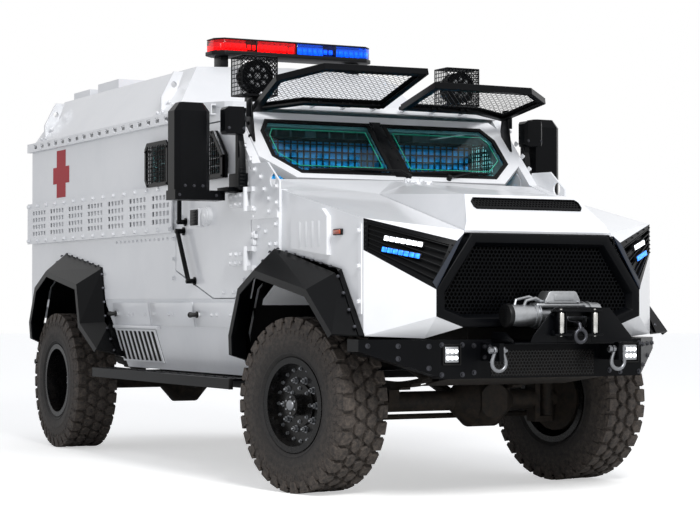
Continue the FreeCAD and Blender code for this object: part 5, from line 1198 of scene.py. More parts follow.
@dataclass
class Bumper:
    """The front bumper's work lamps, the punched sheet behind the winch, and the bolts."""

    face_y: float = -1112.0
    lamp_x: float = 600.0
    lamp_half: float = 44.0
    lamp_z: float = 836.0
    mesh_low: Pair = (0.0, 712.0)
    mesh_high: Pair = (345.0, 856.0)
    hole_pitch: float = 21.0
    rake_z: float = 711.0        # where the wing's lower edge starts to rise
    rake: float = 0.41
    plan_turn: Pair = (679.0, -1112.0)
    plan_end: Pair = (1006.0, -776.0)

    def lamp(self, side: Side) -> None:
        """Makes the square work lamp sunk in the bumper's face.

        Args:
            side: The lamp's side.
        """
        place = facing(at(self.lamp_x * side.value, self.face_y - 4, self.lamp_z), FORWARD)
        bm = bmesh.new()
        half = self.lamp_half * MM
        add_block(bm, Vector((-half, -half, -0.045)), Vector((half, half, 0.004)), 0.005, place)
        for row in range(7):
            x = -half + (row + 0.5) * half * 2 / 7
            add_block(bm, Vector((x - 0.0015, half - 0.001, -0.03)),
                      Vector((x + 0.0015, half + 0.005, -0.006)),
                      0.0, place)
        piece(f"work_lamp_{side.tag}", bm, CAST_ALUMINIUM)
        bm = bmesh.new()
        for row in (-1, 1):
            for column in (-1, 0, 1):
                middle = Vector((column * half * 0.6, row * half * 0.42, 0.004))
                add_rod(bm, place @ (middle - Vector((0, 0, 0.006))),
                        place @ (middle + Vector((0, 0, 0.004))),
                        half * 0.27, 20, None, 0.0015)
        piece(f"work_lamp_cells_{side.tag}", bm, WHITE_LED)
        bm = bmesh.new()
        frame_half = half + 0.011
        for u, v in ((1, 0), (-1, 0), (0, 1), (0, -1)):
            low = Vector((-frame_half if v else u * frame_half - 0.004,
                          -frame_half if u else v * frame_half - 0.004, -0.002))
            high = Vector((frame_half if v else u * frame_half + 0.004,
                           frame_half if u else v * frame_half + 0.004, 0.005))
            add_block(bm, low, high, 0.0015, place)
        piece(f"work_lamp_bezel_{side.tag}", bm, MOULDED_ABS)

    def hole(self, shape: Shape) -> None:
        """Shapes one hexagonal tile of the punched sheet, sunk in its middle."""
        made = bmesh.ops.create_circle(shape, cap_ends=True, segments=6,
                                       radius=self.hole_pitch / math.sqrt(3) * MM)
        hollow(shape, made["verts"][0].link_faces[0], 0.0032)

    def perforation(self) -> None:
        """Makes the punched sheet behind the winch, as two mirrored halves."""
        bm = bmesh.new()
        tile = pattern(self.hole)
        rise = self.hole_pitch * math.sqrt(3) / 2
        (x0, z0), (x1, z1) = self.mesh_low, self.mesh_high
        for sign in (1, -1):
            half = bmesh.new()
            places = []
            for row in range(int((z1 - z0) / rise) + 2):
                for column in range(int((x1 - x0) / self.hole_pitch) + 2):
                    x = x0 + (column + 0.5 * (row % 2)) * self.hole_pitch
                    places.append(facing(at(sign * x, self.face_y - 3.5, z0 + row * rise), FORWARD))
            repeat(half, tile, places)
            trim(half, [at(sign * x, self.face_y, z) for x, z in ((x0, z0), (x1, z0), (x1, z1), (x0, z1))],
                 FORWARD)
            joined(bm, half)
        piece("bumper_mesh", bm, WHEEL_ENAMEL)
        bm = bmesh.new()
        add_sheet(bm, [at(x, self.face_y - 1.5, z) for x, z in ((-x1, z0), (x1, z0), (x1, z1), (-x1, z1))],
                  mm(0, 1, 0))
        piece("bumper_mesh_backing", bm, SEAL_RUBBER_AND_PAINTED_SHADE)

    def bolts(self) -> None:
        """Makes the bolts of the bumper's face and of its brackets."""
        bolt = hex_bolt(21, 30, 13)
        spots = []
        for sign in (1, -1):
            for x, z in ((530, 890), (530, 725), (662, 890), (662, 725), (455, 735), (455, 885)):
                spots.append(facing(at(sign * x, self.face_y, z), FORWARD))
            start, end = Vector((*self.plan_turn, 0)), Vector((*self.plan_end, 0))
            run = (end - start).normalized()
            normal = Vector((run.y * -1, run.x, 0)) * -1
            for share in (0.12, 0.5, 0.88):
                spot = start.lerp(end, share)
                rake = self.rake_z + (spot.x - self.plan_turn[0]) * self.rake
                for z in (882, rake + 34) if share < 0.8 else (882,):
                    spots.append(facing(at(sign * spot.x, spot.y, z),
                                        Vector((sign * normal.x, normal.y, 0))))
            for y, z in ((-1160, 880), (-1160, 820), (-1215, 880)):
                spots.append(facing(at(sign * 410, y, z), Vector((sign, 0, 0))))
        bm = bmesh.new()
        repeat(bm, bolt, spots)
        piece("bumper_bolts", bm, FORGED_STEEL)

    def build(self) -> None:
        """Makes the bumper's fittings and dresses its solids."""
        for side in Side:
            self.lamp(side)
        self.perforation()
        self.bolts()
        dress("front_bumper", POWDER_COAT)


@dataclass
class Winch:
    """A drum winch in its plate: motor, drum with rope, gearbox, control box, fairlead and hook."""

    axis_y: float = -1225.0
    axis_z: float = 1052.0
    motor: Point = (-320.0, -120.0, 66.0)
    drum: Point = (-125.0, 180.0, 44.0)
    gearbox: Point = (175.0, 300.0, 80.0)
    wraps: int = 5
    lead_x: float = 60.0
    lead_y: float = -1355.0
    lead_span: float = 112.0
    roller_z: Pair = (956.0, 1068.0)
    hook_eye: Point = (60.0, -1407.0, 940.0)

    def barrel(self, bm: Shape, span: Point, rings: Outline,
               sides: int = 40) -> None:
        """Adds a turned drum along X from its outline.

        Args:
            bm: The shape it joins.
            span: Its two ends and its radius.
            rings: Share of the length and of the radius, from end to end.
            sides: How many flats make its round.
        """
        start, end, radius = span
        points = [at(start + (end - start) * share, self.axis_y, self.axis_z) + mm(0, 0, radius * grow)
                  for share, grow in rings]
        add_turned(bm, points, at(0, self.axis_y, self.axis_z), OUTWARD, sides)

    def build(self) -> None:
        """Makes the winch's pieces."""
        bm = bmesh.new()
        add_block(bm, at(-330, -1345, 895), at(330, -1107, 903), 0.003)
        shoulders = ((-55, 903), (-230, 903), (-212, 940), (-70, 1094), (-55, 1100))
        add_sheet(bm, [at(x, -1345, z) for x, z in shoulders], mm(0, 12, 0), 0.003)
        add_sheet(bm, [at(230 - x, -1345, z) if x < -60 else at(175, -1345, z) for x, z in shoulders][::-1],
                  mm(0, 12, 0), 0.003)
        add_block(bm, at(-55, -1345, 1048), at(175, -1333, 1100), 0.003)
        add_block(bm, at(-55, -1345, 903), at(175, -1333, 968), 0.003)
        for sign in (1, -1):
            add_sheet(bm,
                      [at(sign * 330, y, z) for y,
                       z in ((-1250, 960), (-1128, 960), (-1110, 940), (-1110, 903),
                                                             (-1333, 903), (-1333, 915))],
                                                             mm(sign * 10, 0, 0), 0.002)
        carrier = piece("winch_carrier", bm, POWDER_COAT)
        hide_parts("winch")
        bm = bmesh.new()
        self.barrel(bm, self.motor,
                    ((0, 0.30), (0, 0.78), (0.05, 0.92), (0.10, 0.92), (0.10, 1.0), (0.14, 1.0),
                                     (0.14, 0.92), (0.86, 0.92), (0.86, 1.0), (1.0, 1.0), (1.0, 0.3)))
        piece("winch_motor", bm, CAST_ALUMINIUM)
        bm = bmesh.new()
        add_rod(bm, at(-322, self.axis_y, self.axis_z), at(-294, self.axis_y, self.axis_z), 0.0655, 32,
                0.069, 0.003)
        for row in range(-3, 4):
            add_block(bm, at(-325, self.axis_y - 34, self.axis_z + row * 13 - 3),
                      at(-320, self.axis_y + 34, self.axis_z + row * 13 + 3), 0.001)
        piece("winch_motor_cap", bm, MOULDED_ABS)
        bm = bmesh.new()
        self.barrel(bm, self.gearbox, ((0, 0.3), (0, 1.0), (0.12, 1.0), (0.12, 0.9), (0.3, 0.9), (0.3, 1.0),
                                       (0.42, 1.0), (0.42, 0.94), (0.86, 0.94), (0.95, 0.8), (1.0, 0.62),
                                       (1.0, 0.2)))
        bolt = dome_bolt(13, 5)
        spots = []
        for step in range(8):
            angle = math.radians(45 * step + 22)
            spots.append(facing(at(self.gearbox[1], self.axis_y, self.axis_z)
                                + mm(-6, 62 * math.cos(angle), 62 * math.sin(angle)), OUTWARD))
        repeat(bm, bolt, spots)
        piece("winch_gearbox", bm, CAST_ALUMINIUM)
        bm = bmesh.new()
        rings = [(0.0, 1.3), (0.03, 1.3), (0.03, 1.0)]
        for wrap in range(self.wraps):
            for phase, grow in ((0.0, 1.0), (0.3, 1.11), (0.5, 1.14), (0.7, 1.11)):
                rings.append((0.36 + 0.3 * (wrap + phase) / self.wraps, grow))
        rings += [(0.66, 1.0), (0.97, 1.0), (0.97, 1.3), (1.0, 1.3)]
        self.barrel(bm, self.drum, rings, 32)
        for x in (self.drum[0] - 2, self.drum[1] - 6):
            add_rod(bm, at(x, self.axis_y, self.axis_z), at(x + 9, self.axis_y, self.axis_z), 0.075, 40,
                    None, 0.002)
        piece("winch_drum", bm, ZINC_STEEL, crease_deg=40.0)
        bm = bmesh.new()
        cover = ((-90, 1118), (-86, 1140), (-62, 1182), (-50, 1190), (112, 1190), (124, 1182), (146, 1140),
                 (150, 1118))
        add_sheet(bm, [at(x, -1275, z) for x, z in cover], mm(0, 100, 0), 0.006)
        add_block(bm, at(-140, -1270, 1098), at(190, -1180, 1122), 0.010)
        add_block(bm, at(-30, -1279, 1134), at(100, -1274, 1172), 0.003)
        repeat(bm, dome_bolt(11, 5),
               [facing(at(x, -1275, z), FORWARD) for x in (-70, 130) for z in (1130,)])
        add_pipe(bm, [at(-78, -1230, 1128), at(-130, -1240, 1150), at(-190, -1238, 1136),
                      at(-205, -1230, 1100)], 0.009)
        add_pipe(bm, [at(-78, -1205, 1128), at(-150, -1200, 1158), at(-240, -1208, 1140),
                      at(-255, -1215, 1100)], 0.009)
        piece("winch_control_box", bm, CAST_ALUMINIUM)
        self.fairlead()
        self.hook()

    def fairlead(self) -> None:
        """Makes the frame and the upright rollers that guide the rope."""
        bm = bmesh.new()
        x0, y0 = self.lead_x, self.lead_y
        for z in (940, 1072):
            add_block(bm, at(x0 - 160, y0 - 44, z), at(x0 + 160, y0 + 10, z + 12), 0.004)
        for sign in (1, -1):
            for x in (134, 86):
                add_block(bm, at(x0 + sign * x - 4, y0 - 40, 952), at(x0 + sign * x + 4, y0 + 10, 1072),
                          0.002)
        repeat(bm, hex_bolt(20, 27, 11),
               [facing(at(x0 + sign * 148, y0 - 2, z), FORWARD) for sign in (1, -1) for z in (958, 1060)])
        piece("fairlead_frame", bm, POWDER_COAT)
        bm = bmesh.new()
        for sign in (1, -1):
            x = x0 + sign * self.lead_span
            add_rod(bm, at(x, y0 - 24, self.roller_z[0]), at(x, y0 - 24, self.roller_z[1]), 0.019, 24, None,
                    0.003)
            add_rod(bm, at(x, y0 - 24, 936), at(x, y0 - 24, 1090), 0.008, 12)
        piece("fairlead_rollers", bm, POLISHED_STEEL)

    def hook(self) -> None:
        """Makes the rope's end and the closed hook that hangs from it."""
        eye = at(*self.hook_eye)
        bm = bmesh.new()
        turns = [Matrix.Rotation(math.radians(24 * step), 3, "Y") @ mm(0, 0, 35) for step in range(16)]
        add_pipe(bm, [eye + turn for turn in turns], 0.011, 14)
        add_pipe(bm, [eye + mm(0, 2, 38), eye + mm(0, 12, 66), at(60, -1372, 1012)], 0.012, 14)
        add_pipe(bm, [at(60, -1372, 1012), at(60, -1300, 1018), at(60, -1262, 1030)], 0.006, 12)
        add_rod(bm, eye + mm(-20, 2, 40), eye + mm(20, 2, 40), 0.008, 12, None, 0.001)
        piece("winch_hook", bm, FORGED_STEEL)


@dataclass
class Shackles:
    """Bow shackles through the horns below the bumper: a forged bow with eyes and a screwed pin."""

    spread: float = 396.0
    pin_y: float = -1282.0
    pin_z: float = 862.0
    bow_z: float = 792.0
    bow_radius: float = 44.5
    bar: float = 11.5
    gap: float = 27.0

    def build(self) -> None:
        """Makes both shackles."""
        bm = bmesh.new()
        for sign in (1, -1):
            x = sign * self.spread
            line = [at(x - self.gap, self.pin_y, self.pin_z + 8),
                    at(x - self.gap, self.pin_y, self.pin_z - 18)]
            for step in range(13):
                angle = math.radians(155 + step * 230 / 12)
                line.append(at(x + self.bow_radius * math.cos(angle), self.pin_y,
                               self.bow_z + self.bow_radius * math.sin(angle)))
            line += [at(x + self.gap, self.pin_y, self.pin_z - 18),
                     at(x + self.gap, self.pin_y, self.pin_z + 8)]
            add_pipe(bm, line, self.bar * MM, 14)
            for end in (-1, 1):
                add_rod(bm, at(x + end * 16, self.pin_y, self.pin_z),
                        at(x + end * 38, self.pin_y, self.pin_z), 0.021, 24,
                        None, 0.004)
            add_rod(bm, at(x - 50, self.pin_y, self.pin_z), at(x + 52, self.pin_y, self.pin_z), 0.012, 18,
                    None, 0.002)
            add_rod(bm, at(x - 64, self.pin_y, self.pin_z), at(x - 40, self.pin_y, self.pin_z), 0.019, 6,
                    None, 0.003)
        forged = piece("forged_shackles", bm, ZINC_STEEL, crease_deg=40.0)
        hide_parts("shackles")


# ---------------------------------------------------------------- cab
@dataclass
class Windscreen:
    """Two leaning armour panes: black gaskets, green cut edges, wipers, and the lining behind them."""

    base_y: float = 544.0
    base_z: float = 1932.0
    lean: float = 1.016
    outline: Outline = ((52, 1945), (712, 1945), (862, 2050), (862, 2215), (800, 2292),
                                                (52, 2292))
    gasket: float = 28.0
    edge_in: float = 48.0        # where the plies' step shows as a green line
    net_pitch: float = 47.0
    quilt: float = 96.0
    lining: Point = (1110.0, 1500.0, 2175.0)   # its y, foot and head

    @property
    def normal(self) -> Vector:
        """The way the glass faces."""
        return Vector((0, -1, self.lean)).normalized()

    def on(self, x: float, z: float, out: float = 0.0) -> Vector:
        """A place on the glass's plane, or some millimetres before it."""
        return at(x, self.base_y + self.lean * (z - self.base_z), z) + self.normal * out * MM

    def ring(self, bm: Shape, side: Side, start: float, width: float, low: float,
             high: float) -> None:
        """Adds a frame along one pane's outline.

        Args:
            bm: The shape it joins.
            side: The pane's side.
            start: How far inside the outline it starts.
            width: Its width, inwards.
            low: Its back, before the glass's plane.
            high: Its front.
        """
        shape = bmesh.new()
        outline = [self.on(x, z, high) for x, z in moved_in(self.outline, start)]
        add_ring(shape, outline, width * MM, self.normal * (low - high) * MM)
        joined(bm, sided(shape, side))

    def wiper(self, bm: Shape, side: Side) -> None:
        """Adds a wiper at rest along the foot of a pane.

        Args:
            bm: The shape it joins.
            side: The pane's side.
        """
        sign = side.value
        pivot = self.on(sign * 150 + 190, 1924, 20)
        tip, tail = self.on(sign * 360 - 300, 1952, 16), self.on(sign * 360 + 290, 1962, 16)
        add_rod(bm, pivot - self.normal * 0.02, pivot + self.normal * 0.012, 0.017, 16, None, 0.003)
        add_pipe(bm, [pivot, pivot.lerp(tail, 0.5) + self.normal * 0.02,
                      (tip + tail) / 2 + self.normal * 0.012],
                 0.007, 10)
        add_pipe(bm, [tip, (tip + tail) / 2 + self.normal * 0.008, tail], 0.005, 8)
        add_pipe(bm, [tip - self.normal * 0.007, tail - self.normal * 0.007], 0.006, 6)

    def cargo_net(self) -> None:
        """Makes the quilted lining across the cab and the square net before it."""
        bm = bmesh.new()
        quilt = self.quilt
        y, low, high = self.lining
        columns, rows = int(1640 / quilt), int((high - low) / quilt)
        grid = bmesh.ops.create_grid(bm, x_segments=columns * 4, y_segments=rows * 4, size=1.0)
        for vert in grid["verts"]:
            x, z = vert.co.x * 0.82, low * MM + (vert.co.y + 1) / 2 * (high - low) * MM
            waves = (math.sin(math.pi * x / quilt * 1000), math.sin(math.pi * (z * 1000 - low) / quilt))
            puff = abs(waves[0]) * abs(waves[1])
            vert.co = Vector((x, at(0, y, 0).y - 0.014 * math.sqrt(puff), z))
        bmesh.ops.solidify(bm, geom=bm.faces[:], thickness=0.004)
        lining = piece("quilted_lining", bm, BLUE_LINING)
        bm = bmesh.new()
        rng = random.Random(7)
        for step in range(int(1640 / self.net_pitch) + 1):
            x = -820 + step * self.net_pitch
            sway = rng.uniform(-4, 4)
            add_pipe(bm, [at(x, y - 24, low), at(x + sway, y - 26, (low + high) / 2), at(x, y - 24, high)],
                     0.006, 4)
        for step in range(int((high - low) / self.net_pitch) + 1):
            z = low + step * self.net_pitch
            add_pipe(bm, [at(-820, y - 26, z), at(0, y - 27, z - rng.uniform(0, 6)), at(820, y - 26, z)],
                     0.006, 4)
        for x in (-825, 825):
            add_block(bm, at(x - 12, y - 30, low - 10), at(x + 12, y - 10, high + 12), 0.003)
        add_block(bm, at(-837, y - 30, high), at(837, y - 10, high + 24), 0.003)
        piece("cargo_net", bm, BLACK_WEBBING)

    def build(self) -> None:
        """Makes the windscreen's pieces and dresses its solids."""
        bm = bmesh.new()
        for side in Side:
            self.ring(bm, side, -8.0, self.gasket, -7.0, 5.0)
        piece("windscreen_gaskets", bm, SEAL_RUBBER_AND_PAINTED_SHADE, crease_deg=50.0)
        bm = bmesh.new()
        for side in Side:
            self.ring(bm, side, self.edge_in, 5.0, -7.5, -5.5)
        piece("windscreen_cut_edges", bm, GLASS_EDGE, crease_deg=50.0)
        bm = bmesh.new()
        for side in Side:
            self.wiper(bm, side)
        piece("wipers", bm, MOULDED_ABS)
        bm = bmesh.new()
        add_sheet(bm, [self.on(x, z, 0.5) for x, z in ((-47, 1930), (47, 1930), (40, 2310), (-40, 2310))],
                  self.normal * 0.006, 0.002)
        bolts = [facing(self.on(x, z, 6.5), self.normal) for z in (1965, 2045, 2125, 2205,
                                                                   2285) for x in (-30, 30)]
        repeat(bm, dome_bolt(13, 5), bolts)
        piece("windscreen_centre_strip", bm, POWDER_COAT)
        self.cargo_net()
        dress("windscreen", ARMOUR_GLASS)
        for node in ("cab_front", "cab_roof", "firewall", "floor", "partition"):
            dress(node, WHITE_ENAMEL)


@dataclass
class ScreenGuard(Sided):
    """One half of the windscreen's guard: a channel frame, woven wire, hinge lugs and a folded bracket."""

    raised_deg: float
    hinge_y: float = 712.0
    hinge_z: float = 2392.0
    outline: Outline = ((18, 574), (739, 562), (975, 354), (935, -120), (640, 18),
                                                (65, 30))
    frame_width: float = 42.0
    low: float = -24.0
    high: float = 18.0
    wall: float = 7.0
    wire_pitch: float = 36.0
    wire: float = 1.6
    wire_lean: float = 0.8       # run of a wire across for each mm forwards
    hinges_x: tuple[float, ...] = (110.0, 330.0, 550.0)

    def place(self) -> Matrix:
        """From millimetre-sized level coordinates about the hinge to the row frame."""
        turn = Matrix.Rotation(-math.radians(self.raised_deg), 4, "X")
        return Matrix.Translation(at(0, self.hinge_y, self.hinge_z)) @ turn

    def flat(self, x: float, reach: float, z: float) -> Vector:
        """A place on the level guard: out from the middle, forward of the hinge and above it."""
        return mm(x, -reach, z)

    def shrunk(self, width: float) -> list[Pair]:
        """The outline moved in by a width."""
        return moved_in(self.outline, width)

    def channel(self, bm: Shape) -> None:
        """Adds the frame: a channel section carried round the outline, open towards its middle."""
        inner = self.shrunk(self.frame_width)
        lip = self.shrunk(self.wall)
        section = ((self.outline, self.low), (self.outline, self.high), (inner, self.high),
                   (inner, self.high - self.wall), (lip, self.high - self.wall),
                   (lip, self.low + self.wall),
                   (inner, self.low + self.wall), (inner, self.low))
        loops = []
        for points, z in section:
            verts = [bm.verts.new(self.flat(x, reach, z)) for x, reach in points]
            loops.append(verts)
        for first, second in zip(loops, loops[1:] + loops[:1]):
            for index in range(len(first)):
                after = (index + 1) % len(first)
                bm.faces.new((first[index], first[after], second[after], second[index]))
        bmesh.ops.recalc_face_normals(bm, faces=bm.faces[:])
        round_edges(bm, [e for e in bm.edges if e.calc_face_angle(0) > 1.0], 0.002, 1)

    def weave(self, part: Outline) -> Shape:
        """Makes the diamond weave inside a convex part of the frame.

        Args:
            part: The part's outline.

        Returns:
            The wires, level about the hinge.
        """
        bm = bmesh.new()
        xs, reaches = [x for x, _ in part], [reach for _, reach in part]
        middle = (min(reaches) + max(reaches)) / 2
        tall = (max(reaches) - min(reaches)) / 2 + self.wire_pitch
        lean = tall * self.wire_lean
        waves = int(2 * tall / self.wire_pitch * 1.6)
        for slant in (1, -1):
            start = self.flat(-slant * lean, middle - tall, 0)
            end = self.flat(slant * lean, middle + tall, 0)
            points = [start.lerp(end, wave / waves) + mm(0, 0,
                                                         slant * self.wire * (0.8 if wave % 2 else -0.8))
                      for wave in range(waves + 1)]
            wire = pattern(lambda shape: add_pipe(shape, points, self.wire * MM, 4))
            first, last = min(xs) - lean, max(xs) + lean
            count = int((last - first) / self.wire_pitch)
            repeat(bm, wire, [Matrix.Translation(mm(first + step * self.wire_pitch, 0, 0))
                              for step in range(count + 1)])
        trim(bm, [self.flat(x, reach, 0) for x, reach in part], UP)
        return bm

    def build(self) -> None:
        """Makes the guard's pieces."""
        place, body = self.place(), f"screen_guard_{self.side.tag}"
        self.bracket()
        bm = bmesh.new()
        self.channel(bm)
        for x in self.hinges_x:
            for side in (1, -1):
                near, far = sorted((x + side * 9, x + side * 38))
                add_rod(bm, mm(near, 0, 0), mm(far, 0, 0), 0.013, 18, None, 0.002)
                add_block(bm, mm(near, -42, -10), mm(far, 0, 10), 0.002)
        repeat(bm, dome_bolt(13, 5), [Matrix.Translation(self.flat(x, reach, self.high))
                                      for x, reach in self.rivets()])
        bmesh.ops.transform(bm, matrix=place, verts=bm.verts[:])
        guard = self.piece("guard_frame", bm, POWDER_COAT, "black_coat", body, 40.0)
        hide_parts(f"guard_{self.side.tag}")
        inner = self.shrunk(self.frame_width - 10)
        front, back = inner[:3] + [inner[4], inner[5]], [inner[2], inner[3], inner[4]]
        bm = bmesh.new()
        for part in (front, back):
            joined(bm, self.weave(part))
        bmesh.ops.transform(bm, matrix=place, verts=bm.verts[:])
        self.piece("guard_weave", bm, POWDER_COAT, "black_coat", body)

    def bracket(self) -> None:
        """Makes the folded bracket that carries the guard from the cab's front corner."""
        bm = bmesh.new()
        add_sheet(bm,
                  [at(944, y, z) for y,
                   z in ((742, 2140), (836, 2150), (880, 2290), (852, 2424), (792, 2424),
                                                  (776, 2300))], mm(11, 0, 0), 0.002)
        add_sheet(bm, [at(x, 790, z) for x, z in ((948, 2300), (948, 2424), (985, 2400), (985, 2300))],
                  mm(0, 9, 0), 0.002)
        repeat(bm, hex_bolt(19, 28, 12), [facing(at(955, y, z), OUTWARD)
                                          for y, z in ((800, 2180), (836, 2262), (824, 2392))])
        self.piece("guard_bracket", bm, POWDER_COAT, "black_coat")

    def rivets(self) -> list[Pair]:
        """Where the frame's rivets sit, spaced along each straight."""
        middle = self.shrunk(self.frame_width / 2)
        spots = []
        for (xa, ya), (xb, yb) in zip(middle, middle[1:] + middle[:1]):
            length = math.hypot(xb - xa, yb - ya)
            count = max(int(length / 130), 1)
            spots += [(xa + (xb - xa) * (n + 0.5) / count,
                       ya + (yb - ya) * (n + 0.5) / count) for n in range(count)]
        return spots


@dataclass
class CabDoor(Sided):
    """What is fitted to a cab door: wire guard, grab bars, lock plate, turning disc and bolts."""

    skin_x: float = 1020.0
    guard: Outline = ((985, 1925), (985, 2070), (1140, 2235), (1835, 2235), (1835, 1925))
    guard_hole: Outline = ((1015, 1953), (1015, 2058), (1152, 2205), (1807, 2205),
                                                   (1807, 1953))
    guard_x: float = 1064.0
    mesh_pitch: float = 30.0
    grab_bars: tuple[tuple[Pair, Pair], ...] = (((1700, 1665), (1700, 1880)),
                                                                             ((1733, 1604), (1540, 1267)))
    bar_out: float = 48.0
    hinges_z: Pair = (1400.0, 1770.0)
    hinge_y: float = 655.0
    lock: Pair = (1460.0, 1685.0)
    disc: Pair = (1310.0, 1690.0)

    def wire_guard(self) -> None:
        """Makes the window's black frame and mesh, over the solid's own."""
        bm = bmesh.new()
        x0, x1 = self.guard_x + 0.5, self.guard_x + 5
        outer, inner = ([at(x1, y, z) for y, z in line] for line in (self.guard, self.guard_hole))
        add_frame(bm, outer, inner, mm(x0 - x1 - 36, 0, 0))
        y0, z0 = 1000, 1940
        for step in range(28):
            y = y0 + step * self.mesh_pitch
            top = 2220 if y > 1145 else 2070 + (y - 1000) * 1.03
            add_rod(bm, at(x1 - 4, y, z0), at(x1 - 4, y, top), 0.0045, 6)
        for step in range(9):
            z = z0 + 14 + step * self.mesh_pitch
            start = 1000 if z < 2060 else 1000 + (z - 2060) * 0.97
            add_rod(bm, at(x1 - 9, start, z), at(x1 - 9, 1820, z), 0.0045, 6)
        bolt = dome_bolt(15, 6)
        spots = ((1000, 1937), (1400, 1937), (1823, 1937), (1823, 2223), (1500, 2223), (1160, 2223),
                 (1000, 2060))
        repeat(bm, bolt, [facing(at(x1, y, z), OUTWARD) for y, z in spots])
        self.piece("door_wire_guard", bm, POWDER_COAT, "black_coat", f"cab_door_{self.side.tag}")

    def build(self) -> None:
        """Makes the door's fittings and dresses its leaf and pane."""
        body = f"cab_door_{self.side.tag}"
        self.wire_guard()
        bm = bmesh.new()
        x = self.skin_x + self.bar_out
        for (ya, za), (yb, zb) in self.grab_bars:
            add_rod(bm, at(x, ya, za), at(x, yb, zb), 0.0155, 20, None, 0.003)
            for y, z in ((ya, za), (yb, zb)):
                add_rod(bm, at(self.skin_x + 2, y, z), at(x + 16, y, z), 0.0165, 20, None, 0.003)
                add_rod(bm, at(self.skin_x + 1, y, z), at(self.skin_x + 9, y, z), 0.028, 20, None, 0.002)
        lock_y, lock_z = self.lock
        add_block(bm, at(self.skin_x + 38, lock_y - 62, lock_z - 52),
                  at(self.skin_x + 46, lock_y + 62, lock_z + 52),
                  0.003)
        for row in range(5):
            z = lock_z - 36 + row * 18
            add_block(bm, at(self.skin_x + 45, lock_y - 40, z - 6),
                      at(self.skin_x + 49, lock_y + 40, z + 6), 0.002)
        self.piece("door_bars", bm, POWDER_COAT, "black_coat", body)
        bm = bmesh.new()
        disc_y, disc_z = self.disc
        add_rod(bm, at(self.skin_x + 29, disc_y, disc_z), at(self.skin_x + 36, disc_y, disc_z), 0.054, 32,
                None, 0.003)
        add_rod(bm, at(self.skin_x + 30, disc_y, disc_z), at(self.skin_x + 40, disc_y, disc_z), 0.016, 20,
                None, 0.003)
        bolt = hex_bolt(22, 32, 15)
        spots = [facing(at(self.skin_x + 32, y, z + dz), OUTWARD) for z in self.hinges_z
                 for y in (725, 800, 880) for dz in (-28, 28)]
        spots += [facing(at(self.skin_x + 0.5, y, z), OUTWARD) for y, z in (
            (1745, 1600), (1560, 1262), (1770, 1700), (905, 1190), (1060, 1190), (740, 1270), (700, 1870))]
        repeat(bm, bolt, spots)
        self.piece("door_bolts", bm, WHITE_ENAMEL, "hull_paint", body)
        dress(f"door_{self.side.tag}", WHITE_ENAMEL)
        dress(f"door_glass_{self.side.tag}", ARMOUR_GLASS)


@dataclass
class Mirror(Sided):
    """A mirror's glass, the bolts of its head and tray, and its slanted arm."""

    glass_y: float = 999.0
    inner_x: float = 1190.0
    outer_x: float = 1430.0

    def build(self) -> None:
        """Makes the mirror's pieces, which ride on the cab door, and dresses its solid."""
        door = f"cab_door_{self.side.tag}"
        bm = bmesh.new()
        add_block(bm, at(self.inner_x + 16, self.glass_y - 1, 1852),
                  at(self.outer_x - 16, self.glass_y + 4, 2308),
                  0.002)
        self.piece("mirror_glass", bm, POLISHED_STEEL, "bare_steel", door)
        bm = bmesh.new()
        bolt = hex_bolt(13, 19, 8)
        spots = [facing(at(x, 870, 1858), FORWARD) for x in (1250, 1310, 1370)]
        spots += [facing(at(x, 865, 1800), FORWARD) for x in (1160, 1410)]
        spots += [facing(at(x, 690, 2215), FORWARD) for x in (1050, 1150)]
        repeat(bm, bolt, spots)
        self.piece("mirror_bolts", bm, FORGED_STEEL, "bare_steel", door)
        bm = bmesh.new()
        add_sheet(bm, [at(1032, 722, 1930), at(1032, 690, 1930), at(1032, 706, 2100), at(1032, 742, 2200),
                       at(1032, 765, 2200), at(1032, 762, 2060)], mm(40, 0, 0), 0.003)
        add_sheet(bm, [at(1024, 690, 1832), at(1085, 688, 1832), at(1085, 700, 2010), at(1055, 716, 2080),
                       at(1030, 716, 2080)], mm(0, 12, 0), 0.003)
        for z in (1850, 1872, 1894, 1916, 1938, 1960):
            add_block(bm, at(1040, 684, z), at(1076, 692, z + 9), 0.002)
        self.piece("mirror_arm", bm, MOULDED_ABS, "trim_plastic", door)
        dress(f"mirror_{self.side.tag}", POWDER_COAT)


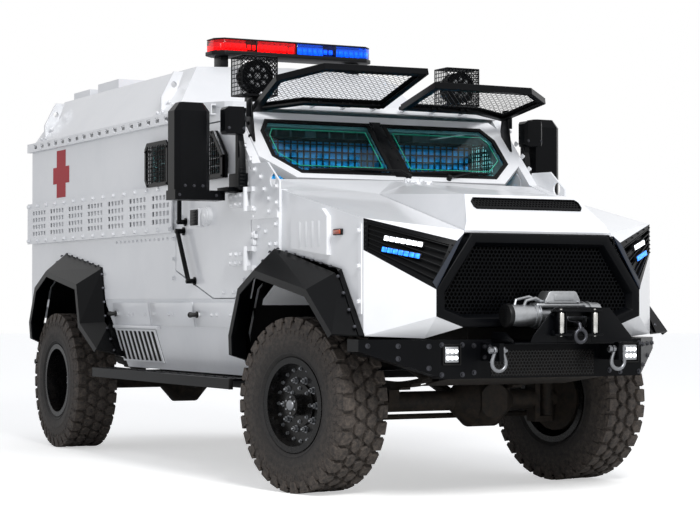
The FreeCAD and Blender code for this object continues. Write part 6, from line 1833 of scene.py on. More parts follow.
# ---------------------------------------------------------------- body
@dataclass
class SidePanel(Sided):
    """The perforated equipment panel along the body's side, bolted proud of it on spacers."""

    skin_x: float = 1020.0
    plate_x: float = 1042.0
    thick: float = 8.0
    front_y: float = 1885.0
    rear_y: float = 4990.0
    low_z: float = 1600.0
    high_z: float = 1925.0
    groups: int = 7
    columns: int = 5
    rows: int = 4
    slot: Pair = (44.0, 32.0)
    column_pitch: float = 68.0
    row_pitch: float = 55.0
    first_row_z: float = 1665.0

    def perforate(self, bm: Shape) -> None:
        """Adds the plate with its rows of slots, built as a grid whose slot cells are left out.

        Args:
            bm: The empty shape.
        """
        length = self.rear_y - self.front_y
        pitch = (length - 60) / self.groups
        ys, zs = {0.0, length}, {0.0, self.high_z - self.low_z}
        slots_y, slots_z = [], []
        for group in range(self.groups):
            first = 45 + group * pitch
            for column in range(self.columns):
                y = first + column * self.column_pitch
                slots_y.append((y, y + self.slot[0]))
        for row in range(self.rows):
            z = self.first_row_z - self.low_z + row * self.row_pitch
            slots_z.append((z, z + self.slot[1]))
        for low, high in slots_y:
            ys |= {low, high}
        for low, high in slots_z:
            zs |= {low, high}
        ys, zs = sorted(ys), sorted(zs)
        holes_y, holes_z = {low for low, _ in slots_y}, {low for low, _ in slots_z}
        grid = {}
        for y in ys:
            for z in zs:
                grid[y, z] = bm.verts.new(at(self.plate_x + self.thick, self.front_y + y, self.low_z + z))
        for ya, yb in zip(ys, ys[1:]):
            for za, zb in zip(zs, zs[1:]):
                if ya not in holes_y or za not in holes_z:
                    bm.faces.new((grid[ya, za], grid[yb, za], grid[yb, zb], grid[ya, zb]))
        thicken(bm, mm(-self.thick, 0, 0))

    def build(self) -> None:
        """Makes the panel, its spacers and its bolts."""
        bm = bmesh.new()
        self.perforate(bm)
        for z in (self.low_z + 2, self.high_z - 18):
            add_block(bm, at(self.skin_x + 0.5, self.front_y + 2, z), at(self.plate_x + 1, 4958, z + 16))
        panel = self.piece("perforated_panel", bm, WHITE_ENAMEL, "hull_paint")
        if self.side is Side.LEFT:
            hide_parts("side_panels")
        bm = bmesh.new()
        bolt, spots = hex_bolt(26, 38, 17), []
        pitch = (self.rear_y - self.front_y - 60) / self.groups
        for group in range(self.groups * 2 + 1):
            y = self.front_y + 22 + group * pitch / 2
            for z in (self.low_z + 24, self.high_z - 22):
                spots.append(facing(at(self.plate_x + self.thick, y, z), OUTWARD))
        repeat(bm, bolt, spots)
        small = hex_bolt(15, 21, 9)
        repeat(bm, small, [facing(at(self.skin_x + 0.5, self.front_y + 60 + step * 82, 1562), OUTWARD)
                           for step in range(14)])
        self.piece("panel_bolts", bm, WHITE_ENAMEL, "hull_paint")


@dataclass
class LowerSide(Sided):
    """The skirt's stowage lids with rod handles, and the slanted louvre vent under its hood."""

    foot: Pair = (945.0, 660.0)
    head: Pair = (1020.0, 1150.0)
    lids: Outline = ((900, 1560), (1590, 2350), (2380, 3080))
    lid_z: Pair = (962.0, 1128.0)
    rods_y: Pair = (1480.0, 3000.0)
    vent_y: float = 2240.0
    vent_long: float = 756.0
    vent_pitch: float = 84.0
    vent_blade: float = 26.0
    vent_slant: float = 90.0
    vent_z: Pair = (705.0, 935.0)

    def skin(self, z: float, out: float = 0.0) -> float:
        """How far out the leaning skirt is at a height."""
        share = (z - self.foot[1]) / (self.head[1] - self.foot[1])
        return self.foot[0] + (self.head[0] - self.foot[0]) * share + out

    def vent_outline(self) -> list[Pair]:
        """The slanted vent's corners, y and z."""
        low, high = self.vent_z
        start, end = self.vent_y - 12, self.vent_y + self.vent_long + 12
        return [(start, low), (end, low), (end + self.vent_slant, high), (start + self.vent_slant, high)]

    def build(self) -> None:
        """Makes the skirt's pieces and dresses it."""
        normal = Vector((self.head[1] - self.foot[1], 0, self.foot[0] - self.head[0])).normalized()
        bm = bmesh.new()
        for y0, y1 in self.lids:
            z0, z1 = self.lid_z
            outline = [at(self.skin(z, 7.5), y, z) for y, z in
                       ((y0 + 4, z0 + 4), (y1 - 4, z0 + 4), (y1 - 4, z1 - 4), (y0 + 4, z1 - 4))]
            add_sheet(bm, outline, normal * 0.003, 0.0015)
        z = self.vent_z[1] + 18
        add_block(bm, at(self.skin(z, -8), self.vent_y - 16, z - 8), at(self.skin(z, 31), 3082, z + 9),
                  0.003)
        self.piece("stowage_lids", bm, WHITE_ENAMEL, "hull_paint")
        bm = bmesh.new()
        bolt = hex_bolt(20, 30, 12)
        spots = []
        for y0, y1 in self.lids:
            for y in (y0 + 70, (y0 + y1) / 2 - 40, (y0 + y1) / 2 + 40, y1 - 70):
                spots.append(facing(at(self.skin(1045, 10.5), y, 1045), normal))
        repeat(bm, bolt, spots)
        self.piece("lid_bolts", bm, WHITE_ENAMEL, "hull_paint")
        bm = bmesh.new()
        for y in self.rods_y:
            x = self.skin(1045, 24)
            add_rod(bm, at(x, y, 1045), at(x + 9, y, 1045), 0.022, 20, None, 0.003)
            add_rod(bm, at(x + 2, y - 8, 1045), at(x + 2, y + 118, 1043), 0.013, 16, 0.016, 0.004)
            add_rod(bm, at(x + 2, y + 112, 1043), at(x + 2, y + 124, 1043), 0.019, 16, None, 0.003)
        self.piece("rod_handles", bm, MOULDED_ABS, "trim_plastic")
        low, high = self.vent_z
        # a black sheet behind the louvre blades: painted shade of the vent's opening
        bm = bmesh.new()
        outline = [at(self.skin(z, 1), y, z) for y, z in self.vent_outline()]
        add_sheet(bm, outline, normal * 0.002)
        self.piece("vent_painted_shade", bm, SEAL_RUBBER_AND_PAINTED_SHADE, "black_coat")
        bm = bmesh.new()
        for start in range(int(self.vent_y), int(self.vent_y + self.vent_long), int(self.vent_pitch)):
            blade = [at(self.skin(z, 3), start + reach + self.vent_slant * (z - low) / (high - low), z)
                     for reach, z in ((0, low), (self.vent_blade, low), (self.vent_blade, high), (0, high))]
            add_sheet(bm, blade, normal * 0.006, 0.001)
        rim = bmesh.new()
        add_ring(rim, [at(self.skin(z, 3), y, z) for y, z in self.vent_outline()], 0.012, normal * 0.007)
        joined(bm, rim)
        self.piece("vent_blades", bm, WHITE_ENAMEL, "hull_paint")
        dress(f"lower_side_{self.side.tag}", WHITE_ENAMEL)


@dataclass
class SideWall(Sided):
    """What is fitted along the side: cross, window guard, pillar bolts, marker and fender louvres."""

    skin_x: float = 1020.0
    cross_y: float = 4245.0
    cross_bar: Point = (105.0, 1950.0, 2320.0)
    cross_arm: Point = (190.0, 2060.0, 2190.0)
    window: tuple[Pair, Pair] = ((1935, 1925), (2355, 2235))

    def cross(self) -> None:
        """Makes the red cross, a film of paint on the wall."""
        half_bar, low, high = self.cross_bar
        half_arm, arm_low, arm_high = self.cross_arm
        y = self.cross_y
        outline = ((y - half_bar, low), (y + half_bar, low), (y + half_bar, arm_low),
                   (y + half_arm, arm_low),
                   (y + half_arm, arm_high), (y + half_bar, arm_high), (y + half_bar, high),
                   (y - half_bar, high),
                   (y - half_bar, arm_high), (y - half_arm, arm_high), (y - half_arm, arm_low),
                   (y - half_bar, arm_low))
        bm = bmesh.new()
        add_sheet(bm, [at(self.skin_x + 0.4, *spot) for spot in outline], mm(1.2, 0, 0))
        self.piece("red_cross", bm, RED_ENAMEL, "hull_paint")

    def window_guard(self) -> None:
        """Makes the framed mesh over the box's front window."""
        (y0, z0), (y1, z1) = self.window
        x = self.skin_x
        bm = bmesh.new()
        outer = [(y0, z0), (y1 - 40, z0), (y1, z0 + 50), (y1, z1 - 40), (y1 - 40, z1), (y0 + 30, z1),
                 (y0, z1 - 30)]
        inner = [(y0 + 26, z0 + 26), (y1 - 50, z0 + 26), (y1 - 26, z0 + 60), (y1 - 26, z1 - 50),
                 (y1 - 50, z1 - 26),
                 (y0 + 40, z1 - 26), (y0 + 26, z1 - 40)]
        add_frame(bm, *([at(x + 42, y, z) for y, z in line] for line in (outer, inner)), mm(-12, 0, 0))
        for step in range(1, 13):
            y = y0 + 20 + step * 29
            add_rod(bm, at(x + 36, y, z0 + 20), at(x + 36, y, z1 - 20), 0.0042, 6)
        for step in range(1, 10):
            z = z0 + 14 + step * 29
            add_rod(bm, at(x + 32, y0 + 18, z), at(x + 32, y1 - 18, z), 0.0042, 6)
        for y, z in ((y0 + 14, z0 + 14), (y1 - 50, z0 + 14), (y1 - 14, z1 - 56), (y0 + 14, z1 - 40)):
            add_rod(bm, at(x + 0.5, y, z), at(x + 31, y, z), 0.011, 12)
        repeat(bm, dome_bolt(16, 7), [facing(at(x + 42, y, z), OUTWARD) for y, z in
                                      ((y0 + 14, z0 + 14), (y1 - 56, z0 + 13), (y1 - 13, z1 - 60),
                                       (y0 + 14, z1 - 46))])
        self.piece("side_window_guard", bm, POWDER_COAT, "black_coat")

    def bolts(self) -> None:
        """Makes the bolts of the pillar, its ear plate and the fender's strip, and the pillar's latch."""
        x = self.skin_x
        spots = [facing(at(x + 0.5, y, z), OUTWARD) for y, z in (
            (275, 1350), (275, 1480), (275, 1600), (420, 1560), (520, 1590), (360, 1480), (560, 1320),
            (590, 1660),
            (640, 2020), (720, 2110), (805, 2200), (890, 2290), (1905, 1560), (1905, 1420), (1905, 1290))]
        spots += [facing(at(x + 12.5, y, z), OUTWARD) for y, z in (
            (240, 1730), (240, 1830), (350, 1760), (420, 1820), (470, 1900), (350, 1680), (560, 1700),
            (560, 1950))]
        bm = bmesh.new()
        repeat(bm, hex_bolt(24, 36, 16), spots)
        strip_y = -749
        strip = [facing(at(self.strip_x(strip_y) + 7, strip_y, z), Vector((1, -0.02, 0)))
                 for z in (1130, 1330, 1530)]
        repeat(bm, hex_bolt(26, 38, 16), strip)
        latch = [(575, 1500, 40), (590, 1545, 30), (548, 1535, 26)]
        for y, z, size in latch:
            add_block(bm, at(x + 0.5, y - size / 2, z - size / 2), at(x + 26, y + size / 2, z + size / 2),
                      0.005)
        add_rod(bm, at(x + 10, 575, 1440), at(x + 10, 575, 1570), 0.011, 14, None, 0.003)
        self.piece("pillar_bolts", bm, WHITE_ENAMEL, "hull_paint")

    def strip_x(self, y: float) -> float:
        """How far out the fender's side is near its front corner."""
        return 978.0 + (1000.0 - 978.0) * (y + 785.0) / (240.0 + 785.0)

    def fittings(self) -> None:
        """Makes the amber side marker and the fender vent's louvres."""
        x = self.strip_x(-480)
        bm = bmesh.new()
        add_block(bm, at(x - 4, -545, 1512), at(x + 13, -440, 1548), 0.004)
        self.piece("side_marker_base", bm, MOULDED_ABS, "trim_plastic")
        bm = bmesh.new()
        add_block(bm, at(x + 8, -538, 1517), at(x + 20, -447, 1543), 0.005)
        self.piece("side_marker_lens", bm, AMBER_LENS, "lamp_lens")
        bm = bmesh.new()
        for y in (-300, -215, -130, -45):
            add_sheet(bm,
                      [at(1012, y - 15, 1452), at(1018, y + 13, 1452), at(1018, y + 13, 1603),
                       at(1012, y - 15, 1603)],
                      mm(-3, 0, 0), 0.001)
        self.piece("fender_louvres", bm, WHITE_ENAMEL, "hull_paint")

    def build(self) -> None:
        """Makes the wall's pieces and dresses it."""
        self.cross()
        self.window_guard()
        self.bolts()
        self.fittings()
        dress(f"side_wall_{self.side.tag}", WHITE_ENAMEL)


@dataclass
class Flare(Sided):
    """The bolts along a wheel flare's flange, and the liner of its arch."""

    name: str
    root: Outline
    lip: Outline
    root_x: float
    liner_x: float = 490.0

    def build(self) -> None:
        """Makes the flare's bolts along its flange on the body."""
        bm = bmesh.new()
        spots = []
        for (ya, za), (yb, zb) in zip(self.root, self.root[1:]):
            length = math.hypot(yb - ya, zb - za)
            count = max(round(length / 118), 1)
            rise = Vector((0, zb - za, -(yb - ya))).normalized()
            if rise.z < 0 and abs(rise.z) > abs(rise.y):
                rise.negate()
            for step in range(count):
                share = (step + 0.5) / count
                y, z = ya + (yb - ya) * share, za + (zb - za) * share
                spots.append((y, z, rise))
        middle_y = sum(y for y, _ in self.root) / len(self.root)
        middle_z = min(z for _, z in self.root)
        for y, z, rise in spots:
            outward = Vector((0.0, y - middle_y, z - middle_z)).normalized()
            if rise.dot(outward) < 0:
                rise = -rise
            top = at(self.root_x + 14, y, z) + rise * 0.004
            normal = (rise + Vector((0.25, 0, 0))).normalized()
            place = facing(top, normal, OUTWARD)
            repeat(bm, dome_bolt(22, 9), [place])
        self.piece(f"flare_bolts_{self.name}", bm, FORGED_STEEL, "bare_steel")
        self.liner()

    def liner(self) -> None:
        """Makes the moulded liner that closes the arch above the wheel."""
        arch = [point for point in self.lip if point[1] > 830 or point[0] < 1000]
        bm = bmesh.new()
        outer = [bm.verts.new(at(self.root_x - 12, y, z)) for y, z in arch]
        inner = [bm.verts.new(at(self.liner_x, y, z)) for y, z in arch]
        for index in range(len(arch) - 1):
            bm.faces.new((outer[index], outer[index + 1], inner[index + 1], inner[index]))
        bm.faces.new(inner)
        rim = [[bm.verts.new(at(self.root_x + 3, y, z)) for y, z in line] for line in (self.root, self.lip)]
        for index in range(len(self.root) - 1):
            bm.faces.new((rim[0][index], rim[0][index + 1], rim[1][index + 1], rim[1][index]))
        bmesh.ops.solidify(bm, geom=bm.faces[:], thickness=0.003)
        self.piece(f"arch_liner_{self.name}", bm, MOULDED_ABS, "trim_plastic")


@dataclass
class RoofGear:
    """What stands on the roof: beacon bar, searchlights in wire cages, and the lugs' and rails' bolts."""

    bar_y: float = 2230.0
    bar_half: float = 630.0
    base_z: Pair = (2866.0, 2896.0)
    lens_top: float = 2985.0
    lamp: Point = (765.0, 1180.0, 2600.0)
    cage_half: float = 130.0
    cells: int = 9               # openings across the cage
    lugs_y: Pair = (2260.0, 4780.0)

    def lozenge(self, half: float, depth: float, shrink: float) -> list[Pair]:
        """The bar's plan with cut corners: x, y."""
        corner = 70
        right = [(half - corner, -depth + shrink), (half - shrink, -60), (half - shrink, 60),
                 (half - corner, depth - shrink)]
        return [(x, self.bar_y + y) for x, y in right] + [(-x, self.bar_y + y) for x, y in reversed(right)]

    def beacon(self) -> None:
        """Makes the bar: base, red and blue lenses, clear middle, LED strips and feet."""
        bm = bmesh.new()
        z0, z1 = self.base_z
        add_sheet(bm, [at(x, y, z0) for x, y in self.lozenge(self.bar_half, 130, 0)], mm(0, 0, z1 - z0),
                  0.006)
        add_sheet(bm, [at(x, y, self.lens_top - 12) for x, y in self.lozenge(self.bar_half, 130, 10)],
                  mm(0, 0, 11.5), 0.005)
        for x in (-312, 0, 312):
            add_block(bm, at(x - 5, self.bar_y - 124, z1), at(x + 5, self.bar_y + 124, self.lens_top - 10),
                      0.002)
        for x in (-520, 520):
            add_block(bm, at(x - 30, self.bar_y - 30, 2790), at(x + 30, self.bar_y + 90, z0 + 1), 0.004)
        base = piece("beacon_base", bm, MOULDED_ABS)
        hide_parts("light_bar")
        for name, low, high, finish in (("right", -618, -6, RED_LENS), ("left", 6, 618, BLUE_LENS)):
            bm = bmesh.new()
            outline = self.lozenge(self.bar_half, 130, 12)
            add_sheet(bm, [at(x, y, z1 + 0.5) for x, y in outline], mm(0, 0, self.lens_top - 13 - z1))
            for x, way in ((low, -1), (high, 1)):
                bmesh.ops.bisect_plane(bm, geom=bm.verts[:] + bm.edges[:] + bm.faces[:],
                                       plane_co=at(x, 0, 0),
                                       plane_no=Vector((way, 0, 0)), clear_outer=True)
            bmesh.ops.holes_fill(bm, edges=[e for e in bm.edges if e.is_boundary], sides=0)
            bmesh.ops.recalc_face_normals(bm, faces=bm.faces[:])
            round_edges(bm, bm.edges[:], 0.006)
            piece(f"beacon_lens_{name}", bm, finish)
        for name, low, high, finish in (("right", -590, -14, RED_LED), ("left", 14, 590, BLUE_LED)):
            bm = bmesh.new()
            cells = 14
            for row in (-1, 1):
                for cell in range(cells):
                    x = low + (high - low) * (cell + 0.5) / cells
                    add_block(bm, at(x - 14, self.bar_y + row * 96 - 5, z1 + 16),
                              at(x + 14, self.bar_y + row * 96 + 5, z1 + 48), 0.003)
            piece(f"beacon_cells_{name}", bm, finish)

    def searchlight(self, side: Side) -> None:
        """Makes a lamp with its cooling fins, its reflector and its wire cage.

        Args:
            side: The lamp's side.
        """
        x, y, z = self.lamp
        bm = bmesh.new()
        middle = at(x, y, z)
        profile = ((-72, 60), (-72, 96), (-78, 103), (-84, 105), (-84, 98), (-60, 92), (-60, 105),
                   (-20, 105),
                   (-20, 92), (0, 92), (0, 105), (12, 105), (12, 92), (26, 92), (26, 100), (40, 100),
                   (44, 58),
                   (70, 56), (70, 20))
        add_turned(bm, [middle + mm(0, dy, r) for dy, r in profile], middle, -FORWARD, 40)
        add_sheet(bm,
                  [at(x - 40, y + dy, dz) for dy, dz in ((-30, 2432), (50, 2432), (34, 2530), (-14, 2530))],
                  mm(80, 0, 0), 0.004)
        lamp = piece(f"searchlight_{side.tag}", sided(bm, side), POWDER_COAT, crease_deg=40.0)
        if side is Side.LEFT:
            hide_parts("spotlights")
        bm = bmesh.new()
        add_rod(bm, at(x, y - 66, z), at(x, y - 71, z), 0.094, 40, 0.090, 0.002)
        for step in range(8):
            angle = math.radians(step * 45)
            spot = middle + mm(58 * math.cos(angle), -74, 58 * math.sin(angle))
            add_rod(bm, spot, spot + mm(0, -5, 0), 0.018, 16, 0.015)
        add_rod(bm, middle + mm(0, -74, 0), middle + mm(0, -80, 0), 0.024, 20, 0.019)
        piece(f"searchlight_reflector_{side.tag}", sided(bm, side), CAST_ALUMINIUM)
        self.cage(side)

    def cage(self, side: Side) -> None:
        """Makes the wire cage round a searchlight.

        Args:
            side: The lamp's side.
        """
        x, y, z = self.lamp
        half, front, back = self.cage_half - 4, -106, 58
        bm = bmesh.new()

        def bar(start: Point, end: Point, radius: float = 0.0032, sides: int = 5) -> None:
            add_rod(bm, *(at(x + u, y + v, z + w) for u, v, w in (start, end)), radius, sides)

        for u in (-1, 1):
            for v in (-1, 1):
                bar((u * half, front - 2, v * half), (u * half, back + 2, v * half), 0.005, 8)
        for depth in (front, back):
            for u in (-1, 1):
                bar((u * half, depth, -half), (u * half, depth, half), 0.005, 8)
                bar((-half, depth, u * half), (half, depth, u * half), 0.005, 8)
        for step in range(-self.cells, self.cells + 1):
            shift = step * 2 * half / self.cells
            for slant in (1, -1):
                low_u, high_u = max(-half, shift - half), min(half, shift + half)
                if high_u - low_u < 4:
                    continue
                start, end = (low_u, (low_u - shift) * slant), (high_u, (high_u - shift) * slant)
                bar((start[0], front, start[1]), (end[0], front, end[1]))
        for u in (-1, 1):
            for step in range(1, 7):
                dy = front + step * (back - front) / 7
                bar((u * half, dy, -half), (u * half, dy, half))
                bar((-half, dy, u * half), (half, dy, u * half))
            for step in range(1, self.cells):
                d = -half + step * 2 * half / self.cells
                bar((u * half, front, d), (u * half, back, d))
                bar((d, front, u * half), (d, back, u * half))
        piece(f"searchlight_cage_{side.tag}", sided(bm, side), POWDER_COAT)

    def fixings(self) -> None:
        """Makes the bolts and foot plates of the lifting lugs, and the rails' bolts."""
        bm = bmesh.new()
        bolt = hex_bolt(24, 34, 15)
        slope = Vector((380, 0, 275)).normalized()
        for sign in (1, -1):
            way = Vector((sign * slope.x, 0, slope.z))
            for y in self.lugs_y:
                add_block(bm, at(sign * 950 - 4, y - 62, 2460), at(sign * 950 + 4, y + 62, 2462))
                repeat(bm, bolt, [facing(at(sign * (1020 - (z - 2395) * 275 / 380 + 1), y + dy, z), way)
                                  for z in (2450, 2520) for dy in (-48, 48)])
            repeat(bm, dome_bolt(20, 8),
                   [facing(at(sign * 1054.2, 1300 + step * 335, 2362), Vector((sign, 0, 0)))
                                          for step in range(11)])
        piece("roof_bolts", bm, WHITE_ENAMEL)

    def build(self) -> None:
        """Makes the roof's pieces and dresses its solids."""
        self.beacon()
        for side in Side:
            self.searchlight(side)
        self.fixings()
        for node in ("roof", "roof_hatch", "roof_rails", "lifting_lugs"):
            dress(node, WHITE_ENAMEL)


@dataclass
class SideStep(Sided):
    """A running board's pressed tread and its end caps."""

    inner_x: float = 1010.0
    outer_x: float = 1195.0
    front_y: float = 590.0
    rear_y: float = 3040.0
    top_z: float = 655.0
    grip_pitch: float = 36.0

    def grip(self, shape: Shape) -> None:
        """Shapes one raised ring of the tread."""
        made = bmesh.ops.create_circle(shape, cap_ends=True, segments=10, radius=0.011)
        face = made["verts"][0].link_faces[0]
        inset(shape, face, 0.003, 0.0025)
        inset(shape, face, 0.0015, -0.004)

    def build(self) -> None:
        """Makes the tread's raised rings and the board's end caps."""
        bm = bmesh.new()
        mesh = pattern(self.grip)
        places = []
        for column, x in enumerate((1052, 1075, 1130, 1153)):
            count = int((self.rear_y - self.front_y - 80) / self.grip_pitch)
            for step in range(count):
                y = self.front_y + 45 + (step + 0.5 * (column % 2)) * self.grip_pitch
                if x in (1052, 1153) or (y - self.front_y - 80) % 150 > 104:
                    places.append(Matrix.Translation(at(x if x != 1052 else 1046, y, self.top_z + 0.3)))
        repeat(bm, mesh, places)
        self.piece("step_tread", bm, POWDER_COAT, "black_coat")
        bm = bmesh.new()
        for y in (self.front_y - 3, self.rear_y - 1):
            for x in (self.inner_x, self.outer_x - 28):
                add_block(bm, at(x - 1, y, 589), at(x + 29, y + 4, 656), 0.002)
        self.piece("step_caps", bm, MOULDED_ABS, "trim_plastic")


@dataclass
class Rear:
    """The rear doors' window seals, panes and bolts, and the tail lamps."""

    rear_y: float = 4960.0
    lamps: Outline = ((1330.0, 1420.0), (1430.0, 1520.0), (1530.0, 1620.0))

    def door(self, side: Side) -> None:
        """Makes one leaf's fittings.

        Args:
            side: The leaf's side.
        """
        body = f"rear_leaf_{side.tag}"
        back = Vector((0, 1, 0))
        bm = bmesh.new()
        y = self.rear_y
        outer = ((172, 1862), (448, 1862), (448, 2138), (172, 2138))
        inner = ((200, 1890), (420, 1890), (420, 2110), (200, 2110))
        add_frame(bm, *([at(x, y + 5, z) for x, z in line] for line in (outer, inner)), mm(0, -4.5, 0))
        piece(f"rear_window_seal_{side.tag}", sided(bm, side), SEAL_RUBBER_AND_PAINTED_SHADE, body)
        bm = bmesh.new()
        add_block(bm, at(192, y - 40, 1882), at(428, y - 20, 2118), 0.001)
        piece(f"rear_window_glass_{side.tag}", sided(bm, side), ARMOUR_GLASS, body)
        bm = bmesh.new()
        spots = [facing(at(x, y + 0.5, z), back) for x in (80, 540) for z in (1260, 1520, 2230)]
        spots += [facing(at(x, y + 5, z), back) for x in (186, 434) for z in (1876, 2000, 2124)]
        repeat(bm, hex_bolt(22, 32, 14), spots)
        piece(f"rear_door_bolts_{side.tag}", sided(bm, side), WHITE_ENAMEL, body)

    def tail(self, side: Side) -> None:
        """Makes the lamps at one rear corner.

        Args:
            side: The corner's side.
        """
        bm = bmesh.new()
        y = self.rear_y
        add_block(bm, at(800, y + 0.5, 1310), at(930, y + 16, 1640), 0.006)
        piece(f"tail_lamp_case_{side.tag}", sided(bm, side), MOULDED_ABS)
        for index, ((low, high), finish) in enumerate(zip(self.lamps, (CLEAR_LENS, AMBER_LENS, RED_LENS))):
            bm = bmesh.new()
            add_block(bm, at(815, y + 12, low), at(915, y + 26, high), 0.007)
            piece(f"tail_lens_{index}_{side.tag}", sided(bm, side), finish)

    def build(self) -> None:
        """Makes the rear's pieces and dresses its solids."""
        for side in Side:
            self.door(side)
            self.tail(side)
            dress(f"rear_door_{side.tag}", WHITE_ENAMEL)
        dress("rear_frame", WHITE_ENAMEL)
        dress("rear_bumper", POWDER_COAT)


# ---------------------------------------------------------------- inside
@dataclass
class Seat(Sided):
    """A front seat: cloth-simulated cushions on a pedestal, with their headrest."""

    half_width: float = 220.0
    middle_x: float = 540.0
    pressure: float = 4.0
    frames: int = 20
    cap_mm: float = 24.0
    voxel: float = 0.006

    def stuffed(self, name: str, bm: Shape) -> bpy.types.Object:
        """Blows a pad up as filled cloth and keeps it near its pattern.

        Args:
            name: The pad's name.
            bm: The pad before filling.

        Returns:
            The finished pad.
        """
        pad = piece(name, sided(bm, self.side), SEAT_WEAVE, crease_deg=60.0)
        remesh = pad.modifiers.new("remesh", "REMESH")
        remesh.mode = "VOXEL"
        remesh.voxel_size = self.voxel
        self.freeze(pad)
        start = [vert.co.copy() for vert in pad.data.vertices]
        cloth = pad.modifiers.new("cloth", "CLOTH")
        cloth.settings.use_pressure = True
        cloth.settings.uniform_pressure_force = self.pressure
        cloth.settings.effector_weights.gravity = 0.0
        for step in range(1, self.frames + 1):
            bpy.context.scene.frame_set(step)
        self.freeze(pad)
        limit = self.cap_mm * MM
        for vert, rest in zip(pad.data.vertices, start):
            move = vert.co - rest
            if move.length > limit:
                vert.co = rest + move.normalized() * limit
        bpy.context.scene.frame_set(1)
        smooth = pad.modifiers.new("smooth", "SUBSURF")
        smooth.levels = smooth.render_levels = 1
        return pad

    def freeze(self, pad: bpy.types.Object) -> None:
        """Makes a pad's mesh what its modifiers give, and removes them.

        Args:
            pad: The pad.
        """
        world = bpy.context.evaluated_depsgraph_get()
        mesh = bpy.data.meshes.new_from_object(pad.evaluated_get(world))
        pad.modifiers.clear()
        pad.data = mesh
        mesh.shade_smooth()

    def build(self) -> None:
        """Makes the seat's pads and frame."""
        x0, x1 = self.middle_x - self.half_width, self.middle_x + self.half_width
        bm = bmesh.new()
        add_block(bm, at(x0, 1170, 1436), at(x1, 1600, 1528), 0.034)
        self.stuffed(f"seat_cushion_{self.side.tag}", bm)
        bm = bmesh.new()
        outline = [at(x0, y, z) for y, z in ((1578, 1556), (1664, 1556), (1784, 2064), (1716, 2064))]
        add_sheet(bm, outline, mm(x1 - x0, 0, 0), 0.030)
        self.stuffed(f"seat_back_{self.side.tag}", bm)
        bm = bmesh.new()
        outline = [at(x0 + 105, y, z) for y, z in ((1726, 2096), (1786, 2096), (1814, 2224), (1762, 2224))]
        add_sheet(bm, outline, mm(x1 - x0 - 210, 0, 0), 0.024)
        self.stuffed(f"headrest_{self.side.tag}", bm)
        bm = bmesh.new()
        add_block(bm, at(self.middle_x - 180, 1200, 1155), at(self.middle_x + 180, 1560, 1408), 0.012)
        add_block(bm, at(x0 + 10, 1180, 1408), at(x1 - 10, 1590, 1432), 0.008)
        for x in (self.middle_x - 60, self.middle_x + 60):
            add_rod(bm, at(x, 1752, 2050), at(x, 1768, 2110), 0.007, 12)
        base = self.piece("seat_pedestal", bm, MOULDED_ABS, "trim_plastic")
        if self.side is Side.LEFT:
            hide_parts("seats")


@dataclass
class Cockpit:
    """The steering wheel's rim before the dashboard."""

    middle: Point = (540.0, 905.0, 1795.0)
    radius: float = 206.0

    def build(self) -> None:
        """Makes the cockpit's pieces and dresses its solids."""
        centre = at(*self.middle)
        axis = mm(0, 265, 115).normalized()
        place = facing(centre, axis)
        bm = bmesh.new()
        points = [place @ mm(self.radius * math.cos(math.radians(10 * step)),
                             self.radius * math.sin(math.radians(10 * step)), 0) for step in range(37)]
        add_pipe(bm, points, 0.0175, 12)
        add_rod(bm, centre - axis * 0.012, centre + axis * 0.022, 0.062, 28, 0.050, 0.004)
        piece("steering_wheel_rim", bm, MOULDED_ABS)
        dress("dashboard", MOULDED_ABS)


@dataclass
class Underside:
    """The frame, axles, engine and steering below the body."""

    painted: tuple[str, ...] = ("chassis_frame", "engine", "driveline")
    cast: tuple[str, ...] = ("front_axle", "rear_axle", "knuckle_left", "knuckle_right", "tie_rod")
    tray: tuple[Point, ...] = ((-540, -1085, 712), (540, -1085, 712), (500, -570, 640),
                                                    (-500, -570, 640))

    def build(self) -> None:
        """Makes the tray below the engine and dresses the running gear, steps and flares."""
        bm = bmesh.new()
        add_sheet(bm, [at(x, y, z) for x, y, z in self.tray], mm(0, 0, 4), 0.001)
        piece("engine_undertray", bm, CHASSIS_PAINT)
        for node in self.painted:
            dress(node, CHASSIS_PAINT)
        for node in self.cast:
            dress(node, CAST_IRON)
        for node in ("side_steps", "flares_left", "flares_right"):
            dress(node, POWDER_COAT)
        dress("side_glass", ARMOUR_GLASS)


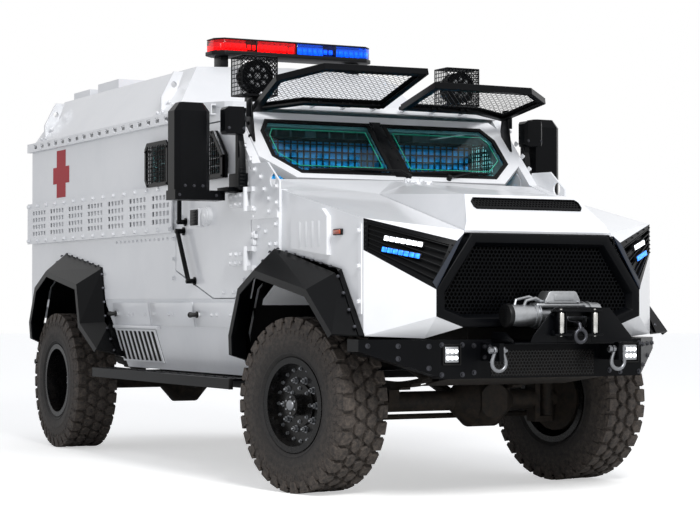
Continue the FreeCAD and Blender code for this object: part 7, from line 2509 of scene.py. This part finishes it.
# ---------------------------------------------------------------- stage
@dataclass
class Studio:
    """A pale floor, soft light from all round, a broad lamp from the front right, and the camera."""

    floor: str = "#F1F1EF"
    floor_lift: float = 0.5
    around: float = 0.5
    lens_mm: float = 102.3
    camera: Point = (-6.151, -12.540, 1.124)
    yaw_deg: float = 27.27
    pitch_deg: float = 1.216

    def ground(self) -> None:
        """Lays the floor."""
        bm = bmesh.new()
        bmesh.ops.create_circle(bm, cap_ends=True, segments=64, radius=60.0)
        mesh = bpy.data.meshes.new("floor")
        bm.to_mesh(mesh)
        bm.free()
        material = bpy.data.materials.new("painted_studio_floor")
        material.use_nodes = True
        tree = material.node_tree
        tree.nodes.clear()
        place = add_node(tree, "TexCoord").outputs["Object"]
        mottle = add_node(tree, "TexNoise", {"Vector": place, "Scale": per_metre(900.0), "Detail": 3.0})
        gloss = add_node(tree, "MapRange", {"Value": mottle.outputs["Fac"], "To Min": 0.8, "To Max": 0.95})
        matt = add_node(tree, "BsdfPrincipled",
                        {"Base Color": linear(self.floor), "Roughness": gloss.outputs[0]})
        glow = add_node(tree, "Emission", {"Color": linear("#FFFFFF"), "Strength": self.floor_lift})
        both = add_node(tree, "AddShader", {0: matt.outputs[0], 1: glow.outputs[0]})
        seen = add_node(tree, "LightPath").outputs["Is Camera Ray"]
        either = add_node(tree, "MixShader", {0: seen, 1: matt.outputs[0], 2: both.outputs[0]})
        add_node(tree, "OutputMaterial", {"Surface": either.outputs[0]})
        mesh.materials.append(material)
        floor = bpy.data.objects.new("floor", mesh)
        bpy.context.scene.collection.objects.link(floor)

    def world(self) -> None:
        """Sets soft light all round and a white background."""
        world = bpy.data.worlds.new("studio")
        world.use_nodes = True
        tree = world.node_tree
        tree.nodes.clear()
        path = add_node(tree, "LightPath")
        seen = add_node(tree, "Math", {0: path.outputs["Is Camera Ray"], 1: path.outputs["Is Glossy Ray"]},
                        operation="MAXIMUM")
        through = add_node(tree, "Math", {0: seen.outputs[0], 1: path.outputs["Is Transmission Ray"]},
                           operation="MAXIMUM")
        light = add_node(tree, "Background", {"Color": linear("#F4F7FF"), "Strength": self.around})
        backdrop = add_node(tree, "Background", {"Color": linear("#FFFFFF"), "Strength": 1.0})
        both = add_node(tree, "MixShader",
                        {0: through.outputs[0], 1: light.outputs[0], 2: backdrop.outputs[0]})
        add_node(tree, "OutputWorld", {"Surface": both.outputs[0]})
        bpy.context.scene.world = world

    def lamp(self, name: str, place: Vector, aim: Vector, power: float, size: float) -> None:
        """Hangs a soft square lamp.

        Args:
            name: The lamp's name.
            place: Where it hangs.
            aim: What it points at.
            power: Its power in watts.
            size: The length of its side.
        """
        data = bpy.data.lights.new(name, "AREA")
        data.energy = power
        data.size = size
        lamp = bpy.data.objects.new(name, data)
        lamp.location = place
        lamp.rotation_euler = (aim - place).to_track_quat("-Z", "Y").to_euler()
        bpy.context.scene.collection.objects.link(lamp)

    def build(self) -> None:
        """Sets up the floor, the light and the camera."""
        scene = bpy.context.scene
        scene.view_settings.view_transform = "Standard"
        self.ground()
        self.world()
        self.lamp("key", Vector((-2.2, -10.0, 7.5)), Vector((0, -1, 1.2)), 840.0, 3.0)
        data = bpy.data.cameras.new("camera")
        data.lens = self.lens_mm
        data.sensor_width = 36.0
        camera = bpy.data.objects.new("camera", data)
        camera.location = self.camera
        camera.rotation_euler = (math.radians(90 + self.pitch_deg), 0, math.radians(-self.yaw_deg))
        scene.collection.objects.link(camera)
        scene.camera = camera


FLARES = (
    ("front", ((-800, 940), (-528, 1318), (299, 1455), (610, 1300), (770, 960), (745, 745)),
     ((-730, 950), (-400, 1200), (320, 1322), (560, 1210), (700, 920), (690, 800)), 1012.0),
    ("rear", ((2985, 735), (3200, 975), (3300, 1385), (4125, 1505), (4570, 1330), (4770, 985), (4740, 770)),
     ((3080, 790), (3440, 970), (3520, 1262), (4220, 1372), (4500, 1245), (4640, 970), (4610, 840)),
     1020.0))


def main() -> None:
    """Builds the vehicle's pieces, dresses its solids, and lights them."""
    logging.basicConfig(level=logging.INFO, format="%(name)s: %(message)s")
    parts = [Nose(), Bumper(), Winch(), Shackles(), Windscreen(), ScreenGuard(Side.RIGHT, 18.7),
             ScreenGuard(Side.LEFT, 9.9), RoofGear(), Rear(), Cockpit(), Underside()]
    for side in Side:
        parts += [Wheel(side, axle) for axle in Axle]
        parts += [Headlamp(side), CabDoor(side), Mirror(side), SidePanel(side), LowerSide(side),
                  SideWall(side),
                  SideStep(side), Seat(side)]
        parts += [Flare(side, *shape) for shape in FLARES]
    for part in parts:
        log.info("building %s", type(part).__name__)
        part.build()
    Studio().build()


if __name__ == "__main__":
    main()
